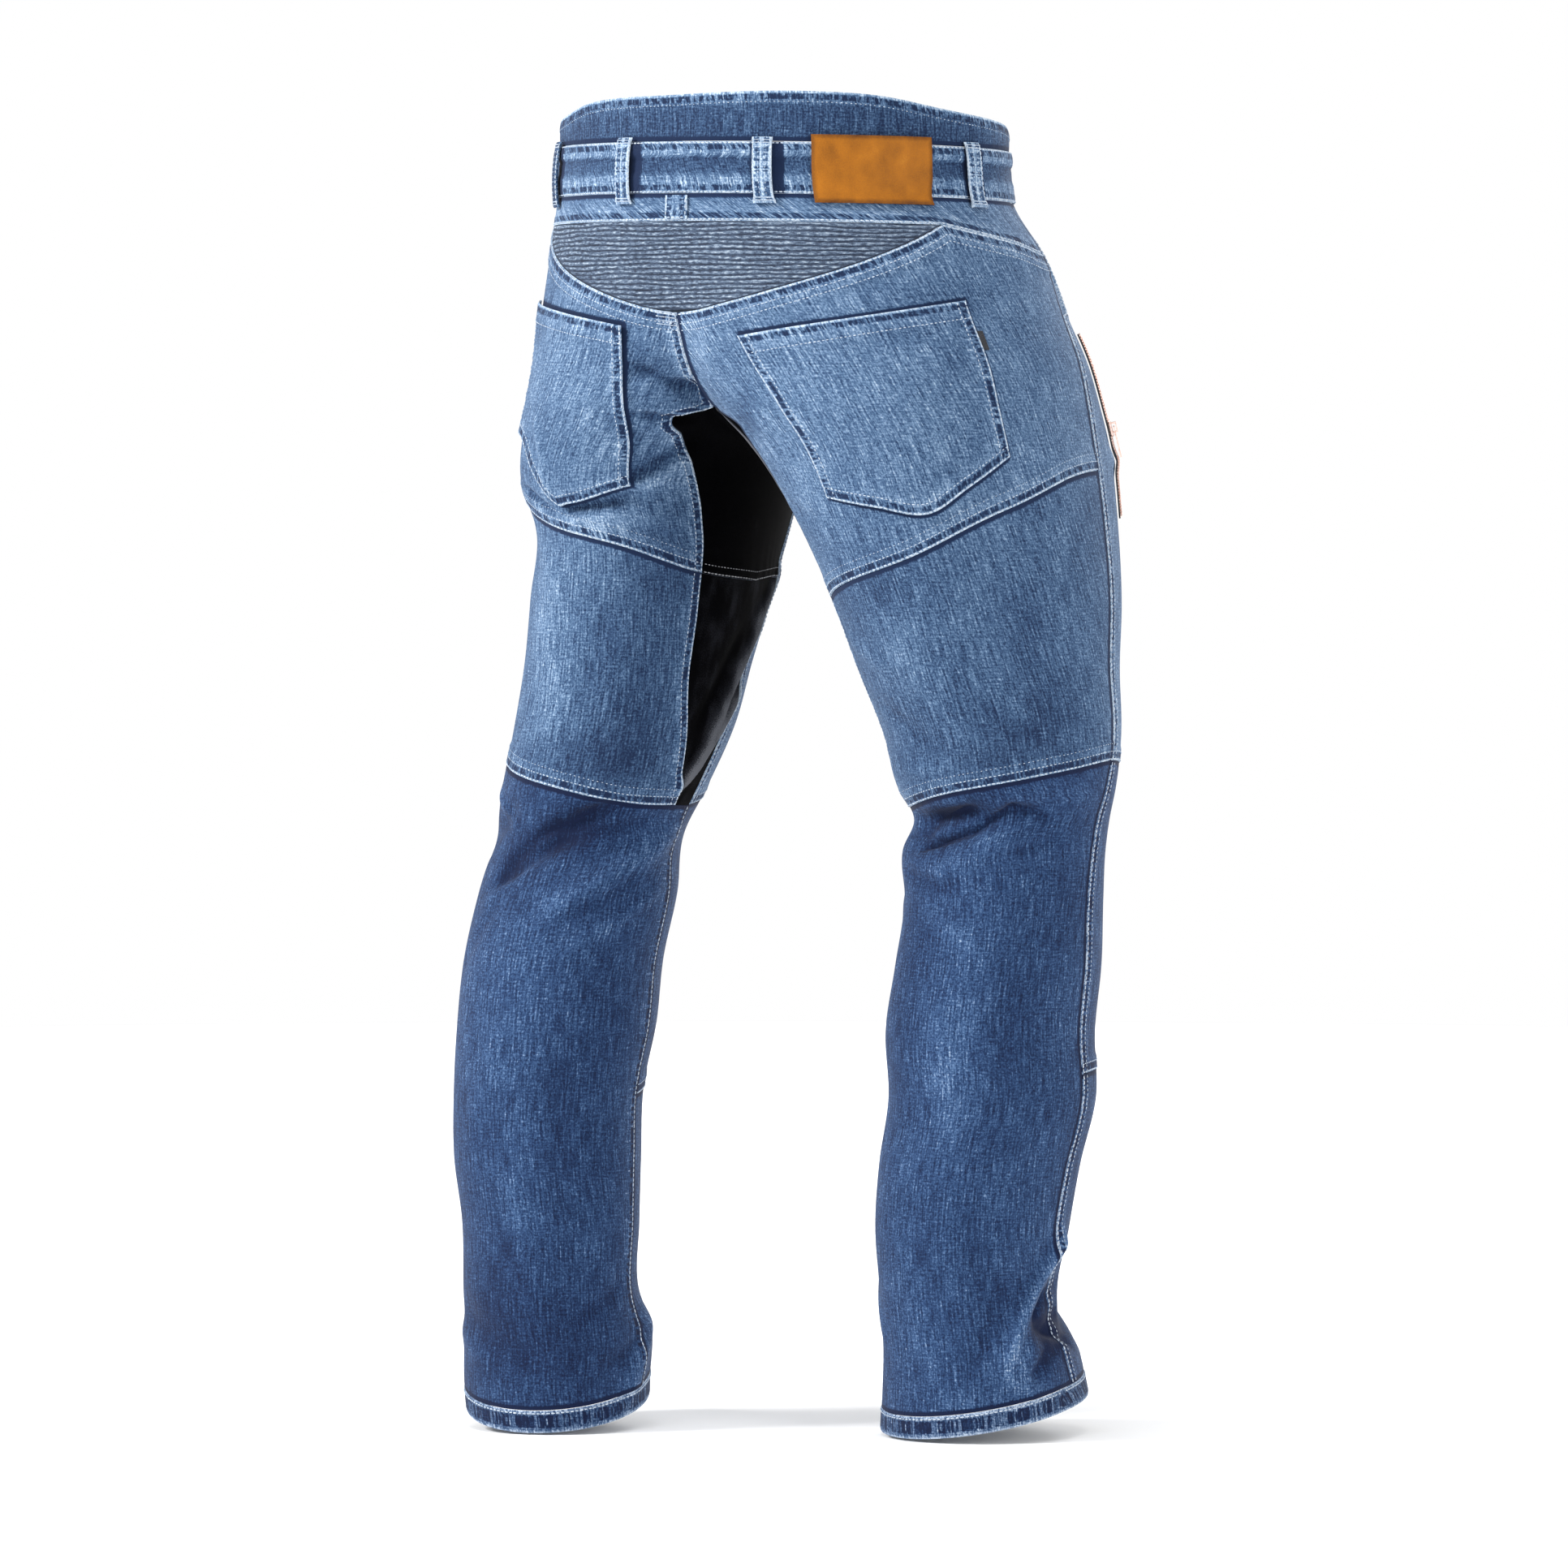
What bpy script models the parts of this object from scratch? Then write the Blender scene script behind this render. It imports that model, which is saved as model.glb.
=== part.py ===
"""Motorcycle trousers in worn shape, standing, with the wearer's left foot a step back.

Metres, +Z up. The front faces -Y and the wearer's left is +X. The origin is the middle of the waistband.
Each half of the garment is a stack of rings: an angle of 0 is the outer side, +90 the back, 180 the inseam
and -90 the front. Every sewn piece is a patch of that surface between four seams, with a real wall.
"""

import math
from dataclasses import dataclass
from typing import NamedTuple

import bmesh
import bpy
import numpy as np
from mathutils import Matrix, Vector

WALL = 0.0018
SEAM_GAP = 0.0003
HALF_GAP = SEAM_GAP / 2
SOLVE_STEPS = 30
TOP_STEPS = 16
GUSSET_GAP = 0.0007
GUSSET_SIDE_GAP = 0.0010
LIE_GAP = 0.0006

WAIST_TOP = 0.018
WAIST_BOTTOM = -0.021
CROTCH_Z = -0.205
WAIST_TILT = 0.035
TILT_ENDS_Z = (-0.150, -0.040)
CLEFT_WIDTH = 0.055
TURN_FADE = 0.05
HEM_HEIGHT = 0.017


class Section(NamedTuple):
    """One ring: half width at the side, how far the legs have parted, places on Y, and toe-out."""
    z: float
    outer: float
    split: float
    mid: float
    front: float
    back: float
    turn: float


class Seam(NamedTuple):
    """A point of a seam that runs round the leg."""
    angle: float
    z: float


class Edge(NamedTuple):
    """A point of a seam that runs down the leg."""
    z: float
    angle: float


class Fold(NamedTuple):
    """A soft ridge, or a trough where rise is negative, from one place on the surface to another."""
    side: int
    angle_a: float
    z_a: float
    angle_b: float
    z_b: float
    width: float
    rise: float


LEFT = 1
RIGHT = -1

SECTIONS = {
    LEFT: (
        Section(0.070, 0.180, 0.00, 0.002, -0.140, 0.146, 0),
        Section(0.020, 0.182, 0.00, 0.002, -0.140, 0.147, 0),
        Section(-0.022, 0.184, 0.00, 0.002, -0.142, 0.148, 0),
        Section(-0.055, 0.188, 0.06, 0.002, -0.148, 0.149, 0),
        Section(-0.108, 0.194, 0.28, 0.002, -0.152, 0.148, 0),
        Section(-0.146, 0.196, 0.50, 0.002, -0.150, 0.146, 0),
        Section(-0.177, 0.199, 0.76, 0.002, -0.146, 0.146, 0),
        Section(-0.205, 0.204, 1.00, 0.004, -0.138, 0.142, 0),
        Section(-0.240, 0.205, 1.16, 0.006, -0.128, 0.137, 3),
        Section(-0.268, 0.196, 1.24, 0.007, -0.121, 0.130, 5),
        Section(-0.325, 0.204, 1.37, 0.010, -0.108, 0.123, 8),
        Section(-0.375, 0.207, 1.50, 0.018, -0.092, 0.123, 10),
        Section(-0.425, 0.212, 1.62, 0.028, -0.076, 0.125, 10),
        Section(-0.475, 0.217, 1.88, 0.042, -0.052, 0.126, 10),
        Section(-0.505, 0.219, 2.10, 0.050, -0.038, 0.122, 10),
        Section(-0.550, 0.225, 2.00, 0.062, -0.022, 0.142, 10),
        Section(-0.600, 0.229, 2.05, 0.075, -0.008, 0.158, 10),
        Section(-0.650, 0.228, 2.03, 0.086, 0.005, 0.168, 10),
        Section(-0.700, 0.226, 2.15, 0.095, 0.018, 0.172, 10),
        Section(-0.750, 0.221, 2.12, 0.102, 0.027, 0.178, 10),
        Section(-0.800, 0.211, 2.14, 0.107, 0.036, 0.178, 10),
        Section(-0.850, 0.208, 2.16, 0.110, 0.036, 0.180, 10),
        Section(-0.885, 0.209, 2.04, 0.106, 0.012, 0.181, 10),
        Section(-0.920, 0.209, 2.02, 0.106, 0.022, 0.181, 10),
        Section(-0.960, 0.205, 2.02, 0.106, 0.034, 0.180, 10),
    ),
    RIGHT: (
        Section(0.070, 0.180, 0.00, 0.002, -0.140, 0.146, 0),
        Section(0.020, 0.184, 0.00, 0.002, -0.140, 0.147, 0),
        Section(-0.022, 0.189, 0.00, 0.002, -0.142, 0.148, 0),
        Section(-0.055, 0.211, 0.06, 0.002, -0.152, 0.152, 0),
        Section(-0.108, 0.229, 0.28, 0.002, -0.162, 0.153, 0),
        Section(-0.146, 0.243, 0.50, 0.002, -0.168, 0.150, 0),
        Section(-0.177, 0.248, 0.76, 0.002, -0.172, 0.147, 0),
        Section(-0.205, 0.252, 1.00, 0.003, -0.174, 0.140, 0),
        Section(-0.260, 0.258, 1.34, -0.008, -0.163, 0.128, 0),
        Section(-0.325, 0.264, 1.62, -0.020, -0.146, 0.105, 0),
        Section(-0.375, 0.262, 1.80, -0.028, -0.138, 0.082, 0),
        Section(-0.425, 0.262, 2.00, -0.037, -0.132, 0.058, 0),
        Section(-0.465, 0.255, 2.14, -0.044, -0.130, 0.043, 0),
        Section(-0.490, 0.248, 2.42, -0.047, -0.127, 0.029, 0),
        Section(-0.512, 0.246, 2.22, -0.047, -0.125, 0.032, 0),
        Section(-0.550, 0.244, 2.33, -0.045, -0.125, 0.036, 0),
        Section(-0.600, 0.245, 2.22, -0.040, -0.123, 0.044, 0),
        Section(-0.650, 0.243, 2.13, -0.034, -0.118, 0.050, 0),
        Section(-0.700, 0.248, 2.23, -0.028, -0.111, 0.056, 0),
        Section(-0.750, 0.239, 2.20, -0.022, -0.101, 0.060, 0),
        Section(-0.800, 0.232, 2.22, -0.017, -0.094, 0.060, 0),
        Section(-0.850, 0.226, 2.39, -0.014, -0.084, 0.056, 0),
        Section(-0.890, 0.234, 2.34, -0.018, -0.104, 0.056, 0),
        Section(-0.920, 0.238, 2.25, -0.022, -0.118, 0.056, 0),
        Section(-0.960, 0.240, 2.15, -0.025, -0.124, 0.056, 0),
    ),
}

FOLDS = (
    Fold(LEFT, 122, -0.484, 60, -0.540, 0.009, -0.0070),
    Fold(LEFT, 182, -0.500, 105, -0.558, 0.012, 0.0055),
    Fold(LEFT, 60, -0.486, 20, -0.515, 0.010, -0.0040),
    Fold(LEFT, 78, -0.252, 120, -0.243, 0.008, -0.0050),
    Fold(LEFT, 100, -0.145, 136, -0.172, 0.008, -0.0045),
    Fold(LEFT, 118, -0.222, 142, -0.196, 0.008, -0.0040),
    Fold(LEFT, 200, -0.868, 170, -0.925, 0.012, 0.0050),
    Fold(LEFT, 40, -0.865, 110, -0.905, 0.014, -0.0030),
    Fold(RIGHT, 125, -0.492, 72, -0.480, 0.008, -0.0065),
    Fold(RIGHT, 132, -0.512, 34, -0.478, 0.009, -0.0055),
    Fold(RIGHT, 100, -0.530, 50, -0.505, 0.010, 0.0035),
    Fold(RIGHT, -14, -0.800, 18, -0.858, 0.009, 0.0050),
    Fold(RIGHT, 18, -0.858, 40, -0.900, 0.009, 0.0035),
    Fold(RIGHT, -20, -0.862, 14, -0.878, 0.009, -0.0060),
    Fold(RIGHT, -60, -0.840, -20, -0.880, 0.012, -0.0050),
    Fold(RIGHT, -110, -0.870, -50, -0.900, 0.013, 0.0045),
    Fold(LEFT, -110, -0.865, -40, -0.895, 0.013, 0.0045),
    Fold(LEFT, -60, -0.205, -110, -0.170, 0.012, -0.0045),
    Fold(RIGHT, -60, -0.205, -110, -0.170, 0.012, -0.0045),
    Fold(LEFT, -70, -0.240, -130, -0.205, 0.012, -0.0040),
    Fold(RIGHT, -70, -0.240, -130, -0.205, 0.012, -0.0040),
)

# Seams round the leg. The one under the pockets climbs to the outer side, and so does the one at the knee.
CROSS_SEAM = {
    LEFT: (Seam(-180, -0.311), Seam(-125, -0.300), Seam(-60, -0.245), Seam(-20, -0.225), Seam(30, -0.243),
           Seam(60, -0.263), Seam(110, -0.283), Seam(146, -0.303), Seam(180, -0.311)),
    RIGHT: (Seam(-180, -0.326), Seam(-125, -0.312), Seam(-60, -0.250), Seam(-20, -0.225), Seam(31, -0.253),
            Seam(72, -0.288), Seam(110, -0.308), Seam(140, -0.320), Seam(180, -0.326)),
}
KNEE_SEAM = (Seam(-180, -0.4825), Seam(-150, -0.4785), Seam(-90, -0.462), Seam(-45, -0.449),
             Seam(-12, -0.4435), Seam(25, -0.450), Seam(55, -0.458), Seam(85, -0.466), Seam(130, -0.4785),
             Seam(180, -0.4825))
# Levels that only steer the rows of the panels, so that neighbours meet point to point.
FORK_LEVEL = (Seam(-180, -0.1815), Seam(-139, -0.1775), Seam(-60, -0.146), Seam(-18, -0.1326),
              Seam(60, -0.149), Seam(139, -0.1775), Seam(180, -0.1815))
SEAT_LEVEL = (Seam(-180, -0.190), Seam(-129, -0.186), Seam(-60, -0.162), Seam(-18, -0.150), Seam(60, -0.165),
              Seam(129, -0.186), Seam(180, -0.190))
HIP_LEVEL = (Seam(-110, -0.105), Seam(-60, -0.082), Seam(-28, -0.060), Seam(-10, -0.060))

# Seams down the leg.
SIDE_SEAM = (Edge(-0.015, -14), Edge(-0.085, -19), Edge(-0.150, -18), Edge(-0.220, -19), Edge(-0.275, -18),
             Edge(-0.335, -15), Edge(-0.440, -12), Edge(-0.510, -3), Edge(-0.600, -2), Edge(-0.700, -4),
             Edge(-0.800, -3), Edge(-0.870, -8), Edge(-0.960, -12))
INSEAM_ANGLE = 183
FORK_ANGLE = 139
FORK_Z = -0.1775
GUSSET_TIP_ANGLE = 129
GUSSET_TIP_Z = -0.186
GUSSET_BACK = {
    LEFT: (Edge(FORK_Z, FORK_ANGLE), Edge(GUSSET_TIP_Z, GUSSET_TIP_ANGLE), Edge(-0.200, 136),
           Edge(-0.215, 142), Edge(-0.270, 147), Edge(-0.330, 147), Edge(-0.393, 149), Edge(-0.440, 158),
           Edge(-0.490, 170)),
    RIGHT: (Edge(FORK_Z, FORK_ANGLE), Edge(GUSSET_TIP_Z, GUSSET_TIP_ANGLE), Edge(-0.200, 132),
            Edge(-0.215, 134), Edge(-0.270, 139), Edge(-0.330, 143), Edge(-0.393, 147), Edge(-0.440, 156),
            Edge(-0.490, 168)),
}
GUSSET_FRONT = (Edge(FORK_Z, 360 - FORK_ANGLE), Edge(GUSSET_TIP_Z, 360 - GUSSET_TIP_ANGLE), Edge(-0.200, 226),
                Edge(-0.225, 220), Edge(-0.260, 213), Edge(-0.300, 203), Edge(-0.350, 192), Edge(-0.400, 186),
                Edge(-0.490, 183))
GUSSET_COLUMNS = (0, 0.098, 0.255, 0.5, 0.745, 0.902, 1)
POCKET_MOUTH = (Edge(-0.015, -38), Edge(-0.055, -33), Edge(-0.085, -30), Edge(-0.110, -26))
MOUTH_END_Z = -0.1065
MOUTH_OPENING = 0.5
FACING_SUNK = 0.0012
FACING_ANGLES = (-27.5, -18.7)
FACING_SHARES = (0.5, 0.75)

# Hems dip at the back: the lowest point's angle, the middle height and the dip from it.
HEM_DIP = {LEFT: (100, -0.938, 0.017), RIGHT: (110, -0.940, 0.0145)}
HEM_WALL = 0.0028

# Cells of the panels, from the top level to the lowest and across.
SEAT_ROWS = (4, 1, 4)
THIGH_ROWS = (8,)
CALF_ROWS = (9, 9)
SHIN_ROWS = (9,)
GUSSET_ROWS = (1, 3)
FRONT_ROWS = (3, 4, 1, 4, 8)
FACING_ROWS = (3, 3)
FRONT_COLUMNS = 11
FACING_COLUMNS = 3
GUSSET_CELLS = 3
GUSSET_FIRST_ROW = 0.25
SEAT_TIP_CELLS = 4
SEAT_BACK_CELLS = 9


class PocketShape(NamedTuple):
    """Seams of one back pocket."""
    top: tuple
    bottom: tuple
    outer: tuple
    inner: tuple


BACK_POCKET = {
    LEFT: PocketShape(
        top=(Seam(26, -0.097), Seam(53, -0.104), Seam(90, -0.116)),
        bottom=(Seam(38, -0.196), Seam(64, -0.212), Seam(75, -0.2385), Seam(80, -0.2510), Seam(86, -0.2505),
                Seam(119, -0.2360)),
        outer=(Edge(-0.095, 27), Edge(-0.150, 31), Edge(-0.205, 38)),
        inner=(Edge(-0.112, 89), Edge(-0.145, 97), Edge(-0.175, 107), Edge(-0.205, 117), Edge(-0.240, 119)),
    ),
    RIGHT: PocketShape(
        top=(Seam(26, -0.098), Seam(58, -0.111), Seam(90, -0.123)),
        bottom=(Seam(25, -0.213), Seam(42, -0.235), Seam(59, -0.255), Seam(78, -0.250), Seam(97, -0.243)),
        outer=(Edge(-0.095, 26), Edge(-0.215, 25)),
        inner=(Edge(-0.120, 90), Edge(-0.180, 94), Edge(-0.245, 97)),
    ),
}
POCKET_LIE = 0.0014
POCKET_WALL = 0.0015
TAB_ANGLES = (23.7, 25.6)
TAB_HEIGHTS = (-0.120, -0.134)


class Station(NamedTuple):
    """A height at a place round the waist: its angle from the middle of the back, positive to the left."""
    place: float
    z: float


RIB_TIP_PLACE = 66
RIB_TOP = -0.042
RIB_END = -0.1048
RIB_COUNT = 17
RIB_COLUMNS = 12
RIB_HEIGHT = 0.0011
RIB_SIDE_GAP = 0.4
RIB_EDGE = (Station(0, -0.1070), Station(7, -0.1045), Station(14, -0.0995), Station(27, -0.0880),
            Station(42, -0.0725), Station(55, -0.0565), Station(RIB_TIP_PLACE, RIB_TOP))
YOKE_EDGE = (Station(RIB_TIP_PLACE, RIB_TOP), Station(76, -0.0475), Station(90, -0.0535),
             Station(104, -0.0600), Station(110, -0.0600))
BAND_TOP = (Station(-152, 0.0255), Station(-111, 0.037), Station(-72, 0.046), Station(-52, 0.054),
            Station(-33, 0.056), Station(0, 0.053), Station(33, 0.048), Station(45, 0.042),
            Station(90, 0.036), Station(152, 0.0255))
BAND_SUNK = 0.0010
BAND_PUFF = 0.0008
BAND_COLUMNS = 40
WAIST_COLUMNS = 48
WAIST_WALL = 0.0022
YOKE_TOP_GAP = 0.0008
SLIT_PLACE = 186
SLIT_HALF_GAP = 0.05
YOKE_SIDE_GAP = 0.06
YOKE_SIDE_CELLS = 2
YOKE_BACK_CELLS = 12
PUFF_ROWS = (0, 0.12, 0.30, 0.5, 0.70, 0.88, 1)
PUFF_RISES = (0.0002, 0.0012, 0.0018, 0.0001, 0.0018, 0.0012, 0.0002)

LOOP_PLACES = {"right_back": -23, "right_side": -82, "right_front": -135,
               "left_back": 15, "left_side": 52, "left_front": 135}
LOOP_WIDTH = 0.0165
LOOP_TOP = 0.0212
LOOP_BOTTOM = -0.0290
LOOP_WALL = 0.0015
LOOP_LIE = 0.0007
LOOP_STAND = 0.0036
PATCH_PLACES = (-69, -35)
PATCH_HEIGHTS = (0.0255, -0.0285)
PATCH_STAND = 0.0023
PATCH_WALL = 0.0013
BACK_TAB_PLACES = (-3.8, 2.2)
BACK_TAB_HEIGHTS = (-0.0225, -0.0405)
FLY_START = 0.02
FLY_ROWS = (0.04, 1, 2, 3, 4, 5, 6)
FLY_WIDTHS = (1, 1, 1, 1, 1, 0.85, 0.35)
BUTTON_RADIUS = 0.0085
BUTTON_WALL = 0.0024
BUTTON_PLACE = 179
BUTTON_BEVEL = 0.0008

# The open seam zip on the wearer's right hip, its slider and its pull tab.
ZIP_LINE = (Edge(-0.122, -31.0), Edge(-0.135, -33.5), Edge(-0.160, -37.0), Edge(-0.188, -40.0),
            Edge(-0.215, -42.0), Edge(-0.245, -42.0), Edge(-0.262, -41.0))
ZIP_HALF_WIDTH = 0.0058
ZIP_LIE = 0.0009
ZIP_WALL = 0.0014
SLIDER_Z = -0.194
SLIDER_SIZE = (0.0090, 0.0024, 0.0125)
SLIDER_BEVEL = 0.0006
SLIDER_LEVEL_STEP = 0.005
ZIP_CELLS = 10
BRIDGE_WIDTH = 0.0030
BRIDGE_LENGTH = 0.0080
BRIDGE_WALL = 0.0010
EYE_HEIGHT = 0.0027
PULL_WIDTH = 0.0080
PULL_LENGTH = 0.0240
PULL_WALL = 0.0012
PULL_BAR = 0.0014
PULL_WINDOW_WIDTH = 0.0050
PULL_WINDOW_LENGTH = 0.0065


@dataclass(frozen=True)
class Cloth:
    """Colour, roughness and metallic value of a material."""
    name: str
    colour: tuple
    roughness: float = 0.9
    metallic: float = 0.0


LIGHT_DENIM = Cloth("denim_worn", (0.135, 0.225, 0.400))
DARK_DENIM = Cloth("denim_dark", (0.070, 0.130, 0.290))
RIB_DENIM = Cloth("denim_ribbed", (0.095, 0.150, 0.250))
BLACK_STRETCH = Cloth("stretch_black", (0.010, 0.011, 0.014), 0.8)
TAN_LEATHER = Cloth("leather_tan", (0.480, 0.210, 0.060), 0.55)
BLACK_TAPE = Cloth("tape_black", (0.012, 0.012, 0.014), 0.7)
COPPER = Cloth("zip_copper", (0.720, 0.380, 0.240), 0.35, 1.0)


class Curve:
    """Smooth curve through two named columns of a table."""

    def __init__(self, table, key, value):
        rows = sorted((getattr(row, key), getattr(row, value)) for row in table)
        self.xs = np.array([row[0] for row in rows], float)
        self.ys = np.array([row[1] for row in rows], float)
        self.slopes = np.gradient(self.ys, self.xs)

    def __call__(self, at):
        at = np.clip(np.asarray(at, float), self.xs[0], self.xs[-1])
        low = np.clip(np.searchsorted(self.xs, at) - 1, 0, len(self.xs) - 2)
        span = self.xs[low + 1] - self.xs[low]
        t = (at - self.xs[low]) / span
        rise = self.ys[low + 1] - self.ys[low]
        start, end = self.slopes[low] * span, self.slopes[low + 1] * span
        return self.ys[low] + t * (start + t * (3 * rise - 2 * start - end + t * (start + end - 2 * rise)))


BODY = {side: {name: Curve(rows, "z", name) for name in Section._fields[1:]} for side, rows in SECTIONS.items()}


def ease(t):
    """Smooth step from 0 to 1."""
    t = np.clip(t, 0, 1)
    return t * t * (3 - 2 * t)


def split_at(side, z):
    """How far the legs have parted: the two halves share one value above the crotch."""
    own = np.maximum(BODY[side]["split"](z), 1)
    shared = np.clip(BODY[LEFT]["split"](z), 0, 1)
    return np.where(np.asarray(z) > CROTCH_Z, shared, own)


def middle_angle(z):
    """Angle at which a half meets the other half, in degrees."""
    return np.degrees(np.arccos(-np.clip(split_at(LEFT, z), 0, 1)))


def fold_height(side, angle, z, ridges_only=False):
    """Height of the folds at places on the surface."""
    total = np.zeros(np.broadcast(angle, z).shape)
    for fold in FOLDS:
        if fold.side != side or (ridges_only and fold.rise < 0):
            continue
        radius = math.radians(1) * (0.150 if fold.z_a > CROTCH_Z else 0.080)
        across = ((np.asarray(angle, float) - fold.angle_a + 180) % 360 - 180) * radius
        down = np.asarray(z, float) - fold.z_a
        run = ((fold.angle_b - fold.angle_a) * radius, fold.z_b - fold.z_a)
        length = math.hypot(*run)
        along = (across * run[0] + down * run[1]) / length**2
        apart = (across * run[1] - down * run[0]) / length
        window = ease((along + 0.2) / 0.4) * ease((1.2 - along) / 0.4)
        total = total + fold.rise * window * np.exp(-(apart / fold.width) ** 2)
    return total


def bare_point(side, angle, z):
    """Point of the surface without its folds."""
    angle, z = np.broadcast_arrays(np.asarray(angle, float), np.asarray(z, float))
    body = BODY[side]
    split = split_at(side, z)
    radius_x = body["outer"](z) / (1 + split)
    mid, front, back = (body[name](z) for name in ("mid", "front", "back"))
    turn = np.radians(body["turn"](z)) * ease((CROTCH_Z - z) / TURN_FADE)
    theta = np.radians(angle)
    at_back = np.sin(theta) >= 0
    local_x = radius_x * np.cos(theta)
    local_y = np.where(at_back, back - mid, mid - front) * np.sin(theta)
    x = split * radius_x + local_x * np.cos(turn) - local_y * np.sin(turn)
    y = mid + local_x * np.sin(turn) + local_y * np.cos(turn)
    narrowing = np.sqrt(np.maximum(1 - split * split, 0))
    profiles = []
    for each in (LEFT, RIGHT):
        own_mid, own_front, own_back = (BODY[each][name](z) for name in ("mid", "front", "back"))
        reach = np.where(at_back, own_back - own_mid, own_front - own_mid)
        profiles.append(own_mid + reach * narrowing)
    shared = (profiles[0] + profiles[1]) / 2
    cleft = np.maximum(CLEFT_WIDTH * (1 - split), 1e-6)
    y = np.where(z > CROTCH_Z, shared + (y - shared) * ease(x / cleft), y)
    low, high = TILT_ENDS_Z
    z = z + WAIST_TILT * y * ease((z - low) / (high - low))
    return np.stack([side * x, y, z], axis=-1)


def normal_of(point, side, angle, z):
    """Outward unit normal of a surface function, by small differences."""
    turn, drop = 0.4, 0.0008
    along = point(side, angle + turn, z) - point(side, angle - turn, z)
    down = point(side, angle, z - drop) - point(side, angle, z + drop)
    normal = np.cross(along, down) * -side
    return normal / np.linalg.norm(normal, axis=-1, keepdims=True)


def surface(side, angle, z):
    """Point of the folded outer surface."""
    rise = fold_height(side, angle, z)[..., None]
    return bare_point(side, angle, z) + rise * normal_of(bare_point, side, angle, z)


class SeamLine:
    """A seam round the leg, alike after every full turn."""

    def __init__(self, table):
        self.curve = Curve(table, "angle", "z")

    def __call__(self, angle):
        return self.curve((np.asarray(angle, float) + 180) % 360 - 180)


class EdgeLine:
    """A seam down the leg, moved round it by a number of degrees."""

    def __init__(self, table, moved=0.0):
        self.curve = Curve(table, "z", "angle")
        self.moved = moved

    def __call__(self, z):
        return self.curve(z) + self.moved


def centre_height(angle):
    """Height of the middle seam as a function of angle."""
    heights = np.linspace(CROTCH_Z, -0.001, 160)
    away = np.abs(np.asarray(angle, float) - 180)
    return np.interp(180 - away, middle_angle(heights)[::-1], heights[::-1])


def metre_per_degree(side, angle, z):
    """Length of one degree of the surface."""
    step = bare_point(side, angle + 0.5, z) - bare_point(side, angle - 0.5, z)
    return np.linalg.norm(step, axis=-1)


@dataclass
class Patch:
    """A piece of the surface. Left and right take a height; each level takes an angle, from the top down."""
    side: int
    left: object
    right: object
    levels: tuple
    rows: tuple
    columns: object
    side_gap: float = HALF_GAP
    top_gap: float = HALF_GAP

    def fractions(self):
        """Places of the columns from 0 to 1."""
        if isinstance(self.columns, int):
            return np.linspace(0, 1, self.columns + 1)
        return np.asarray(self.columns, float)

    def heights(self, angle):
        """Heights of all rows at the grid's angles."""
        heights = []
        for index, count in enumerate(self.rows):
            high, low = self.levels[index], self.levels[index + 1]
            start = 0 if index == 0 else 1
            for step in range(start, count + 1):
                row = angle[len(heights)]
                share = step / count
                heights.append(high(row) * (1 - share) + low(row) * share)
        heights[0] = self.shifted(self.levels[0], angle[0], -1)
        heights[-1] = self.shifted(self.levels[-1], angle[-1], 1)
        return np.array(heights)

    def shifted(self, seam, angle, way):
        """Seam height moved into the piece by half the seam gap, measured square to the seam."""
        degree = metre_per_degree(self.side, angle, seam(angle))
        slope = (seam(angle + 0.5) - seam(angle - 0.5)) / degree
        return seam(angle) + way * (self.top_gap if way < 0 else HALF_GAP) * np.sqrt(1 + slope**2)

    def inside(self, edge, z, way):
        """Edge angle moved into the piece by half the seam gap, measured square to the seam."""
        degree = metre_per_degree(self.side, edge(z), z)
        slope = (edge(z - 0.001) - edge(z + 0.001)) / 0.002 * degree
        return edge(z) + way * self.side_gap * np.sqrt(1 + slope**2) / degree

    def solve(self):
        """Angles and heights of the grid."""
        u = self.fractions()[None, :]
        middle = (float(self.levels[0](0.0)) + float(self.levels[-1](0.0))) / 2
        z = np.full((sum(self.rows) + 1, u.size), middle)
        for _ in range(SOLVE_STEPS):
            left = self.inside(self.left, z[:, :1], 1)
            right = self.inside(self.right, z[:, -1:], -1)
            angle = left * (1 - u) + right * u
            z = (z + self.heights(angle)) / 2
        return angle, z

    def wall(self, thick=WALL, sunk=0.0):
        """Outer and inner points of a panel."""
        angle, z = self.solve()
        outer = surface(self.side, angle, z)
        normal = normal_of(surface, self.side, angle, z)
        return outer - normal * sunk, outer - normal * (sunk + thick)

    def laid(self, lie, thick):
        """Outer and inner points of a piece that lies on a panel."""
        angle, z = self.solve()
        normal = normal_of(bare_point, self.side, angle, z)
        rise = fold_height(self.side, angle, z, ridges_only=True)[..., None]
        base = bare_point(self.side, angle, z) + rise * normal
        return base + normal * (lie + thick), base + normal * lie


def around_point(place, z, out=0.0):
    """Point near the waist, by its angle from the middle of the back."""
    place, z, out = np.broadcast_arrays(np.asarray(place, float), np.asarray(z, float), np.asarray(out, float))
    wrapped = (place + 180) % 360 - 180
    angle = middle_angle(z) * (1 - np.abs(wrapped) / 90)
    result = np.zeros(place.shape + (3,))
    for side in (LEFT, RIGHT):
        point = surface(side, angle, z) + normal_of(surface, side, angle, z) * out[..., None]
        mine = (wrapped >= 0) == (side == LEFT)
        result[mine] = point[mine]
    return result


def around_wall(places, heights, out, thick):
    """Outer and inner points of a piece round the waist."""
    return around_point(places, heights, out + thick), around_point(places, heights, out)


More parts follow.
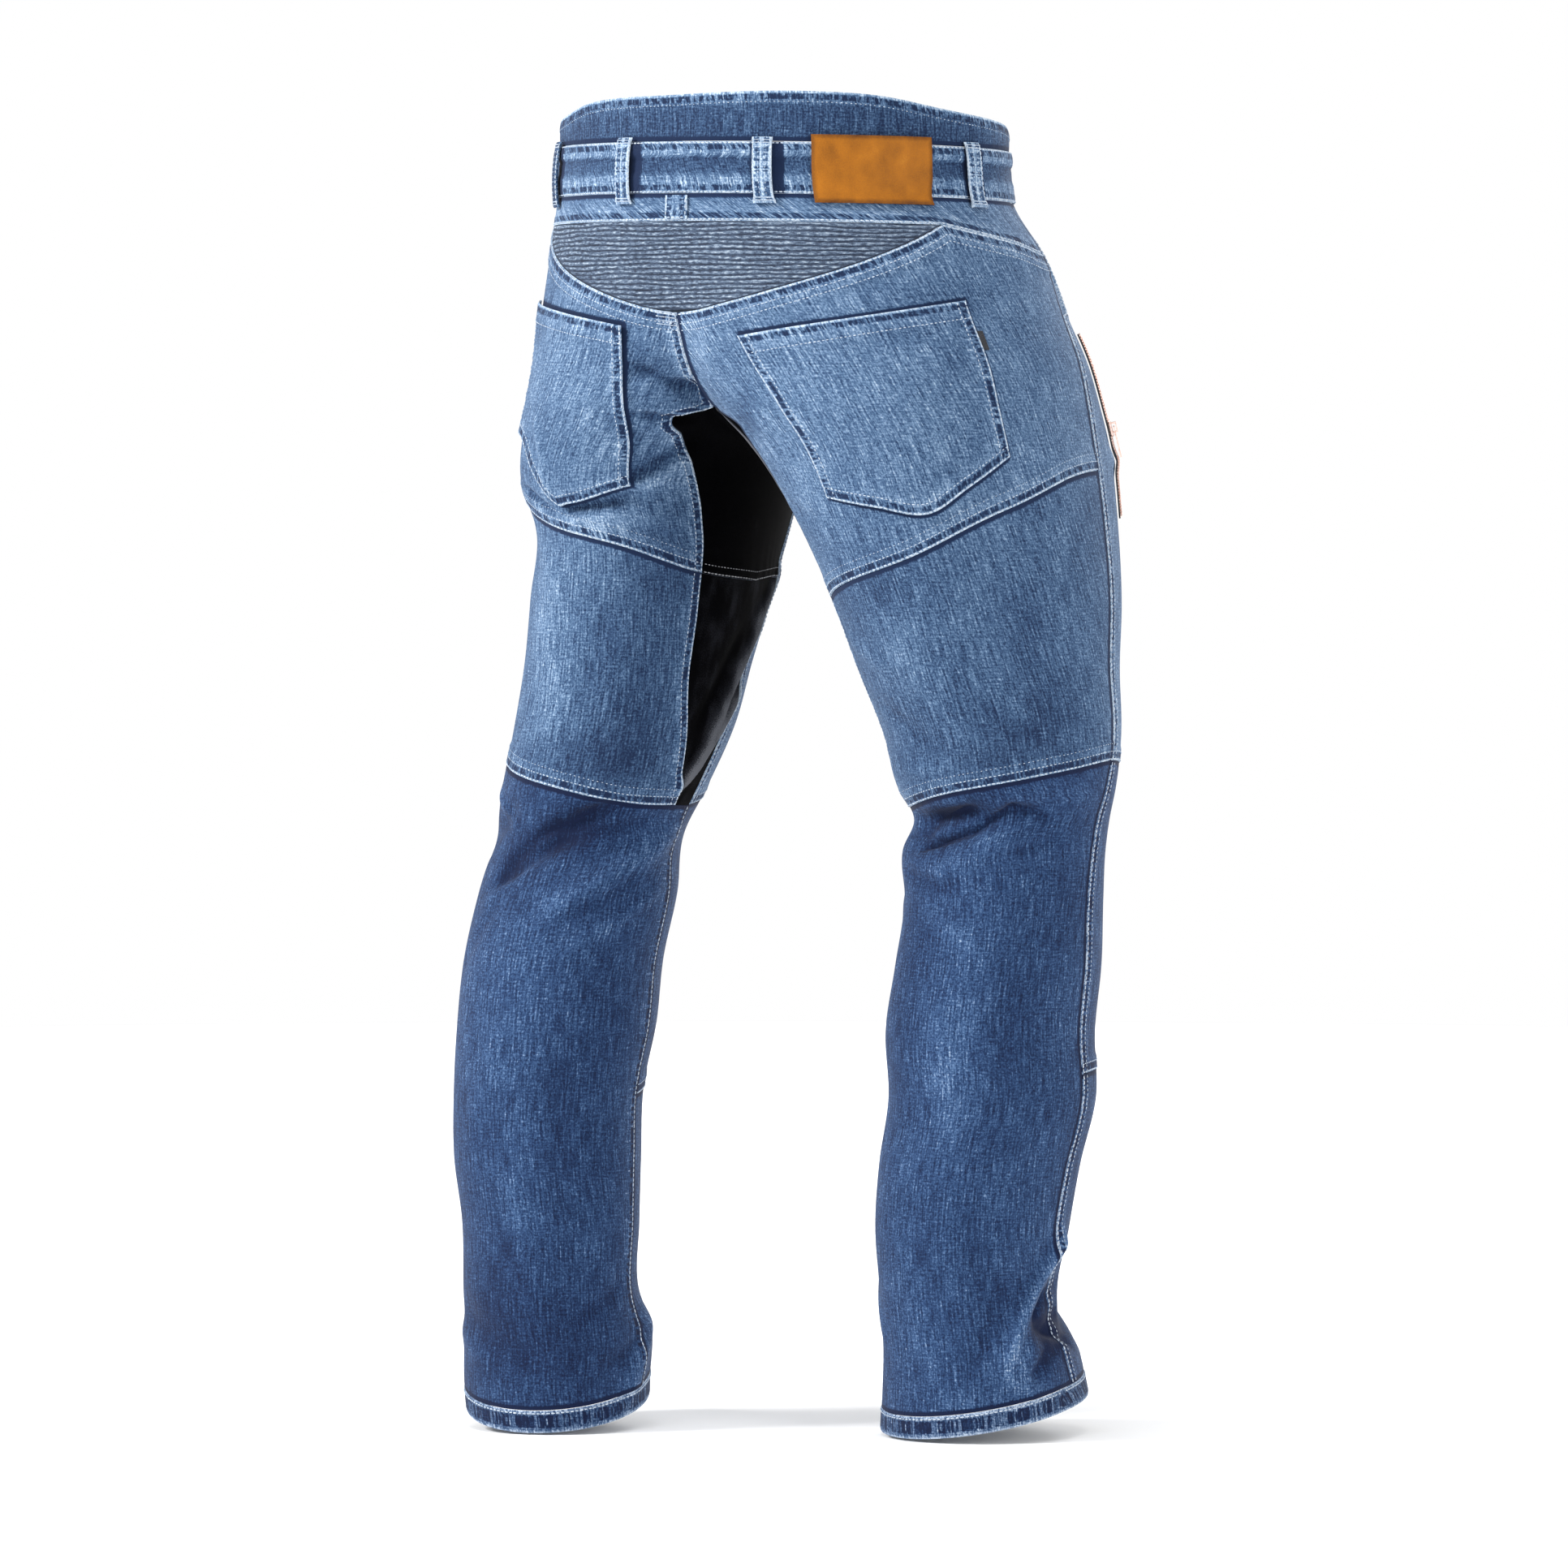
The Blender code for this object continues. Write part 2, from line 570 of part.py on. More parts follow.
def add_wall(name, grids, cloth, closed=False):
    """Builds a closed wall from two matching point grids, open or closed round its columns."""
    outer, inner = grids
    rows, columns = outer.shape[:2]
    bm = bmesh.new()
    skins = [[[bm.verts.new(point) for point in row] for row in grid] for grid in (outer, inner)]
    last = columns if closed else columns - 1
    for skin in skins:
        for i in range(rows - 1):
            for j in range(last):
                k = (j + 1) % columns
                bm.faces.new([skin[i][j], skin[i + 1][j], skin[i + 1][k], skin[i][k]])
    rims = [[(0, j) for j in range(columns)], [(rows - 1, j) for j in range(columns)]]
    if closed:
        rims = [rim + rim[:1] for rim in rims]
    else:
        rims += [[(i, 0) for i in range(rows)], [(i, columns - 1) for i in range(rows)]]
    for rim in rims:
        for (i, j), (m, n) in zip(rim, rim[1:]):
            bm.faces.new([skins[0][i][j], skins[0][m][n], skins[1][m][n], skins[1][i][j]])
    return add_object(name, bm, cloth)


def add_object(name, bm, cloth):
    """Links a mesh as an object with its material, its faces pointing out and shaded smooth."""
    bmesh.ops.recalc_face_normals(bm, faces=bm.faces)
    if bm.calc_volume(signed=True) < 0:
        bmesh.ops.reverse_faces(bm, faces=bm.faces)
    mesh = bpy.data.meshes.new(name)
    bm.to_mesh(mesh)
    bm.free()
    mesh.shade_smooth()
    mesh.set_sharp_from_angle(angle=math.radians(40))
    mesh.materials.append(material_for(cloth))
    piece = bpy.data.objects.new(name, mesh)
    bpy.context.scene.collection.objects.link(piece)
    return piece


def material_for(cloth):
    """One Principled material for each finish."""
    found = bpy.data.materials.get(cloth.name)
    if found:
        return found
    material = bpy.data.materials.new(cloth.name)
    material.use_nodes = True
    shader = material.node_tree.nodes["Principled BSDF"]
    shader.inputs["Base Color"].default_value = (*cloth.colour, 1)
    shader.inputs["Roughness"].default_value = cloth.roughness
    shader.inputs["Metallic"].default_value = cloth.metallic
    return material


def side_name(side):
    """Name of a half."""
    return "left" if side == LEFT else "right"


RIB_CURVE = Curve(RIB_EDGE, "place", "z")
YOKE_CURVE = Curve(YOKE_EDGE, "place", "z")


def seat_top(side):
    """Top seam of the seat: under the yoke at the side, then under the stretch panel."""
    def height(angle):
        z = np.full(np.shape(angle), RIB_TOP)
        for _ in range(TOP_STEPS):
            place = 90 * (1 - angle / middle_angle(z))
            z = np.where(place < RIB_TIP_PLACE, RIB_CURVE(place), YOKE_CURVE(place))
        return z
    return height


def seat_columns(side_edge, top):
    """Column places of the seat, with one at the tip of the stretch panel."""
    start = float(side_edge(top(-15.0)))
    end = float(middle_angle(RIB_EDGE[0].z))
    tip = float(middle_angle(RIB_TOP)) * (1 - RIB_TIP_PLACE / 90)
    share = (tip - start) / (end - start)
    tip = np.linspace(0, share, SEAT_TIP_CELLS + 1)[:-1]
    return np.array([*tip, *np.linspace(share, 1, SEAT_BACK_CELLS + 1)])


def calf_columns(side_edge, gusset_edge, knee, thigh_columns):
    """Column places of the calf: those of the thigh above it, then those of the gusset."""
    start = float(side_edge(knee(-10.0)))
    end = float(gusset_edge(knee(170.0)))
    share = (end - start) / (INSEAM_ANGLE - start)
    return np.array([*thigh_columns * share, *np.linspace(share, 1, GUSSET_CELLS + 1)[1:]])


def hem_bottom(side):
    """Height of the bottom edge of a leg as a function of angle."""
    lowest, middle, dip = HEM_DIP[side]
    return lambda angle: middle - dip * np.cos(np.radians(angle - lowest))


def hem_top(side):
    """Height of the stitched top of the hem as a function of angle."""
    low = hem_bottom(side)
    return lambda angle: low(angle) + HEM_HEIGHT


def flat(z):
    """A level seam."""
    return lambda angle: np.full(np.shape(angle), float(z))


def upright(angle):
    """A seam at one angle."""
    return lambda z: np.full(np.shape(z), float(angle))


def between(high, low, share):
    """A level part of the way from one seam to another."""
    return lambda angle: high(angle) * (1 - share) + low(angle) * share


def gusset_top(angle):
    """Top edge of the gusset: a short seam to the fork, then the middle seam under the body."""
    wrapped = np.where(angle > 180, 360 - angle, angle)
    rim = np.interp(wrapped, (GUSSET_TIP_ANGLE, FORK_ANGLE), (GUSSET_TIP_Z, FORK_Z))
    return np.minimum(rim, centre_height(wrapped))


def build_back(side):
    """Seat, thigh and calf of one leg."""
    suffix = side_name(side)
    side_edge = EdgeLine(SIDE_SEAM)
    gusset_edge = EdgeLine(GUSSET_BACK[side])
    top = seat_top(side)
    cross, knee = SeamLine(CROSS_SEAM[side]), SeamLine(KNEE_SEAM)
    fork, seat = SeamLine(FORK_LEVEL), SeamLine(SEAT_LEVEL)
    columns = seat_columns(side_edge, top)

    def seat_inner(z):
        return np.where(z > FORK_Z, middle_angle(z), np.minimum(middle_angle(z), gusset_edge(z)))

    seat_patch = Patch(side, side_edge, seat_inner, (top, fork, seat, cross), SEAT_ROWS, columns)
    add_wall(f"seat_{suffix}", seat_patch.wall(), LIGHT_DENIM)
    thigh_patch = Patch(side, side_edge, gusset_edge, (cross, knee), THIGH_ROWS, columns)
    add_wall(f"thigh_back_{suffix}", thigh_patch.wall(), LIGHT_DENIM)
    low = hem_top(side)
    calf_patch = Patch(side, side_edge, upright(INSEAM_ANGLE), (knee, between(knee, low, 0.5), low), CALF_ROWS,
                       calf_columns(side_edge, gusset_edge, knee, columns))
    add_wall(f"calf_back_{suffix}", calf_patch.wall(), DARK_DENIM)


def build_gusset(side):
    """Black stretch gusset of one leg, in two pieces."""
    suffix = side_name(side)
    back, front = EdgeLine(GUSSET_BACK[side]), EdgeLine(GUSSET_FRONT)
    cross, knee = SeamLine(CROSS_SEAM[side]), SeamLine(KNEE_SEAM)
    first = between(SeamLine(SEAT_LEVEL), cross, GUSSET_FIRST_ROW)
    upper = Patch(side, back, front, (gusset_top, first, cross), GUSSET_ROWS, GUSSET_COLUMNS,
                  GUSSET_SIDE_GAP, GUSSET_GAP)
    add_wall(f"gusset_upper_{suffix}", upper.wall(), BLACK_STRETCH)
    lower = Patch(side, back, front, (cross, knee), THIGH_ROWS, GUSSET_CELLS, GUSSET_GAP)
    add_wall(f"gusset_lower_{suffix}", lower.wall(), BLACK_STRETCH)


def build_front(side):
    """Front panels of one leg and the facing inside the hip pocket."""
    suffix = side_name(side)
    side_edge, mouth = EdgeLine(SIDE_SEAM), EdgeLine(POCKET_MOUTH)
    gusset_edge = EdgeLine(GUSSET_FRONT, -360)
    hip, fork, seat = SeamLine(HIP_LEVEL), SeamLine(FORK_LEVEL), SeamLine(SEAT_LEVEL)
    cross, knee = SeamLine(CROSS_SEAM[side]), SeamLine(KNEE_SEAM)
    low = hem_top(side)
    shin = between(knee, low, 0.5)

    def inner(z):
        centre = -middle_angle(z)
        return np.where(z > FORK_Z, centre, np.maximum(centre, gusset_edge(z)))

    def outer(z):
        return np.where(z > MOUTH_END_Z, mouth(z), side_edge(z))

    def facing_bottom(angle):
        share = np.interp(angle, FACING_ANGLES, FACING_SHARES)
        return hip(angle) * (1 - share) + fork(angle) * share

    levels = (flat(WAIST_BOTTOM), hip, fork, seat, cross, knee)
    front = Patch(side, inner, outer, levels, FRONT_ROWS, FRONT_COLUMNS)
    grids = front.wall()
    add_wall(f"front_{suffix}", grids, LIGHT_DENIM)
    if side == LEFT:
        build_fly(grids)
    facing = Patch(side, EdgeLine(POCKET_MOUTH, MOUTH_OPENING), side_edge,
                   (flat(WAIST_BOTTOM), hip, facing_bottom), FACING_ROWS, FACING_COLUMNS)
    add_wall(f"hip_facing_{suffix}", facing.wall(sunk=FACING_SUNK), LIGHT_DENIM)
    inseam = upright(INSEAM_ANGLE - 360)
    knee_patch = Patch(side, inseam, side_edge, (knee, shin), SHIN_ROWS, FRONT_COLUMNS)
    add_wall(f"knee_front_{suffix}", knee_patch.wall(), DARK_DENIM)
    shin_patch = Patch(side, inseam, side_edge, (shin, low), SHIN_ROWS, FRONT_COLUMNS)
    add_wall(f"shin_front_{suffix}", shin_patch.wall(), DARK_DENIM)


def build_fly(front_grids):
    """Fly on the left front, cut from that panel's own points and moved out."""
    outer, inner = front_grids
    rows = np.array(FLY_ROWS)
    low = np.minimum(rows.astype(int), len(outer) - 2)
    share = (rows - low)[:, None, None]
    skins = [grid[low] * (1 - share) + grid[low + 1] * share for grid in (outer, inner)]
    outward = (skins[0] - skins[1]) / WALL
    places = np.array(FLY_WIDTHS)[:, None] * np.linspace(FLY_START, 1, 3)[None, :]
    column = np.minimum(places.astype(int), 1)
    share = (places - column)[..., None]
    row = np.arange(len(rows))[:, None]
    base = skins[0][row, column] * (1 - share) + skins[0][row, column + 1] * share
    normal = outward[row, column] * (1 - share) + outward[row, column + 1] * share
    add_wall("fly", (base + normal * (POCKET_LIE + PATCH_WALL), base + normal * POCKET_LIE), LIGHT_DENIM)


def build_hem(side):
    """Turned-up hem: a thicker ring under the leg panels, its points in line with theirs."""
    side_edge, gusset_edge = EdgeLine(SIDE_SEAM), EdgeLine(GUSSET_BACK[side])
    start = float(side_edge(hem_top(side)(-10.0)))
    shares = calf_columns(side_edge, gusset_edge, SeamLine(KNEE_SEAM), seat_columns(side_edge, seat_top(side)))
    back = start + (INSEAM_ANGLE - start) * shares
    front = np.linspace(INSEAM_ANGLE, start + 360, FRONT_COLUMNS + 1)
    angle = np.concatenate([back[:-1], front[:-1]])[None, :]
    high = hem_top(side)(angle) - HALF_GAP
    low = hem_bottom(side)(angle)
    z = np.vstack([high, (high + low) / 2, low])
    angle = np.broadcast_to(angle, z.shape)
    outer = surface(side, angle, z)
    inner = outer - normal_of(surface, side, angle, z) * HEM_WALL
    add_wall(f"hem_{side_name(side)}", (outer, inner), DARK_DENIM, closed=True)


def build_back_pocket(side):
    """Patch pocket on the seat."""
    shape = BACK_POCKET[side]
    pocket = Patch(side, EdgeLine(shape.outer), EdgeLine(shape.inner),
                   (SeamLine(shape.top), SeamLine(shape.bottom)), (8,), 10)
    add_wall(f"back_pocket_{side_name(side)}", pocket.laid(POCKET_LIE, POCKET_WALL), LIGHT_DENIM)


def build_yoke():
    """Plain strip under the waistband, deeper at both ends."""
    side_edge = EdgeLine(SIDE_SEAM)
    first = np.linspace(0, 1, YOKE_SIDE_CELLS + 1)
    middle = np.linspace(1, 2, YOKE_BACK_CELLS + 1)
    shares = np.array([*first[:-1], *middle[:-1], *(first + 2)])
    end_z = (WAIST_BOTTOM, (WAIST_BOTTOM + YOKE_EDGE[-1].z) / 2, YOKE_EDGE[-1].z)
    rows = []
    for row, z_end in enumerate(end_z):
        reach = 90 * (1 - float(side_edge(z_end)) / float(middle_angle(z_end))) - YOKE_SIDE_GAP
        place = np.interp(shares, (0, 1, 2, 3), (-reach, -RIB_TIP_PLACE, RIB_TIP_PLACE, reach))
        low = np.where(np.abs(place) < RIB_TIP_PLACE, RIB_TOP, YOKE_CURVE(np.abs(place)))
        z = (WAIST_BOTTOM - YOKE_TOP_GAP) * (1 - row / 2) + (low + HALF_GAP) * row / 2
        rows.append((place, z))
    places, heights = (np.array(values) for values in zip(*rows))
    add_wall("yoke", around_wall(places, heights, -WALL, WALL), LIGHT_DENIM)


def build_ribbed_panel():
    """Accordion stretch panel: ribs raised in the outer skin over a plain inner skin."""
    z = np.linspace(RIB_TOP - HALF_GAP, RIB_END, 2 * RIB_COUNT + 1)[:, None]
    edge_places = np.linspace(0, RIB_TIP_PLACE, 200)
    reach = np.interp(z, RIB_CURVE(edge_places), edge_places) - RIB_SIDE_GAP
    places = reach * np.linspace(-1, 1, RIB_COLUMNS + 1)[None, :]
    heights = np.broadcast_to(z, places.shape)
    ridge = (np.arange(2 * RIB_COUNT + 1) % 2)[:, None] * RIB_HEIGHT
    outer = around_point(places, heights, ridge - RIB_HEIGHT / 2)
    inner = around_point(places, heights, np.full(places.shape, -WALL - RIB_HEIGHT / 2))
    add_wall("ribbed_panel", (outer, inner), RIB_DENIM)


def build_waistband():
    """Waistband in two puffed halves, slit beside the button, and the raised band above it at the back."""
    places = np.linspace(SLIT_PLACE - 360, SLIT_PLACE, WAIST_COLUMNS + 1)
    places[0] += SLIT_HALF_GAP
    places[-1] -= SLIT_HALF_GAP
    share = np.array(PUFF_ROWS)[:, None]
    z = (WAIST_TOP - HALF_GAP) * (1 - share) + (WAIST_BOTTOM + HALF_GAP) * share
    rise = np.broadcast_to(np.array(PUFF_RISES)[:, None], (len(PUFF_ROWS), places.size))
    places, z = np.broadcast_arrays(places[None, :], z)
    outer = around_point(places, z, rise)
    inner = around_point(places, z, np.full(z.shape, -WAIST_WALL))
    add_wall("waistband", (outer, inner), LIGHT_DENIM)

    ends = BAND_TOP[0].place, BAND_TOP[-1].place
    places = np.linspace(*ends, BAND_COLUMNS + 1)[None, :]
    top = Curve(BAND_TOP, "place", "z")(places)
    share = np.linspace(0, 1, 4)[:, None]
    z = top * (1 - share) + (WAIST_TOP + HALF_GAP) * share
    puff = BAND_PUFF * np.sin(np.pi * share) - BAND_SUNK
    places, z, puff = np.broadcast_arrays(places, z, puff)
    outer = around_point(places, z, puff)
    inner = around_point(places, z, np.full(z.shape, -BAND_SUNK - WALL))
    add_wall("kidney_band", (outer, inner), LIGHT_DENIM)


def build_belt_loops():
    """Loops that stand off the waistband between their stitched feet."""
    share = np.linspace(0, 1, 9)[:, None]
    z = LOOP_TOP * (1 - share) + LOOP_BOTTOM * share
    stand = LOOP_LIE + LOOP_STAND * np.sin(np.pi * share) ** 0.5
    for name, place in LOOP_PLACES.items():
        centre = around_point(place, 0.0)
        beside = around_point(place + 1, 0.0)
        half = LOOP_WIDTH / 2 / np.linalg.norm(beside - centre)
        places = place + half * np.array([-1.0, 0.0, 1.0])[None, :]
        grid = np.broadcast_arrays(places, z, stand)
        add_wall(f"belt_loop_{name}", around_wall(*grid, LOOP_WALL), LIGHT_DENIM)


def build_laid_pieces():
    """Leather patch and the two small tabs."""
    places = np.linspace(*PATCH_PLACES, 7)[None, :]
    z = np.linspace(*PATCH_HEIGHTS, 5)[:, None]
    stand = np.full((5, 7), PATCH_STAND)
    add_wall("leather_patch", around_wall(*np.broadcast_arrays(places, z, stand), PATCH_WALL), TAN_LEATHER)

    places = np.linspace(*BACK_TAB_PLACES, 3)[None, :]
    z = np.linspace(*BACK_TAB_HEIGHTS, 3)[:, None]
    stand = np.full((3, 3), LIE_GAP)
    add_wall("back_tab", around_wall(*np.broadcast_arrays(places, z, stand), PATCH_WALL), LIGHT_DENIM)

    tab = Patch(RIGHT, upright(TAB_ANGLES[0]), upright(TAB_ANGLES[1]),
                (flat(TAB_HEIGHTS[0]), flat(TAB_HEIGHTS[1])), (2,), 1)
    add_wall("pocket_tab", tab.laid(LIE_GAP, PATCH_WALL), BLACK_TAPE)


def frame_at(point, outward, up):
    """Matrix with +Y outward, +Z up along the surface and +X across it."""
    y = Vector(outward).normalized()
    x = y.cross(Vector(up)).normalized()
    z = x.cross(y)
    return Matrix.Translation(Vector(point)) @ Matrix((x, y, z)).transposed().to_4x4()


def build_button():
    """Domed waist button at the front."""
    waist_z = (WAIST_TOP + WAIST_BOTTOM) / 2
    stand = max(PUFF_RISES) + SEAM_GAP
    seat = around_point(BUTTON_PLACE, waist_z, stand)
    outward = around_point(BUTTON_PLACE, waist_z, 2 * stand) - seat
    bm = bmesh.new()
    bmesh.ops.create_cone(bm, cap_ends=True, segments=20, radius1=BUTTON_RADIUS, radius2=BUTTON_RADIUS,
                          depth=BUTTON_WALL, matrix=Matrix.Translation((0, 0, BUTTON_WALL / 2)))
    rim = [edge for edge in bm.edges if all(vert.co.z > BUTTON_WALL / 2 for vert in edge.verts)]
    bmesh.ops.bevel(bm, geom=rim, offset=BUTTON_BEVEL, segments=2, affect="EDGES")
    button = add_object("waist_button", bm, COPPER)
    button.matrix_world = frame_at(seat, outward, (0, 0, 1)) @ Matrix.Rotation(-math.pi / 2, 4, "X")


def window_frame(width, height, thick, window_width, window_height, window_top):
    """Plate in X and Z with a window, its top edge window_top above the window."""
    xs = (-width / 2, -window_width / 2, window_width / 2, width / 2)
    zs = (window_top, 0, -window_height, window_top - height)
    bm = bmesh.new()
    grid = [[bm.verts.new((x, -thick / 2, z)) for x in xs] for z in zs]
    faces = []
    for i in range(3):
        for j in range(3):
            if (i, j) != (1, 1):
                faces.append(bm.faces.new([grid[i][j], grid[i][j + 1], grid[i + 1][j + 1], grid[i + 1][j]]))
    moved = bmesh.ops.extrude_face_region(bm, geom=faces, use_keep_orig=True)["geom"]
    verts = [item for item in moved if isinstance(item, bmesh.types.BMVert)]
    bmesh.ops.translate(bm, verts=verts, vec=(0, thick, 0))
    return bm


def slider_frame():
    """Matrix of the slider's seat on the zip."""
    line = Curve(ZIP_LINE, "z", "angle")
    angle = float(line(SLIDER_Z))
    point = surface(RIGHT, np.array(angle), np.array(SLIDER_Z))
    outward = normal_of(surface, RIGHT, np.array(angle), np.array(SLIDER_Z))
    high, low = SLIDER_Z + SLIDER_LEVEL_STEP, SLIDER_Z - SLIDER_LEVEL_STEP
    up = surface(RIGHT, line(high), high) - surface(RIGHT, line(low), low)
    seat = point + outward * (ZIP_LIE + ZIP_WALL + SEAM_GAP)
    return frame_at(seat, outward, up)


def build_zip():
    """Zip strip, its slider with a bridge, and the pull tab that hangs on the bridge."""
    line = Curve(ZIP_LINE, "z", "angle")

    def edge(way):
        return lambda z: line(z) + way * ZIP_HALF_WIDTH / metre_per_degree(RIGHT, line(z), z)

    strip = Patch(RIGHT, edge(-1), edge(1), (flat(ZIP_LINE[0].z), flat(ZIP_LINE[-1].z)), (ZIP_CELLS,), 2)
    add_wall("zip_strip", strip.laid(ZIP_LIE, ZIP_WALL), BLACK_TAPE)

    seat = slider_frame()
    width, body_height, length = SLIDER_SIZE
    bm = bmesh.new()
    bmesh.ops.create_cube(bm, size=1.0)
    bmesh.ops.scale(bm, vec=(width, body_height, length), verts=bm.verts)
    bmesh.ops.translate(bm, vec=(0, body_height / 2, 0), verts=bm.verts)
    bmesh.ops.bevel(bm, geom=bm.edges[:], offset=SLIDER_BEVEL, segments=1, affect="EDGES")
    slider = add_object("zip_slider", bm, COPPER)
    slider.matrix_world = seat

    outer_height = EYE_HEIGHT + 2 * BRIDGE_WALL
    bridge_mesh = window_frame(BRIDGE_LENGTH, outer_height, BRIDGE_WIDTH, BRIDGE_LENGTH - 2 * BRIDGE_WALL,
                               EYE_HEIGHT, BRIDGE_WALL)
    bridge = add_object("zip_bridge", bridge_mesh, COPPER)
    turned = Matrix.Rotation(-math.pi / 2, 4, "X") @ Matrix.Rotation(math.pi / 2, 4, "Z")
    bridge_top = Matrix.Translation((0, body_height + EYE_HEIGHT, 0))
    bridge.matrix_world = seat @ bridge_top @ turned
    bridge.hide_render = True
    bridge.display_type = "WIRE"
    join = slider.modifiers.new("bridge", "BOOLEAN")
    join.operation = "UNION"
    join.object = bridge

    pull_mesh = window_frame(PULL_WIDTH, PULL_LENGTH, PULL_WALL, PULL_WINDOW_WIDTH, PULL_WINDOW_LENGTH, PULL_BAR)
    bmesh.ops.translate(pull_mesh, vec=(0, 0, -PULL_BAR / 2), verts=pull_mesh.verts)
    pull = add_object("zip_pull", pull_mesh, COPPER)
    pull.matrix_world = seat @ Matrix.Translation((0, body_height + EYE_HEIGHT / 2, 0))


def main():
    """Builds the trousers."""
    for piece in list(bpy.data.objects):
        bpy.data.objects.remove(piece)
    for side in (LEFT, RIGHT):
        build_back(side)
        build_gusset(side)
        build_front(side)
        build_hem(side)
        build_back_pocket(side)
    build_yoke()
    build_ribbed_panel()
    build_waistband()
    build_belt_loops()
    build_laid_pieces()
    build_button()
    build_zip()


main()
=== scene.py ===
"""Looks of the motorcycle trousers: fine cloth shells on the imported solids, their sewing, zip and finishes.

Metres, +Z up. The front faces -Y and the wearer's left is +X. A place on a leg is an angle round it, 0 at the
outer side, 90 at the back, 180 at the inseam and -90 at the front, and a height. A place at the waist is an
angle from the middle of the back, positive to the wearer's left, and a height.
"""

from __future__ import annotations

import logging
import math
from dataclasses import dataclass, field
from enum import Enum, IntEnum
from typing import Callable, NamedTuple, Sequence

import bpy
import numpy as np
from mathutils import Matrix, Vector


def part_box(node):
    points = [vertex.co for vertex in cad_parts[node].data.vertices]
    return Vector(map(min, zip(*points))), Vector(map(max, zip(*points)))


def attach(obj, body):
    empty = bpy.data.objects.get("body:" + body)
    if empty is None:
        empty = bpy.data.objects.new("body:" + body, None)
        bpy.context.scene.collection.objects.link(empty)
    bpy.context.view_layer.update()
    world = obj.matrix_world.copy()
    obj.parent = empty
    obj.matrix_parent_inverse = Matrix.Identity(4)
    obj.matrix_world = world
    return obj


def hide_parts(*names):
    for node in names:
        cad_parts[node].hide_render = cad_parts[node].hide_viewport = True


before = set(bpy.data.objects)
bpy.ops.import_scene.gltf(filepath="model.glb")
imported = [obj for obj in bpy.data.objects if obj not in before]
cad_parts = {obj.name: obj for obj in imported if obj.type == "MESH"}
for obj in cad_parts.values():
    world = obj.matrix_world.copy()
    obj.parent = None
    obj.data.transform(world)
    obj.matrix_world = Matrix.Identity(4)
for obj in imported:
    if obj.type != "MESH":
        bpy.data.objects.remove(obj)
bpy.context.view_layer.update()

LOG = logging.getLogger("trousers")
BODY = "trousers"
Array = np.ndarray
Pair = tuple[Array, Array]
Line = Callable[[Array], Array]
Triple = tuple[float, float, float]
Colour = Triple
Piece = bpy.types.Object

WALL = 0.0015
SEAM_GAP = 0.0003
HALF_GAP = SEAM_GAP / 2
GUSSET_GAP = 0.0005
CELL = 0.0030
WAIST_TOP = 0.018
WAIST_BOTTOM = -0.021
CROTCH_Z = -0.205
WAIST_TILT = 0.035
TILT_ENDS_Z = (-0.150, -0.040)
CLEFT_WIDTH = 0.055
TURN_FADE = 0.05
HEM_HEIGHT = 0.017
NARROWEST_CUT = 0.0101
FLY_START = 0.0004
SOLVE_STEPS = 30
SEAT_TOP_STEPS = 16
FAR = 0.5
HIP_RADIUS = 0.150
LEG_RADIUS = 0.080
TURN_STEP = 0.4
DROP_STEP = 0.0008
NEAR_EDGE = (0.0, 0.0006, 0.0018, 0.0042, 0.0072, 0.0100, 0.0128, 0.0156)
ALLOWANCE_SLOPE = 0.0025
ROLL_DEPTH = 0.00055
ROLL_WIDTH = 0.0016
PUCKER_START = 0.006
PUCKER_REACH = 0.012
PUCKER_LENGTHS = (0.0112, 0.067, 0.091)
STITCH_JITTER = 0.00012
STITCH_LIFT = 0.28
AHEAD = 0.0004
WELD = 1e-6
SMOOTH_ANGLE = math.radians(55)
HARD_ANGLE = math.radians(40)


class Side(IntEnum):
    """Which half of the garment, by the sign of its X."""

    LEFT = 1
    RIGHT = -1


LEFT = Side.LEFT
RIGHT = Side.RIGHT


class Rim(Enum):
    """An edge of a cloth piece."""

    LEFT = "left"
    RIGHT = "right"
    TOP = "top"
    BOTTOM = "bottom"


class Section(NamedTuple):
    """One ring: half width at the side, how far the legs have parted, places on Y, and toe-out."""

    z: float
    outer: float
    split: float
    mid: float
    front: float
    back: float
    turn: float


class Seam(NamedTuple):
    """A point of a seam that runs round the leg."""

    angle: float
    z: float


class Edge(NamedTuple):
    """A point of a seam that runs down the leg."""

    z: float
    angle: float


class Station(NamedTuple):
    """A height at a place round the waist."""

    place: float
    z: float


class Fold(NamedTuple):
    """A soft ridge, or a trough where rise is negative, from one place on a leg to another."""

    side: int
    angle_a: float
    z_a: float
    angle_b: float
    z_b: float
    width: float
    rise: float


class FadeAndShade(NamedTuple):
    """A washed-out area, or a dark one where amount is negative; the table holds painted shade and a painted
    highlight too.
    """

    side: int
    angle: float
    z: float
    spread_angle: float
    spread_z: float
    amount: float


class PocketShape(NamedTuple):
    """Seams of one back pocket."""

    top: tuple[Seam, ...]
    bottom: tuple[Seam, ...]
    outer: tuple[Edge, ...]
    inner: tuple[Edge, ...]


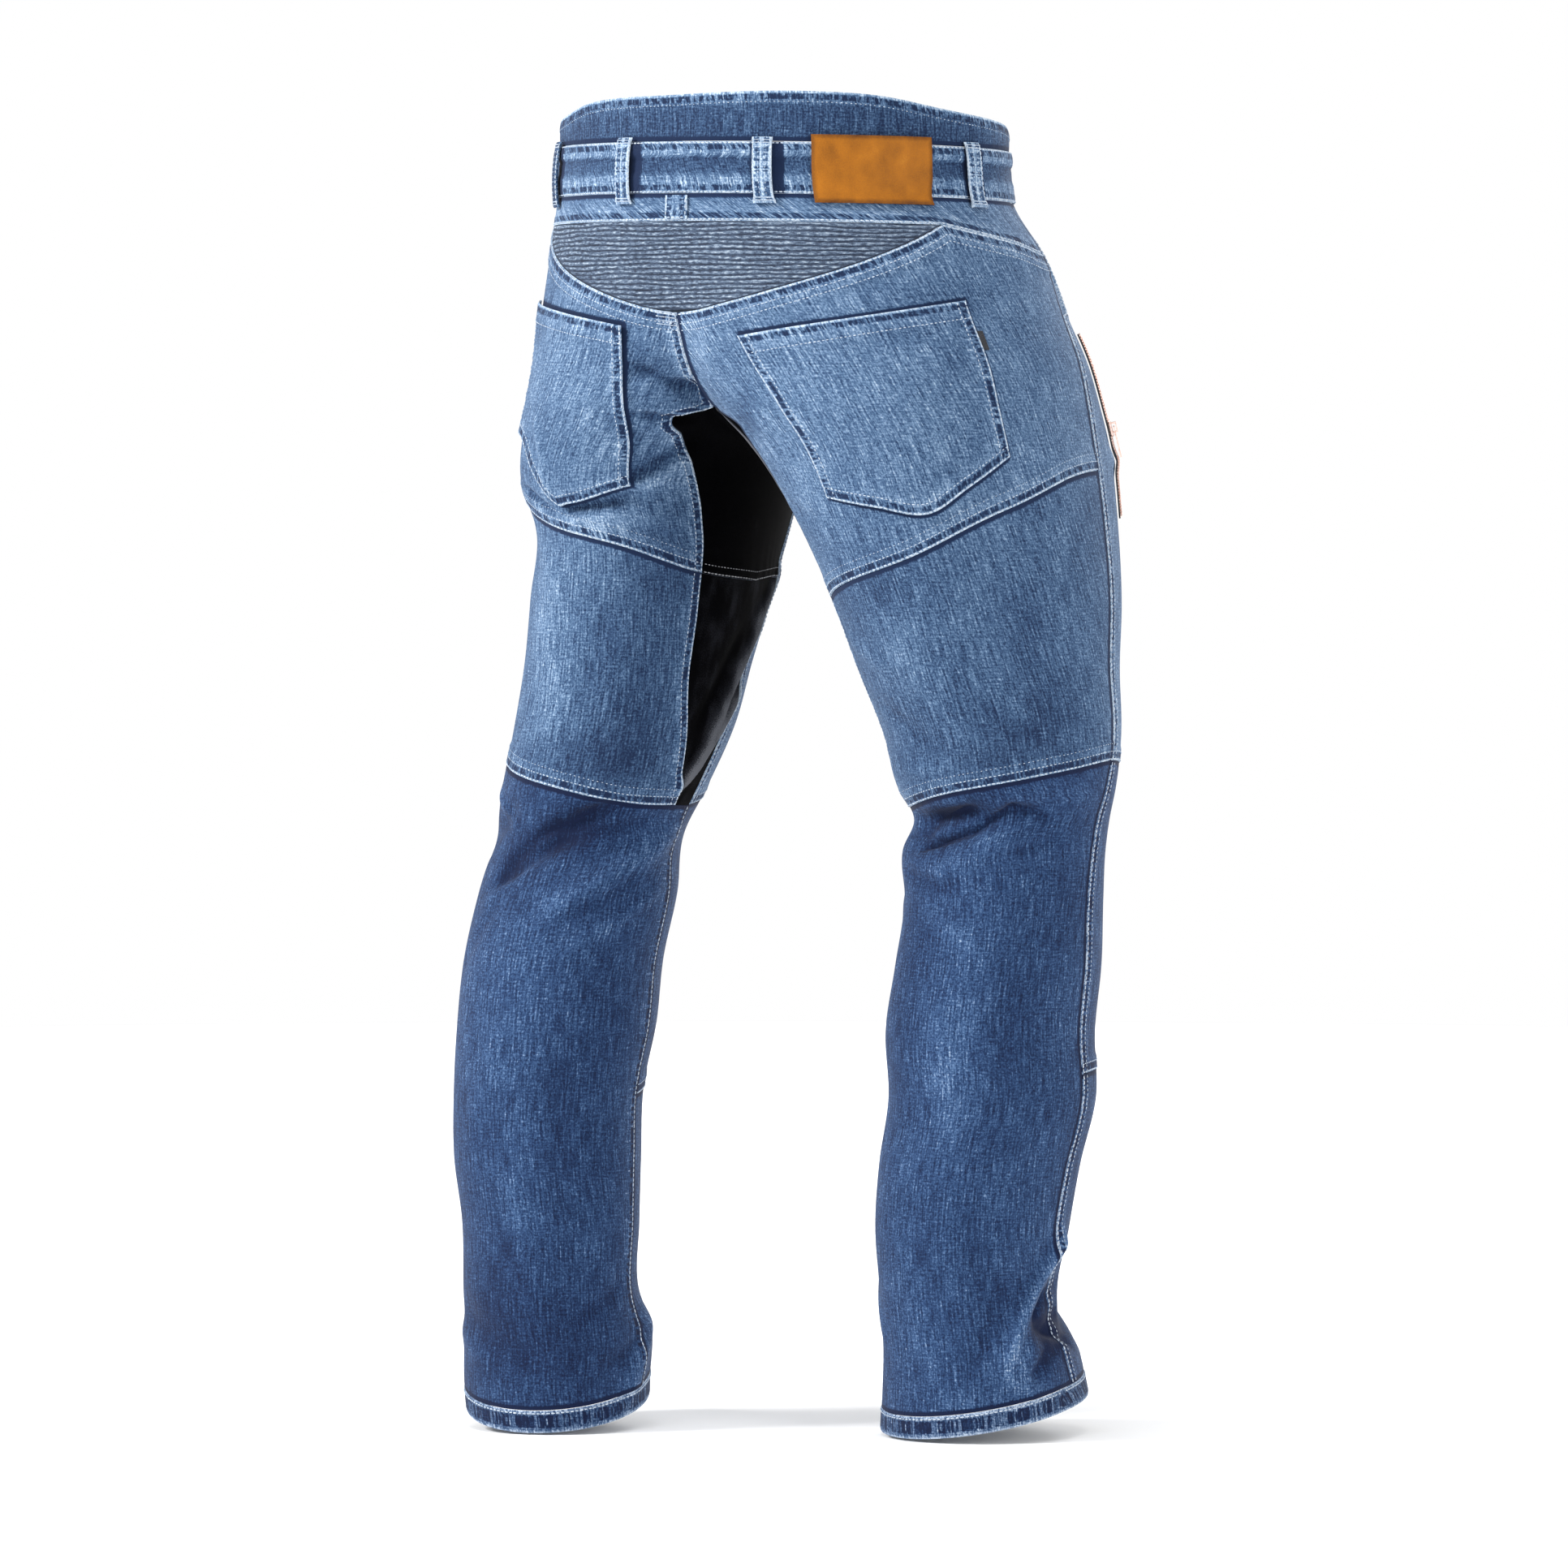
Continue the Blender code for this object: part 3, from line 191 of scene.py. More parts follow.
SECTIONS: dict[Side, tuple[Section, ...]] = {
    LEFT: (
        Section(0.070, 0.180, 0.00, 0.002, -0.140, 0.146, 0),
        Section(0.020, 0.182, 0.00, 0.002, -0.140, 0.147, 0),
        Section(-0.022, 0.184, 0.00, 0.002, -0.142, 0.148, 0),
        Section(-0.055, 0.188, 0.06, 0.002, -0.148, 0.149, 0),
        Section(-0.108, 0.194, 0.28, 0.002, -0.152, 0.148, 0),
        Section(-0.146, 0.196, 0.50, 0.002, -0.150, 0.146, 0),
        Section(-0.177, 0.199, 0.76, 0.002, -0.146, 0.146, 0),
        Section(-0.205, 0.204, 1.00, 0.004, -0.138, 0.142, 0),
        Section(-0.240, 0.205, 1.16, 0.006, -0.128, 0.137, 3),
        Section(-0.268, 0.196, 1.24, 0.007, -0.121, 0.130, 5),
        Section(-0.325, 0.204, 1.37, 0.010, -0.108, 0.123, 8),
        Section(-0.375, 0.207, 1.50, 0.018, -0.092, 0.123, 10),
        Section(-0.425, 0.212, 1.62, 0.028, -0.076, 0.125, 10),
        Section(-0.475, 0.217, 1.88, 0.042, -0.052, 0.126, 10),
        Section(-0.505, 0.219, 2.10, 0.050, -0.038, 0.122, 10),
        Section(-0.550, 0.225, 2.00, 0.062, -0.022, 0.142, 10),
        Section(-0.600, 0.229, 2.05, 0.075, -0.008, 0.158, 10),
        Section(-0.650, 0.228, 2.03, 0.086, 0.005, 0.168, 10),
        Section(-0.700, 0.226, 2.15, 0.095, 0.018, 0.172, 10),
        Section(-0.750, 0.221, 2.12, 0.102, 0.027, 0.178, 10),
        Section(-0.800, 0.211, 2.14, 0.107, 0.036, 0.178, 10),
        Section(-0.850, 0.208, 2.16, 0.110, 0.036, 0.180, 10),
        Section(-0.885, 0.209, 2.04, 0.106, 0.012, 0.181, 10),
        Section(-0.920, 0.209, 2.02, 0.106, 0.022, 0.181, 10),
        Section(-0.960, 0.205, 2.02, 0.106, 0.034, 0.180, 10),
    ),
    RIGHT: (
        Section(0.070, 0.180, 0.00, 0.002, -0.140, 0.146, 0),
        Section(0.020, 0.184, 0.00, 0.002, -0.140, 0.147, 0),
        Section(-0.022, 0.189, 0.00, 0.002, -0.142, 0.148, 0),
        Section(-0.055, 0.211, 0.06, 0.002, -0.152, 0.152, 0),
        Section(-0.108, 0.229, 0.28, 0.002, -0.162, 0.153, 0),
        Section(-0.146, 0.243, 0.50, 0.002, -0.168, 0.150, 0),
        Section(-0.177, 0.248, 0.76, 0.002, -0.172, 0.147, 0),
        Section(-0.205, 0.252, 1.00, 0.003, -0.174, 0.140, 0),
        Section(-0.260, 0.258, 1.34, -0.008, -0.163, 0.128, 0),
        Section(-0.325, 0.264, 1.62, -0.020, -0.146, 0.105, 0),
        Section(-0.375, 0.262, 1.80, -0.028, -0.138, 0.082, 0),
        Section(-0.425, 0.262, 2.00, -0.037, -0.132, 0.058, 0),
        Section(-0.465, 0.255, 2.14, -0.044, -0.130, 0.043, 0),
        Section(-0.490, 0.248, 2.42, -0.047, -0.127, 0.029, 0),
        Section(-0.512, 0.246, 2.22, -0.047, -0.125, 0.032, 0),
        Section(-0.550, 0.244, 2.33, -0.045, -0.125, 0.036, 0),
        Section(-0.600, 0.245, 2.22, -0.040, -0.123, 0.044, 0),
        Section(-0.650, 0.243, 2.13, -0.034, -0.118, 0.050, 0),
        Section(-0.700, 0.248, 2.23, -0.028, -0.111, 0.056, 0),
        Section(-0.750, 0.239, 2.20, -0.022, -0.101, 0.060, 0),
        Section(-0.800, 0.232, 2.22, -0.017, -0.094, 0.060, 0),
        Section(-0.850, 0.226, 2.39, -0.014, -0.084, 0.056, 0),
        Section(-0.890, 0.234, 2.34, -0.018, -0.104, 0.056, 0),
        Section(-0.920, 0.238, 2.25, -0.022, -0.118, 0.056, 0),
        Section(-0.960, 0.240, 2.15, -0.025, -0.124, 0.056, 0),
    ),
}

# The large folds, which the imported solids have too.
FOLDS = (
    Fold(LEFT, 122, -0.484, 60, -0.540, 0.009, -0.0070),
    Fold(LEFT, 182, -0.500, 105, -0.558, 0.012, 0.0055),
    Fold(LEFT, 60, -0.486, 20, -0.515, 0.010, -0.0040),
    Fold(LEFT, 78, -0.252, 120, -0.243, 0.008, -0.0050),
    Fold(LEFT, 100, -0.145, 136, -0.172, 0.008, -0.0045),
    Fold(LEFT, 118, -0.222, 142, -0.196, 0.008, -0.0040),
    Fold(LEFT, 200, -0.868, 170, -0.925, 0.012, 0.0050),
    Fold(LEFT, 40, -0.865, 110, -0.905, 0.014, -0.0030),
    Fold(RIGHT, 125, -0.492, 72, -0.480, 0.008, -0.0065),
    Fold(RIGHT, 132, -0.512, 34, -0.478, 0.009, -0.0055),
    Fold(RIGHT, 100, -0.530, 50, -0.505, 0.010, 0.0035),
    Fold(RIGHT, -14, -0.800, 18, -0.858, 0.009, 0.0050),
    Fold(RIGHT, 18, -0.858, 40, -0.900, 0.009, 0.0035),
    Fold(RIGHT, -20, -0.862, 14, -0.878, 0.009, -0.0060),
    Fold(RIGHT, -60, -0.840, -20, -0.880, 0.012, -0.0050),
    Fold(RIGHT, -110, -0.870, -50, -0.900, 0.013, 0.0045),
    Fold(LEFT, -110, -0.865, -40, -0.895, 0.013, 0.0045),
    Fold(LEFT, -60, -0.205, -110, -0.170, 0.012, -0.0045),
    Fold(RIGHT, -60, -0.205, -110, -0.170, 0.012, -0.0045),
    Fold(LEFT, -70, -0.240, -130, -0.205, 0.012, -0.0040),
    Fold(RIGHT, -70, -0.240, -130, -0.205, 0.012, -0.0040),
)

# The smaller creases. Behind the knees, at the crotch, along the thighs, at the ankles, and on hidden sides.
CREASES = (
    Fold(RIGHT, 113, -0.4895, 79, -0.4815, 0.0030, -0.0046),
    Fold(RIGHT, 112, -0.4990, 76, -0.4885, 0.0034, 0.0024),
    Fold(RIGHT, 114, -0.5085, 80, -0.4970, 0.0028, -0.0050),
    Fold(RIGHT, 80, -0.4980, 54, -0.4780, 0.0028, -0.0046),
    Fold(RIGHT, 56, -0.4770, 34, -0.4850, 0.0030, -0.0040),
    Fold(RIGHT, 78, -0.5080, 46, -0.4880, 0.0036, 0.0020),
    Fold(LEFT, 118, -0.2330, 143, -0.2050, 0.0034, -0.0050),
    Fold(LEFT, 122, -0.2400, 142, -0.2180, 0.0040, 0.0024),
    Fold(LEFT, 84, -0.2560, 113, -0.2490, 0.0030, -0.0044),
    Fold(LEFT, 82, -0.2640, 112, -0.2570, 0.0034, 0.0020),
    Fold(LEFT, 99, -0.1460, 134, -0.1690, 0.0026, -0.0034),
    Fold(LEFT, 112, -0.1830, 137, -0.1880, 0.0030, -0.0046),
    Fold(LEFT, 66, -0.1850, 78, -0.2150, 0.0030, 0.0020),
    Fold(LEFT, 78, -0.2150, 79, -0.2440, 0.0030, 0.0020),
    Fold(LEFT, 56, -0.2400, 74, -0.2580, 0.0036, -0.0040),
    Fold(LEFT, 196, -0.3340, 172, -0.4180, 0.0050, 0.0046),
    Fold(LEFT, 190, -0.3900, 166, -0.4640, 0.0050, 0.0046),
    Fold(LEFT, 206, -0.3020, 188, -0.3420, 0.0046, 0.0040),
    Fold(LEFT, 176, -0.4100, 164, -0.4700, 0.0040, 0.0036),
    Fold(RIGHT, -14, -0.8030, 9, -0.8350, 0.0042, 0.0030),
    Fold(RIGHT, 9, -0.8350, 20, -0.8580, 0.0042, 0.0034),
    Fold(RIGHT, 20, -0.8580, 38, -0.8970, 0.0044, 0.0028),
    Fold(RIGHT, 0, -0.8440, 13, -0.8640, 0.0030, -0.0044),
    Fold(RIGHT, 10, -0.8680, -26, -0.8860, 0.0044, -0.0046),
    Fold(RIGHT, 4, -0.8860, 22, -0.9060, 0.0034, -0.0030),
    Fold(LEFT, 178, -0.3500, 160, -0.4200, 0.0050, -0.0024),
    Fold(LEFT, 118, -0.4850, 90, -0.4990, 0.0042, -0.0036),
    Fold(LEFT, 90, -0.4990, 68, -0.5200, 0.0042, -0.0034),
    Fold(LEFT, 68, -0.5200, 58, -0.5400, 0.0046, -0.0026),
    Fold(LEFT, 150, -0.492, 100, -0.510, 0.0045, -0.0022),
    Fold(LEFT, 112, -0.500, 74, -0.512, 0.0040, 0.0018),
    Fold(LEFT, 88, -0.522, 52, -0.556, 0.0050, 0.0020),
    Fold(LEFT, 170, -0.545, 118, -0.590, 0.0060, 0.0018),
    Fold(LEFT, 150, -0.535, 112, -0.566, 0.0050, -0.0022),
    Fold(LEFT, 64, -0.560, 34, -0.612, 0.0060, -0.0014),
    Fold(LEFT, 140, -0.478, 96, -0.488, 0.0040, -0.0016),
    Fold(LEFT, 30, -0.472, 62, -0.498, 0.0050, 0.0018),
    Fold(LEFT, 84, -0.640, 62, -0.740, 0.0120, 0.0012),
    Fold(LEFT, 120, -0.660, 128, -0.800, 0.0130, -0.0012),
    Fold(LEFT, 92, -0.760, 108, -0.870, 0.0120, 0.0010),
    Fold(LEFT, 60, -0.330, 84, -0.430, 0.0140, 0.0012),
    Fold(LEFT, 104, -0.330, 92, -0.400, 0.0120, -0.0012),
    Fold(LEFT, 48, -0.262, 74, -0.330, 0.0110, 0.0014),
    Fold(LEFT, 130, -0.260, 96, -0.268, 0.0060, 0.0020),
    Fold(LEFT, 138, -0.232, 112, -0.236, 0.0050, 0.0016),
    Fold(LEFT, 126, -0.150, 104, -0.160, 0.0050, 0.0016),
    Fold(LEFT, 98, -0.178, 124, -0.206, 0.0060, -0.0022),
    Fold(LEFT, 92, -0.120, 108, -0.150, 0.0060, -0.0012),
    Fold(LEFT, 190, -0.885, 150, -0.905, 0.0060, -0.0022),
    Fold(LEFT, 170, -0.846, 130, -0.872, 0.0070, -0.0018),
    Fold(LEFT, 20, -0.880, 70, -0.900, 0.0080, 0.0014),
    Fold(LEFT, -20, -0.840, 24, -0.868, 0.0080, -0.0022),
    Fold(LEFT, -60, -0.850, -100, -0.880, 0.0070, -0.0024),
    Fold(LEFT, -140, -0.840, -100, -0.866, 0.0080, 0.0022),
    Fold(LEFT, -120, -0.520, -60, -0.505, 0.0070, -0.0018),
    Fold(LEFT, -130, -0.560, -80, -0.548, 0.0080, 0.0016),
    Fold(LEFT, -100, -0.300, -60, -0.420, 0.0130, 0.0014),
    Fold(LEFT, -120, -0.230, -88, -0.262, 0.0060, 0.0022),
    Fold(LEFT, -100, -0.150, -140, -0.172, 0.0060, 0.0022),
    Fold(LEFT, -80, -0.165, -120, -0.140, 0.0060, -0.0018),
    Fold(LEFT, -40, -0.120, -70, -0.160, 0.0080, 0.0014),
    Fold(LEFT, -14, -0.260, -30, -0.330, 0.0100, -0.0014),
    Fold(LEFT, -80, -0.620, -60, -0.760, 0.0130, -0.0014),
    Fold(LEFT, -100, -0.690, -120, -0.800, 0.0120, 0.0013),
    Fold(RIGHT, 118, -0.484, 84, -0.474, 0.0040, 0.0020),
    Fold(RIGHT, 74, -0.494, 30, -0.480, 0.0045, 0.0022),
    Fold(RIGHT, 96, -0.500, 66, -0.498, 0.0035, 0.0016),
    Fold(RIGHT, 128, -0.528, 84, -0.540, 0.0060, -0.0022),
    Fold(RIGHT, 66, -0.516, 28, -0.502, 0.0050, -0.0020),
    Fold(RIGHT, 140, -0.500, 110, -0.498, 0.0040, -0.0024),
    Fold(RIGHT, 100, -0.560, 62, -0.590, 0.0080, 0.0014),
    Fold(RIGHT, 84, -0.620, 76, -0.740, 0.0130, 0.0013),
    Fold(RIGHT, 44, -0.600, 52, -0.720, 0.0120, -0.0013),
    Fold(RIGHT, 60, -0.780, 44, -0.850, 0.0110, -0.0014),
    Fold(RIGHT, 104, -0.800, 84, -0.900, 0.0120, 0.0012),
    Fold(RIGHT, 30, -0.840, 60, -0.900, 0.0090, -0.0020),
    Fold(RIGHT, 0, -0.868, 26, -0.892, 0.0050, 0.0022),
    Fold(RIGHT, -6, -0.884, 20, -0.908, 0.0050, -0.0026),
    Fold(RIGHT, -24, -0.838, 4, -0.852, 0.0060, -0.0022),
    Fold(RIGHT, 44, -0.905, 18, -0.922, 0.0060, 0.0014),
    Fold(RIGHT, 130, -0.350, 104, -0.372, 0.0080, 0.0014),
    Fold(RIGHT, 96, -0.340, 70, -0.440, 0.0150, 0.0014),
    Fold(RIGHT, 40, -0.310, 30, -0.430, 0.0130, -0.0014),
    Fold(RIGHT, 120, -0.400, 92, -0.430, 0.0080, -0.0014),
    Fold(RIGHT, 116, -0.452, 84, -0.448, 0.0050, 0.0014),
    Fold(RIGHT, 128, -0.200, 104, -0.166, 0.0070, -0.0014),
    Fold(RIGHT, 132, -0.250, 110, -0.262, 0.0070, -0.0012),
    Fold(RIGHT, 112, -0.140, 98, -0.120, 0.0060, 0.0012),
    Fold(RIGHT, -30, -0.210, -60, -0.232, 0.0060, 0.0022),
    Fold(RIGHT, -100, -0.150, -140, -0.172, 0.0060, 0.0022),
    Fold(RIGHT, -80, -0.165, -120, -0.140, 0.0060, -0.0018),
    Fold(RIGHT, -100, -0.300, -66, -0.410, 0.0130, 0.0014),
    Fold(RIGHT, -120, -0.520, -60, -0.505, 0.0070, -0.0018),
    Fold(RIGHT, -130, -0.556, -84, -0.546, 0.0080, 0.0016),
    Fold(RIGHT, -80, -0.620, -64, -0.760, 0.0130, -0.0014),
    Fold(RIGHT, -120, -0.700, -132, -0.800, 0.0120, 0.0013),
    Fold(RIGHT, -150, -0.850, -110, -0.868, 0.0070, -0.0024),
    Fold(RIGHT, 160, -0.840, 130, -0.880, 0.0090, 0.0018),
    Fold(RIGHT, 176, -0.520, 150, -0.560, 0.0070, 0.0018),
)

# Washed-out and dark areas; the marked rows are painted shade and a painted highlight. The first rows are the
# backs of the thighs, the seat and the pockets.
FADES_AND_SHADES = (
    FadeAndShade(LEFT, 70, -0.330, 26, 0.060, 0.14),
    FadeAndShade(LEFT, 122, -0.420, 22, 0.070, -0.26),
    FadeAndShade(LEFT, 96, -0.446, 50, 0.022, -0.16),
    FadeAndShade(LEFT, 130, -0.300, 14, 0.060, -0.16),
    FadeAndShade(LEFT, 78, -0.170, 22, 0.050, 0.06),
    FadeAndShade(LEFT, 110, -0.130, 14, 0.030, 0.12),
    # Painted shade in the dark arc of folds behind the left knee.
    FadeAndShade(LEFT, 98, -0.503, 22, 0.013, -0.34),
    FadeAndShade(LEFT, 66, -0.524, 9, 0.018, -0.26),
    FadeAndShade(LEFT, 96, -0.660, 22, 0.110, 0.08),
    FadeAndShade(LEFT, 96, -0.860, 60, 0.070, -0.12),
    FadeAndShade(LEFT, 178, -0.720, 20, 0.160, 0.06),
    FadeAndShade(RIGHT, 96, -0.340, 16, 0.050, 0.10),
    FadeAndShade(RIGHT, 60, -0.430, 40, 0.030, -0.14),
    FadeAndShade(RIGHT, 20, -0.380, 18, 0.090, -0.08),
    FadeAndShade(RIGHT, 68, -0.180, 26, 0.060, 0.06),
    FadeAndShade(RIGHT, 112, -0.140, 14, 0.040, 0.12),
    FadeAndShade(RIGHT, 76, -0.640, 14, 0.120, 0.08),
    FadeAndShade(RIGHT, 112, -0.600, 14, 0.100, -0.10),
    # Painted shadow under the fold that hangs over the right knee seam.
    FadeAndShade(RIGHT, 96, -0.482, 16, 0.005, -0.50),
    # Painted shade on the shaded side of the fold at the right ankle.
    FadeAndShade(RIGHT, 8, -0.880, 14, 0.024, -0.22),
    FadeAndShade(RIGHT, 92, -0.350, 44, 0.090, -0.13),
    # Painted highlight: a grey glow on the edge of the right gusset.
    FadeAndShade(RIGHT, 139, -0.215, 6, 0.040, 0.75),
    # Painted shade on the shaded side of the fold at the right ankle, darker.
    FadeAndShade(RIGHT, -10, -0.872, 20, 0.015, -0.75),
    FadeAndShade(RIGHT, 28, -0.905, 16, 0.018, 0.10),
    FadeAndShade(LEFT, -90, -0.300, 24, 0.120, 0.24),
    FadeAndShade(RIGHT, -90, -0.300, 24, 0.120, 0.24),
    FadeAndShade(LEFT, -90, -0.600, 26, 0.080, 0.16),
    FadeAndShade(RIGHT, -90, -0.600, 26, 0.080, 0.16),
)

CROSS_SEAM = {
    LEFT: (Seam(-180, -0.311), Seam(-125, -0.300), Seam(-60, -0.245), Seam(-20, -0.225), Seam(30, -0.243),
           Seam(60, -0.263), Seam(110, -0.283), Seam(146, -0.303), Seam(180, -0.311)),
    RIGHT: (Seam(-180, -0.326), Seam(-125, -0.312), Seam(-60, -0.250), Seam(-20, -0.225), Seam(31, -0.253),
            Seam(72, -0.288), Seam(110, -0.308), Seam(140, -0.320), Seam(180, -0.326)),
}
KNEE_SEAM = (Seam(-180, -0.4825), Seam(-150, -0.4785), Seam(-90, -0.462), Seam(-45, -0.449),
             Seam(-12, -0.4435), Seam(25, -0.450), Seam(55, -0.458), Seam(85, -0.466), Seam(130, -0.4785),
             Seam(180, -0.4825))
SIDE_SEAM = (Edge(-0.015, -14), Edge(-0.085, -19), Edge(-0.150, -18), Edge(-0.220, -19), Edge(-0.275, -18),
             Edge(-0.335, -15), Edge(-0.440, -12), Edge(-0.510, -3), Edge(-0.600, -2), Edge(-0.700, -4),
             Edge(-0.800, -3), Edge(-0.870, -8), Edge(-0.960, -12))
INSEAM_ANGLE = 183
FORK_ANGLE = 139
FORK_Z = -0.1775
GUSSET_TIP_ANGLE = 129
GUSSET_TIP_Z = -0.186
GUSSET_BACK = {
    LEFT: (Edge(FORK_Z, FORK_ANGLE), Edge(GUSSET_TIP_Z, GUSSET_TIP_ANGLE), Edge(-0.200, 136),
           Edge(-0.215, 142), Edge(-0.270, 147), Edge(-0.330, 147), Edge(-0.393, 149), Edge(-0.440, 158),
           Edge(-0.490, 170)),
    RIGHT: (Edge(FORK_Z, FORK_ANGLE), Edge(GUSSET_TIP_Z, GUSSET_TIP_ANGLE), Edge(-0.200, 132),
            Edge(-0.215, 134), Edge(-0.270, 139), Edge(-0.330, 143), Edge(-0.393, 147), Edge(-0.440, 156),
            Edge(-0.490, 168)),
}
GUSSET_FRONT = (Edge(FORK_Z, 360 - FORK_ANGLE), Edge(GUSSET_TIP_Z, 360 - GUSSET_TIP_ANGLE),
                Edge(-0.200, 226), Edge(-0.225, 220), Edge(-0.260, 213), Edge(-0.300, 203), Edge(-0.350, 192),
                Edge(-0.400, 186), Edge(-0.490, 183))
POCKET_MOUTH = (Edge(-0.015, -38), Edge(-0.055, -33), Edge(-0.085, -30), Edge(-0.110, -26))
MOUTH_END_Z = -0.1065
MOUTH_OPENING = 0.5
FACING_SUNK = 0.0012
FACING_END_Z = -0.1120
HEM_DIP = {LEFT: (100, -0.938, 0.017), RIGHT: (110, -0.940, 0.0145)}

BACK_POCKET = {
    LEFT: PocketShape(
        top=(Seam(26, -0.097), Seam(53, -0.104), Seam(90, -0.116)),
        bottom=(Seam(38, -0.196), Seam(64, -0.212), Seam(75, -0.2385), Seam(80, -0.2510), Seam(86, -0.2505),
                Seam(119, -0.2360)),
        outer=(Edge(-0.095, 27), Edge(-0.150, 31), Edge(-0.205, 38)),
        inner=(Edge(-0.112, 89), Edge(-0.145, 97), Edge(-0.175, 107), Edge(-0.205, 117), Edge(-0.240, 119)),
    ),
    RIGHT: PocketShape(
        top=(Seam(26, -0.098), Seam(58, -0.111), Seam(90, -0.123)),
        bottom=(Seam(25, -0.213), Seam(42, -0.235), Seam(59, -0.255), Seam(78, -0.250), Seam(97, -0.243)),
        outer=(Edge(-0.095, 26), Edge(-0.215, 25)),
        inner=(Edge(-0.120, 90), Edge(-0.180, 94), Edge(-0.245, 97)),
    ),
}

RIB_TIP_PLACE = 66
RIB_TOP = -0.042
RIB_END = -0.1048
RIB_EDGE = (Station(0, -0.1070), Station(7, -0.1045), Station(14, -0.0995), Station(27, -0.0880),
            Station(42, -0.0725), Station(55, -0.0565), Station(RIB_TIP_PLACE, RIB_TOP))
YOKE_EDGE = (Station(RIB_TIP_PLACE, RIB_TOP), Station(76, -0.0475), Station(90, -0.0535),
             Station(104, -0.0600), Station(110, -0.0600))
BAND_TOP = (Station(-152, 0.0255), Station(-111, 0.037), Station(-72, 0.046), Station(-52, 0.054),
            Station(-33, 0.056), Station(0, 0.053), Station(33, 0.048), Station(45, 0.042),
            Station(90, 0.036), Station(152, 0.0255))
ZIP_LINE = (Edge(-0.122, -31.0), Edge(-0.135, -33.5), Edge(-0.160, -37.0), Edge(-0.188, -40.0),
            Edge(-0.215, -42.0), Edge(-0.245, -42.0), Edge(-0.262, -41.0))


class Curve:
    """Smooth curve through two named columns of a table."""

    def __init__(self, table: Sequence[NamedTuple], key: str, value: str) -> None:
        """Reads the columns and works out the slopes."""
        rows = sorted((getattr(row, key), getattr(row, value)) for row in table)
        self.xs = np.array([row[0] for row in rows], float)
        self.ys = np.array([row[1] for row in rows], float)
        self.slopes = np.gradient(self.ys, self.xs)

    def __call__(self, at: Array | float) -> Array:
        """Value at a key."""
        at = np.clip(np.asarray(at, float), self.xs[0], self.xs[-1])
        low = np.clip(np.searchsorted(self.xs, at) - 1, 0, len(self.xs) - 2)
        span = self.xs[low + 1] - self.xs[low]
        t = (at - self.xs[low]) / span
        rise = self.ys[low + 1] - self.ys[low]
        start, end = self.slopes[low] * span, self.slopes[low + 1] * span
        return self.ys[low] + t * (start + t * (3 * rise - 2 * start - end + t * (start + end - 2 * rise)))


def ease(t: Array) -> Array:
    """Smooth step from 0 to 1."""
    t = np.clip(t, 0, 1)
    return t * t * (3 - 2 * t)


def unit(vectors: Array) -> Array:
    """Vectors at length 1."""
    return vectors / np.maximum(np.linalg.norm(vectors, axis=-1, keepdims=True), 1e-12)


def seam_line(table: Sequence[Seam]) -> Line:
    """Height of a seam round the leg, alike after every full turn."""
    curve = Curve(table, "angle", "z")
    return lambda angle: curve((np.asarray(angle, float) + 180) % 360 - 180)


def edge_line(table: Sequence[Edge], moved: float = 0.0) -> Line:
    """Angle of a seam down the leg."""
    curve = Curve(table, "z", "angle")
    return lambda z: curve(z) + moved


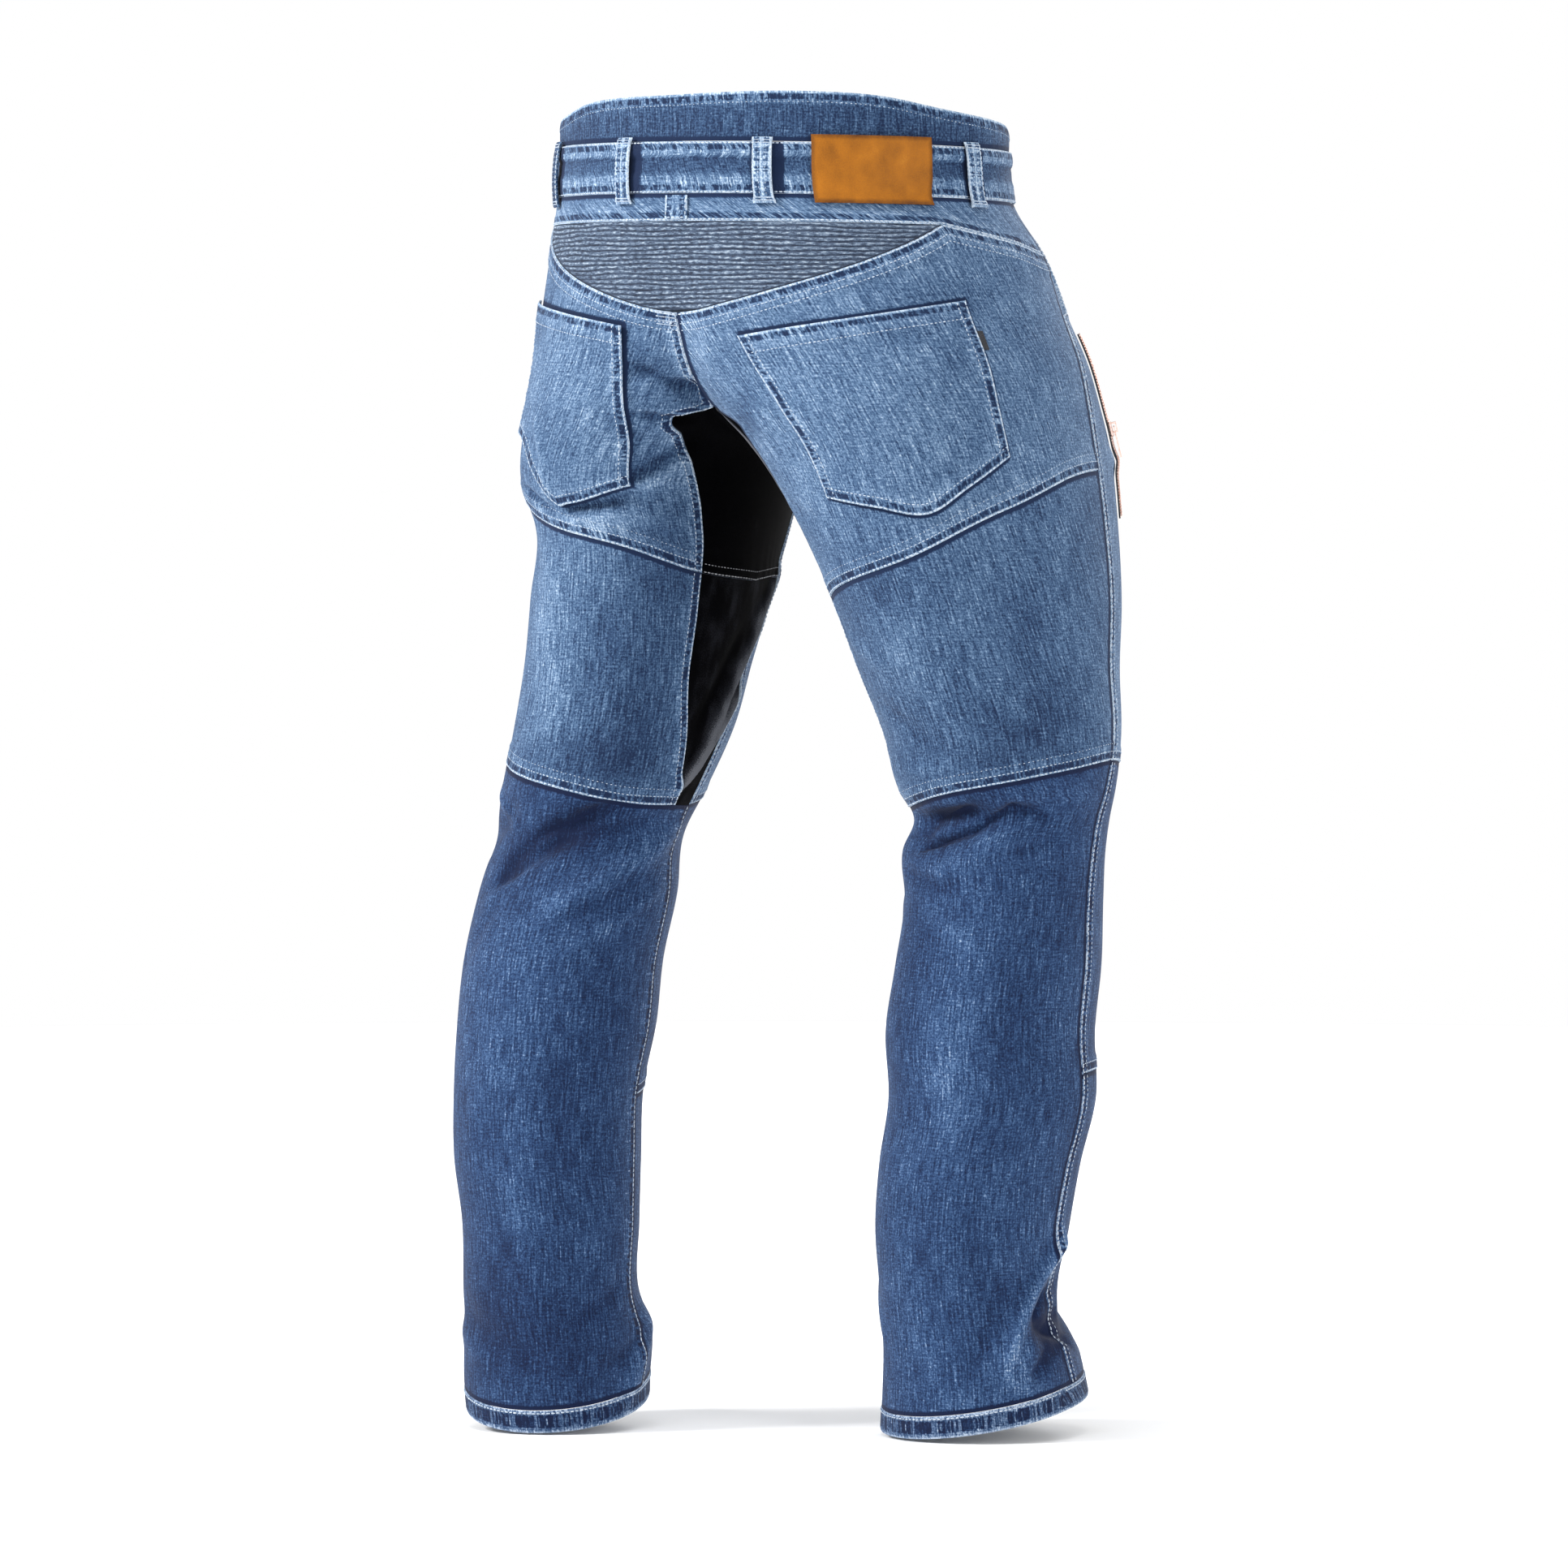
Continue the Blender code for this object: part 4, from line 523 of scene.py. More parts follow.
class WornForm:
    """The worn surface of both legs, with its folds, its washed-out areas, and painted shade and highlights.
    """

    def __init__(self) -> None:
        """Makes a curve of each column of the ring tables."""
        self.body = {side: {name: Curve(rows, "z", name) for name in Section._fields[1:]}
                     for side, rows in SECTIONS.items()}

    def split(self, side: Side, z: Array) -> Array:
        """How far the legs have parted: the halves share one value above the crotch."""
        own = np.maximum(self.body[side]["split"](z), 1)
        shared = np.clip(self.body[LEFT]["split"](z), 0, 1)
        return np.where(np.asarray(z) > CROTCH_Z, shared, own)

    def middle_angle(self, z: Array) -> Array:
        """Angle at which a half meets the other half."""
        return np.degrees(np.arccos(-np.clip(self.split(LEFT, z), 0, 1)))

    def centre_height(self, angle: Array) -> Array:
        """Height of the middle seam as a function of angle."""
        heights = np.linspace(CROTCH_Z, -0.001, 400)
        away = np.abs(np.asarray(angle, float) - 180)
        return np.interp(180 - away, self.middle_angle(heights)[::-1], heights[::-1])

    def bare(self, side: Side, angle: Array, z: Array) -> Array:
        """Point of the surface without its folds."""
        angle, z = np.broadcast_arrays(np.asarray(angle, float), np.asarray(z, float))
        body = self.body[side]
        split = self.split(side, z)
        radius_x = body["outer"](z) / (1 + split)
        mid, front, back = (body[name](z) for name in ("mid", "front", "back"))
        turn = np.radians(body["turn"](z)) * ease((CROTCH_Z - z) / TURN_FADE)
        theta = np.radians(angle)
        at_back = np.sin(theta) >= 0
        local_x = radius_x * np.cos(theta)
        local_y = np.where(at_back, back - mid, mid - front) * np.sin(theta)
        x = split * radius_x + local_x * np.cos(turn) - local_y * np.sin(turn)
        y = mid + local_x * np.sin(turn) + local_y * np.cos(turn)
        narrowing = np.sqrt(np.maximum(1 - split * split, 0))
        profiles = []
        for each in (LEFT, RIGHT):
            own_mid, own_front, own_back = (self.body[each][name](z) for name in ("mid", "front", "back"))
            reach = np.where(at_back, own_back - own_mid, own_front - own_mid)
            profiles.append(own_mid + reach * narrowing)
        shared = (profiles[0] + profiles[1]) / 2
        cleft = np.maximum(CLEFT_WIDTH * (1 - split), 1e-6)
        y = np.where(z > CROTCH_Z, shared + (y - shared) * ease(x / cleft), y)
        low, high = TILT_ENDS_Z
        z = z + WAIST_TILT * y * ease((z - low) / (high - low))
        return np.stack([side * x, y, z], axis=-1)

    def normal(self, side: Side, angle: Array, z: Array) -> Array:
        """Outward unit normal of the bare surface, by small differences."""
        along = self.bare(side, angle + TURN_STEP, z) - self.bare(side, angle - TURN_STEP, z)
        down = self.bare(side, angle, z - DROP_STEP) - self.bare(side, angle, z + DROP_STEP)
        return unit(np.cross(along, down) * -side)

    def folds(self, side: Side, angle: Array, z: Array, table: Sequence[Fold], troughs: float = 1.0) -> Array:
        """Height of folds at places on the surface.

        Args:
            table: The folds to add up.
            troughs: Share of each trough's depth, for a piece that spans them.

        Returns:
            Heights, outward positive.
        """
        angle, z = np.broadcast_arrays(np.asarray(angle, float), np.asarray(z, float))
        total = np.zeros(angle.shape)
        for fold in table:
            if fold.side != side:
                continue
            radius = math.radians(1) * (HIP_RADIUS if fold.z_a > CROTCH_Z else LEG_RADIUS)
            across = ((angle - fold.angle_a + 180) % 360 - 180) * radius
            down = z - fold.z_a
            run = ((fold.angle_b - fold.angle_a) * radius, fold.z_b - fold.z_a)
            length = math.hypot(*run)
            along = (across * run[0] + down * run[1]) / length**2
            apart = (across * run[1] - down * run[0]) / length
            window = ease((along + 0.2) / 0.4) * ease((1.2 - along) / 0.4)
            share = troughs if fold.rise < 0 else 1.0
            total = total + share * fold.rise * window * np.exp(-(apart / fold.width) ** 2)
        return total

    def surface(self, side: Side, angle: Array, z: Array, troughs: float = 1.0, lift: float = 0.0) -> Pair:
        """Points at a height over the folded surface, and the bare surface's normals."""
        normal = self.normal(side, angle, z)
        large, small = (self.folds(side, angle, z, table, troughs) for table in (FOLDS, CREASES))
        rise = large + small + lift
        return self.bare(side, angle, z) + rise[..., None] * normal, normal

    def fade(self, side: Side, angle: Array, z: Array) -> Array:
        """How washed out the cloth is: paler on ridges, partly wear and partly painted highlight, and in worn
        areas; darker in troughs as painted shade.
        """
        angle, z = np.broadcast_arrays(np.asarray(angle, float), np.asarray(z, float))
        total = (self.folds(side, angle, z, FOLDS) * FOLD_FADE_AND_SHADE_PER_METRE
                 + self.folds(side, angle, z, CREASES) * CREASE_FADE_AND_SHADE_PER_METRE)
        for area in FADES_AND_SHADES:
            if area.side == side:
                turn = ((angle - area.angle + 180) % 360 - 180) / area.spread_angle
                drop = (z - area.z) / area.spread_z
                total = total + area.amount * np.exp(-turn * turn - drop * drop)
        return total

    def metre_per_degree(self, side: Side, angle: Array, z: Array) -> Array:
        """Length of one degree of the surface."""
        step = self.bare(side, angle + 0.5, z) - self.bare(side, angle - 0.5, z)
        return np.linalg.norm(step, axis=-1)

    def waist_angle(self, place: Array, z: Array) -> Array:
        """Leg angle of a place round the waist."""
        wrapped = (place + 180) % 360 - 180
        return self.middle_angle(z) * (1 - np.abs(wrapped) / 90)

    def waist(self, place: Array, z: Array) -> tuple[Array, Array, Array]:
        """Points, normals, and washed-out tone with painted shade and highlights, near the waist."""
        place, z = np.broadcast_arrays(np.asarray(place, float), np.asarray(z, float))
        mine = ((place + 180) % 360 - 180) >= 0
        angle = self.waist_angle(place, z)
        points, normals = np.zeros((2, *place.shape, 3))
        fades_and_shades = np.zeros(place.shape)
        for side, chosen in ((LEFT, mine), (RIGHT, ~mine)):
            point, normal = self.surface(side, angle, z)
            points[chosen], normals[chosen] = point[chosen], normal[chosen]
            fades_and_shades[chosen] = self.fade(side, angle, z)[chosen]
        return points, normals, fades_and_shades


# How much the folds paint the cloth per metre of rise: troughs darker as painted shade, ridges paler, partly
# wear and partly painted highlight.
FOLD_FADE_AND_SHADE_PER_METRE = 34.0
CREASE_FADE_AND_SHADE_PER_METRE = 76.0
FORM = WornForm()


class Stitch(Enum):
    """Kinds of stitch, by length, pitch, width and height."""

    BOLD = (0.0035, 0.0037, 0.00125, 0.00085)
    EVEN = (0.0024, 0.0034, 0.00085, 0.00060)
    FAINT = (0.0016, 0.0036, 0.00060, 0.00045)
    TACK = (0.0010, 0.0008, 0.00085, 0.00060)


class StitchRow(NamedTuple):
    """A row of stitches at a distance from an edge."""

    away: float
    stitch: Stitch


@dataclass(frozen=True)
class SeamStyle:
    """How an edge is sewn.

    Attributes:
        over: Whether this edge lies on its neighbour, with its allowance folded under.
        band: Width of the folded allowance.
        lift: How far the allowance raises the cloth.
        rows: The stitch rows beside the edge.
        pucker: Height of the puckers beside the seam.
        shadow: How far the painted shadow line reaches where a neighbour lies over this edge; none at 0.
    """

    over: bool = False
    band: float = 0.0105
    lift: float = 0.0007
    rows: tuple[StitchRow, ...] = ()
    pucker: float = 0.00030
    shadow: float = 0.0


CLOSE = StitchRow(0.0012, Stitch.BOLD)
FIRST = StitchRow(0.0013, Stitch.BOLD)
SECOND = StitchRow(0.0072, Stitch.EVEN)
FELLED = SeamStyle(True, rows=(FIRST, SECOND))
TRIPLE = SeamStyle(True, band=0.0135, rows=(FIRST, SECOND, StitchRow(0.0130, Stitch.FAINT)), pucker=0.00040)
WIDE = SeamStyle(True, band=0.0150, lift=0.0009,
                 rows=(FIRST, StitchRow(0.0085, Stitch.EVEN), StitchRow(0.0138, Stitch.EVEN)), pucker=0.00045)
EDGED = SeamStyle(True, band=0.0060, lift=0.0005, rows=(FIRST,), pucker=0.00020)
LOOSE = SeamStyle(True, band=0.0040, lift=0.0003, pucker=0.00012)
# Edges that a neighbour lies over get a painted shadow line; on the side seams it reaches further.
UNDER = SeamStyle(shadow=1.2)
VALLEY = SeamStyle(shadow=1.7)
PLAIN = SeamStyle(pucker=0.0)


def sewn(left: SeamStyle, right: SeamStyle, top: SeamStyle, bottom: SeamStyle) -> dict[Rim, SeamStyle]:
    """How the four edges of a piece are sewn."""
    return {Rim.LEFT: left, Rim.RIGHT: right, Rim.TOP: top, Rim.BOTTOM: bottom}


def shares(length: float, cell: float = CELL, fine: float = 0.0, fine_cell: float = 0.0018) -> Array:
    """Places from 0 to 1 along a piece, closer together near its ends.

    Args:
        length: Length of the piece.
        cell: Distance between places.
        fine: Length at the start with closer places.
        fine_cell: Distance between those.

    Returns:
        The places.
    """
    near = np.array(NEAR_EDGE)
    while len(near) > 2 and near[-1] * 2 + cell > length:
        near = near[:-1]
    start, end = near[-1], length - near[-1]
    knots = [start, max(start, fine), end]
    parts = [near[:-1]]
    for low, high, step in zip(knots, knots[1:], (fine_cell, cell)):
        if high > low:
            parts.append(np.linspace(low, high, max(1, round((high - low) / step)) + 1)[:-1])
    return np.concatenate([*parts, length - near[::-1]]) / length


def wobble(s: Array, seed: float) -> Array:
    """Uneven waves along a seam, from -1 to 1."""
    short, middle, long = (2 * math.pi * s / length for length in PUCKER_LENGTHS)
    phase = short + 1.6 * np.sin(middle + seed)
    return np.sin(phase) * (0.62 + 0.38 * np.sin(long + 2.3 * seed))


class Needle:
    """Makes rows of stitches as joined copies of one modelled stitch."""

    def __init__(self) -> None:
        """Models one stitch as a stretched ball and keeps its points."""
        bpy.ops.object.select_all(action="DESELECT")
        bpy.ops.mesh.primitive_ico_sphere_add(subdivisions=1, radius=0.5, location=(0, 0, 0))
        ball = bpy.context.object
        self.points = np.array([vert.co[:] for vert in ball.data.vertices])
        self.faces = np.array([face.vertices[:] for face in ball.data.polygons])
        bpy.data.objects.remove(ball)
        self.random = np.random.default_rng(7)

    def row(self, path: Array, normals: Array, stitch: Stitch) -> Array:
        """Points of the stitches along a path.

        Args:
            path: Points of the row on the cloth.
            normals: Outward normals there.
            stitch: Kind of stitch.

        Returns:
            Points of all stitches, one after the other.
        """
        length, pitch, width, height = stitch.value
        steps = np.linalg.norm(np.diff(path, axis=0), axis=1)
        run = np.concatenate([[0.0], np.cumsum(steps)])
        count = max(1, int(run[-1] / pitch))
        centres = (np.arange(count) + 0.5) * run[-1] / count
        centres = centres + self.random.normal(0, STITCH_JITTER, count)
        at = [np.interp(centres, run, path[:, k]) for k in range(3)]
        ahead = [np.interp(centres + AHEAD, run, path[:, k]) - np.interp(centres - AHEAD, run, path[:, k])
                 for k in range(3)]
        up = unit(np.stack([np.interp(centres, run, normals[:, k]) for k in range(3)], axis=-1))
        forward = np.stack(ahead, axis=-1)
        forward = unit(forward - up * np.sum(forward * up, axis=-1, keepdims=True))
        across = np.cross(up, forward)
        sizes = np.stack([length * self.random.uniform(0.9, 1.08, count),
                          width * self.random.uniform(0.8, 1.15, count), np.full(count, height)], axis=-1)
        local = self.points[None, :, :] * sizes[:, None, :]
        frames = np.stack([forward, across, up], axis=1)
        lifted = np.stack(at, axis=-1) + up * height * STITCH_LIFT
        return (lifted[:, None, :] + np.einsum("nij,njk->nik", local, frames)).reshape(-1, 3)

    def sew(self, name: str, rows: Sequence[Array], material: bpy.types.Material, slot: str) -> Piece:
        """One object of all rows."""
        points = np.concatenate(rows)
        count = len(points) // len(self.points)
        faces = (self.faces[None] + (np.arange(count) * len(self.points))[:, None, None]).reshape(-1, 3)
        mesh = bpy.data.meshes.new(name)
        mesh.vertices.add(len(points))
        mesh.vertices.foreach_set("co", points.ravel())
        mesh.loops.add(faces.size)
        mesh.loops.foreach_set("vertex_index", faces.ravel())
        mesh.polygons.add(len(faces))
        mesh.polygons.foreach_set("loop_start", np.arange(0, faces.size, 3))
        mesh.update(calc_edges=True)
        mesh.shade_smooth()
        mesh.materials.append(material)
        piece = bpy.data.objects.new(name, mesh)
        bpy.context.scene.collection.objects.link(piece)
        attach(piece, BODY)
        return piece


@dataclass
class Shell:
    """A cloth piece: a fine grid of points on the worn form, with a wall.

    Attributes:
        name: Name of the piece, which is its node's name too.
        points: Points of the grid, row by row from the top.
        normals: Outward normals there.
        along: Cloth coordinates in metres, across and down.
        fade: How washed out the cloth is at each point, with painted shade and highlights.
        seams: How each edge is sewn.
        wall: Thickness of the cloth.
        closed: Whether the last column is the first one.
        relief: Heights that are added to those of the seams.
        covered: Distance from a piece that lies on this one, negative under it, for the painted shadow along
            it.
        rest_on: Node that the piece rests on; not used.
    """

    name: str
    points: Array
    normals: Array
    along: Array
    fade: Array
    seams: dict[Rim, SeamStyle]
    wall: float = WALL
    closed: bool = False
    relief: Array | None = None
    covered: Array | None = None
    rest_on: str = "waistband"

    def __post_init__(self) -> None:
        """Measures the distances from the edges and raises the seams."""
        self.arc_across = self.arcs(self.points, 1)
        self.arc_down = self.arcs(self.points, 0)
        self.square = self.squareness()
        self.cut = (float(np.ptp(self.along[..., 0])), float(np.ptp(self.along[..., 1])), self.area())
        self.distances = {
            Rim.LEFT: self.arc_across * self.square,
            Rim.RIGHT: (self.arc_across[:, -1:] - self.arc_across) * self.square,
            Rim.TOP: self.arc_down * self.square,
            Rim.BOTTOM: (self.arc_down[-1:] - self.arc_down) * self.square,
        }
        height = self.seam_heights()
        if self.relief is not None:
            height = height + self.relief
        self.points = self.points + self.normals * height[..., None]
        self.normals = self.grid_normals()

    @staticmethod
    def arcs(points: Array, axis: int) -> Array:
        """Running length along the rows or columns of a grid."""
        steps = np.linalg.norm(np.diff(points, axis=axis), axis=-1)
        first = np.zeros_like(np.take(steps, [0], axis=axis))
        return np.concatenate([first, np.cumsum(steps, axis=axis)], axis=axis)

    def squareness(self) -> Array:
        """Sine of the angle between the rows and the columns."""
        rows = unit(np.gradient(self.points, axis=1))
        columns = unit(np.gradient(self.points, axis=0))
        return np.clip(np.linalg.norm(np.cross(rows, columns), axis=-1), 0.3, 1)

    def area(self) -> float:
        """Area of the grid."""
        across = np.diff(self.points, axis=1)[:-1]
        down = np.diff(self.points, axis=0)[:, :-1]
        return float(np.linalg.norm(np.cross(across, down), axis=-1).sum())

    def grid_normals(self) -> Array:
        """Outward normals of the raised grid."""
        across = np.gradient(self.points, axis=1)
        down = np.gradient(self.points, axis=0)
        normal = unit(np.cross(across, down))
        flip = np.sign(np.sum(normal * self.normals, axis=-1).sum())
        return normal * flip

    def seam_heights(self) -> Array:
        """Raised allowances, rolled edges and puckers."""
        height = np.zeros(self.fade.shape)
        bands = np.zeros(self.fade.shape)
        roll = np.zeros(self.fade.shape)
        for index, (rim, style) in enumerate(self.seams.items()):
            away = self.distances[rim]
            s = self.along[..., 1] if rim in (Rim.LEFT, Rim.RIGHT) else self.along[..., 0]
            if style.over:
                bands = np.maximum(bands, style.lift * (1 - ease((away - style.band) / ALLOWANCE_SLOPE)))
                roll = np.minimum(roll, -ROLL_DEPTH * (1 - ease(away / ROLL_WIDTH)))
            window = ease((away + 0.001) / PUCKER_START) * np.exp(-away / PUCKER_REACH)
            height = height + style.pucker * window * wobble(s, 1.7 * index + len(self.name))
        return height + bands + roll

    def over_distance(self, rims: tuple[Rim, Rim]) -> Array:
        """Distance to the nearest of two edges that lie over their neighbours."""
        nearest = np.full(self.fade.shape, FAR)
        for rim in rims:
            if rim in self.seams and self.seams[rim].over:
                nearest = np.minimum(nearest, self.distances[rim])
        return nearest

    def under_distance(self) -> Array:
        """Distance to the nearest edge or piece that lies over this piece, which sets the painted shadow
        there.
        """
        nearest = np.full(self.fade.shape, FAR) if self.covered is None else self.covered
        for rim, style in self.seams.items():
            if style.shadow:
                nearest = np.minimum(nearest, self.distances[rim] / style.shadow)
        return nearest

    def path(self, rim: Rim, away: float) -> tuple[Array, Array]:
        """Points and normals of a line that runs beside an edge."""
        distance = self.distances[rim]
        points, normals = self.points, self.normals
        if rim in (Rim.TOP, Rim.BOTTOM):
            distance = distance.T
            points, normals = points.transpose(1, 0, 2), normals.transpose(1, 0, 2)
        if rim in (Rim.RIGHT, Rim.BOTTOM):
            distance, points, normals = distance[:, ::-1], points[:, ::-1], normals[:, ::-1]
        line, up = [], []
        for row, point, normal in zip(distance, points, normals):
            if row[-1] > away:
                line.append([np.interp(away, row, point[:, k]) for k in range(3)])
                up.append([np.interp(away, row, normal[:, k]) for k in range(3)])
        return np.array(line), np.array(up)

    def stitch_rows(self, needle: Needle) -> list[Array]:
        """Stitches of every edge."""
        rows = []
        for rim, style in self.seams.items():
            for away, stitch in style.rows:
                line, up = self.path(rim, away)
                if len(line) > 2:
                    rows.append(needle.row(line[1:-1], up[1:-1], stitch))
        return rows

    def build(self, finish: Finish, inside: Finish | None = None) -> Piece:
        """Makes the piece: a grid shaped in place and given its wall, that replaces its node.

        Args:
            finish: Finish of the face.
            inside: Finish of the back of the cloth.

        Returns:
            The finished object.
        """
        rows, columns = self.fade.shape
        bpy.ops.object.select_all(action="DESELECT")
        bpy.ops.mesh.primitive_grid_add(x_subdivisions=columns - 1, y_subdivisions=rows - 1, size=1,
                                        calc_uvs=True)
        piece = bpy.context.object
        node = self.name
        piece.name = f"{node}_cloth"
        mesh = piece.data
        mesh.vertices.foreach_set("co", self.points.reshape(-1, 3).ravel())
        corners = np.empty(len(mesh.loops), int)
        mesh.loops.foreach_get("vertex_index", corners)
        pairs = ((Rim.LEFT, Rim.RIGHT), (Rim.TOP, Rim.BOTTOM))
        edges = np.stack([self.over_distance(pair) for pair in pairs], axis=-1)
        mesh.uv_layers[0].name = "Cloth"
        mesh.uv_layers["Cloth"].data.foreach_set("uv", self.along.reshape(-1, 2)[corners].ravel())
        mesh.uv_layers.new(name="Edges").data.foreach_set("uv", edges.reshape(-1, 2)[corners].ravel())
        # Point attributes: washed-out tone with painted shade and highlights, and the distance that sets the
        # painted shadow of overlapping edges.
        for name, values in (("fade", self.fade), ("under", self.under_distance())):
            mesh.attributes.new(name, "FLOAT", "POINT").data.foreach_set("value", values.ravel())
        mesh.update()
        middle = mesh.polygons[len(mesh.polygons) // 2]
        outward = self.normals.reshape(-1, 3)[middle.vertices[0]]
        if middle.normal.dot(Vector(outward)) < 0:
            mesh.flip_normals()
        bpy.ops.object.mode_set(mode="EDIT")
        bpy.ops.mesh.select_all(action="SELECT")
        if self.closed:
            bpy.ops.mesh.remove_doubles(threshold=WELD)
        bpy.ops.object.mode_set(mode="OBJECT")
        mesh.materials.append(finish.material())
        mesh.materials.append((inside or finish).material())
        wall = piece.modifiers.new("wall", "SOLIDIFY")
        wall.thickness = self.wall
        wall.offset = -1
        wall.material_offset = 1
        wall.material_offset_rim = 0
        bpy.ops.object.modifier_apply(modifier=wall.name)
        bpy.ops.object.shade_smooth_by_angle(angle=SMOOTH_ANGLE)
        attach(piece, BODY)
        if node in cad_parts:
            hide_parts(node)
        return piece


def declare(piece: Piece, shell: Shell, with_pieces: Sequence[Piece] = ()) -> None:
    """Works out the cut of a cloth piece; nothing is done with it."""
    width, length, area = shell.cut
    width = max(width, NARROWEST_CUT)


class Signal:
    """A shader socket that takes part in sums and products."""

    def __init__(self, shader: Shader, socket: bpy.types.NodeSocket) -> None:
        """Keeps the socket and the shader that it belongs to."""
        self.shader = shader
        self.socket = socket

    def _math(self, operation: str, first: Signal | float, second: Signal | float) -> Signal:
        """One Math node."""
        return self.shader.node("ShaderNodeMath", {"operation": operation}, {0: first, 1: second}).out(0)

    def __add__(self, other: Signal | float) -> Signal:
        """Sum."""
        return self._math("ADD", self, other)

    __radd__ = __add__

    def __sub__(self, other: Signal | float) -> Signal:
        """Difference."""
        return self._math("SUBTRACT", self, other)

    def __rsub__(self, other: float) -> Signal:
        """Difference."""
        return self._math("SUBTRACT", other, self)

    def __mul__(self, other: Signal | float) -> Signal:
        """Product."""
        return self._math("MULTIPLY", self, other)

    def larger(self, other: Signal | float) -> Signal:
        """The larger of two values."""
        return self._math("MAXIMUM", self, other)

    def smaller(self, other: Signal | float) -> Signal:
        """The smaller of two values."""
        return self._math("MINIMUM", self, other)

    def step(self, low: float, high: float) -> Signal:
        """Smooth step from low to high, and from 1 to 0 where low is the larger."""
        ends = {"Value": self, "From Min": min(low, high), "From Max": max(low, high)}
        found = self.shader.node("ShaderNodeMapRange", {"interpolation_type": "SMOOTHSTEP"}, ends).out(0)
        return found if low < high else 1 - found


class NodeResult:
    """A made node, whose outputs are signals."""

    def __init__(self, shader: Shader, made: bpy.types.Node) -> None:
        """Keeps the node."""
        self.shader = shader
        self.made = made

    def out(self, key: int | str) -> Signal:
        """One output."""
        return Signal(self.shader, self.made.outputs[key])


class Shader:
    """A material's nodes, made by name."""

    def __init__(self, name: str) -> None:
        """Starts a material with one Principled shader."""
        self.material = bpy.data.materials.new(name)
        self.material.use_nodes = True
        self.tree = self.material.node_tree
        self.surface = self.tree.nodes["Principled BSDF"]

    def node(self, kind: str, settings: dict[str, object], values: dict[int | str, object]) -> NodeResult:
        """Makes a node.

        Args:
            kind: The node's type.
            settings: Its settings, which are set first.
            values: Values or signals of its sockets.

        Returns:
            The node's outputs.
        """
        made = self.tree.nodes.new(kind)
        for key, value in settings.items():
            setattr(made, key, value)
        for key, value in values.items():
            if isinstance(value, Signal):
                self.tree.links.new(value.socket, made.inputs[key])
            else:
                made.inputs[key].default_value = value
        return NodeResult(self, made)

    def uv(self, name: str) -> Signal:
        """A UV map's coordinates."""
        return self.node("ShaderNodeUVMap", {"uv_map": name}, {}).out(0)

    def place(self) -> Signal:
        """Object coordinates."""
        return self.node("ShaderNodeTexCoord", {}, {}).out("Object")

    def attribute(self, name: str) -> Signal:
        """A value kept at each point."""
        return self.node("ShaderNodeAttribute", {"attribute_name": name}, {}).out("Fac")

    def parts(self, vector: Signal) -> tuple[Signal, Signal, Signal]:
        """X, Y and Z of a vector."""
        made = self.node("ShaderNodeSeparateXYZ", {}, {0: vector})
        return made.out(0), made.out(1), made.out(2)

    def joined(self, x: Signal | float, y: Signal | float) -> Signal:
        """Vector of two values."""
        return self.node("ShaderNodeCombineXYZ", {}, {0: x, 1: y}).out(0)

    def noise(self, vector: Signal, factor: Triple | None = None, detail: float = 2.0,
              rough: float = 0.5) -> Signal:
        """Noise about 0, mostly from -0.25 to 0.25, at coordinates times a factor for each axis."""
        if factor is not None:
            scaled = self.node("ShaderNodeVectorMath", {"operation": "MULTIPLY"}, {0: vector, 1: factor})
            vector = scaled.out(0)
        return self.node("ShaderNodeTexNoise", {},
                         {"Vector": vector, "Scale": 1.0, "Detail": detail, "Roughness": rough}).out(0) - 0.5

    def ramp(self, value: Signal, stops: Sequence[tuple[float, Colour]]) -> Signal:
        """Colour ramp."""
        made = self.node("ShaderNodeValToRGB", {}, {0: value})
        elements = made.made.color_ramp.elements
        for index, (position, colour) in enumerate(stops):
            element = elements[index] if index < len(elements) else elements.new(position)
            element.position = position
            element.color = (*colour, 1)
        return made.out(0)

    def bump(self, height: Signal, strength: float, distance: float) -> Signal:
        """Bump normal."""
        return self.node("ShaderNodeBump", {},
                         {"Strength": strength, "Distance": distance, "Height": height}).out(0)

    def set(self, name: str, value: Signal | float | tuple[float, ...]) -> None:
        """Links a signal to the shader's socket, or sets a value there."""
        if isinstance(value, Signal):
            self.tree.links.new(value.socket, self.surface.inputs[name])
        else:
            self.surface.inputs[name].default_value = value


class Finish:
    """A finish that makes its material once, and carries a slot name."""

    name = "finish"
    slot = ""

    def material(self) -> bpy.types.Material:
        """The finish's material."""
        found = bpy.data.materials.get(self.name)
        if found is None:
            shader = Shader(self.name)
            self.dress(shader)
            found = shader.material
        return found

    def dress(self, shader: Shader) -> None:
        """Adds the nodes."""
        raise NotImplementedError


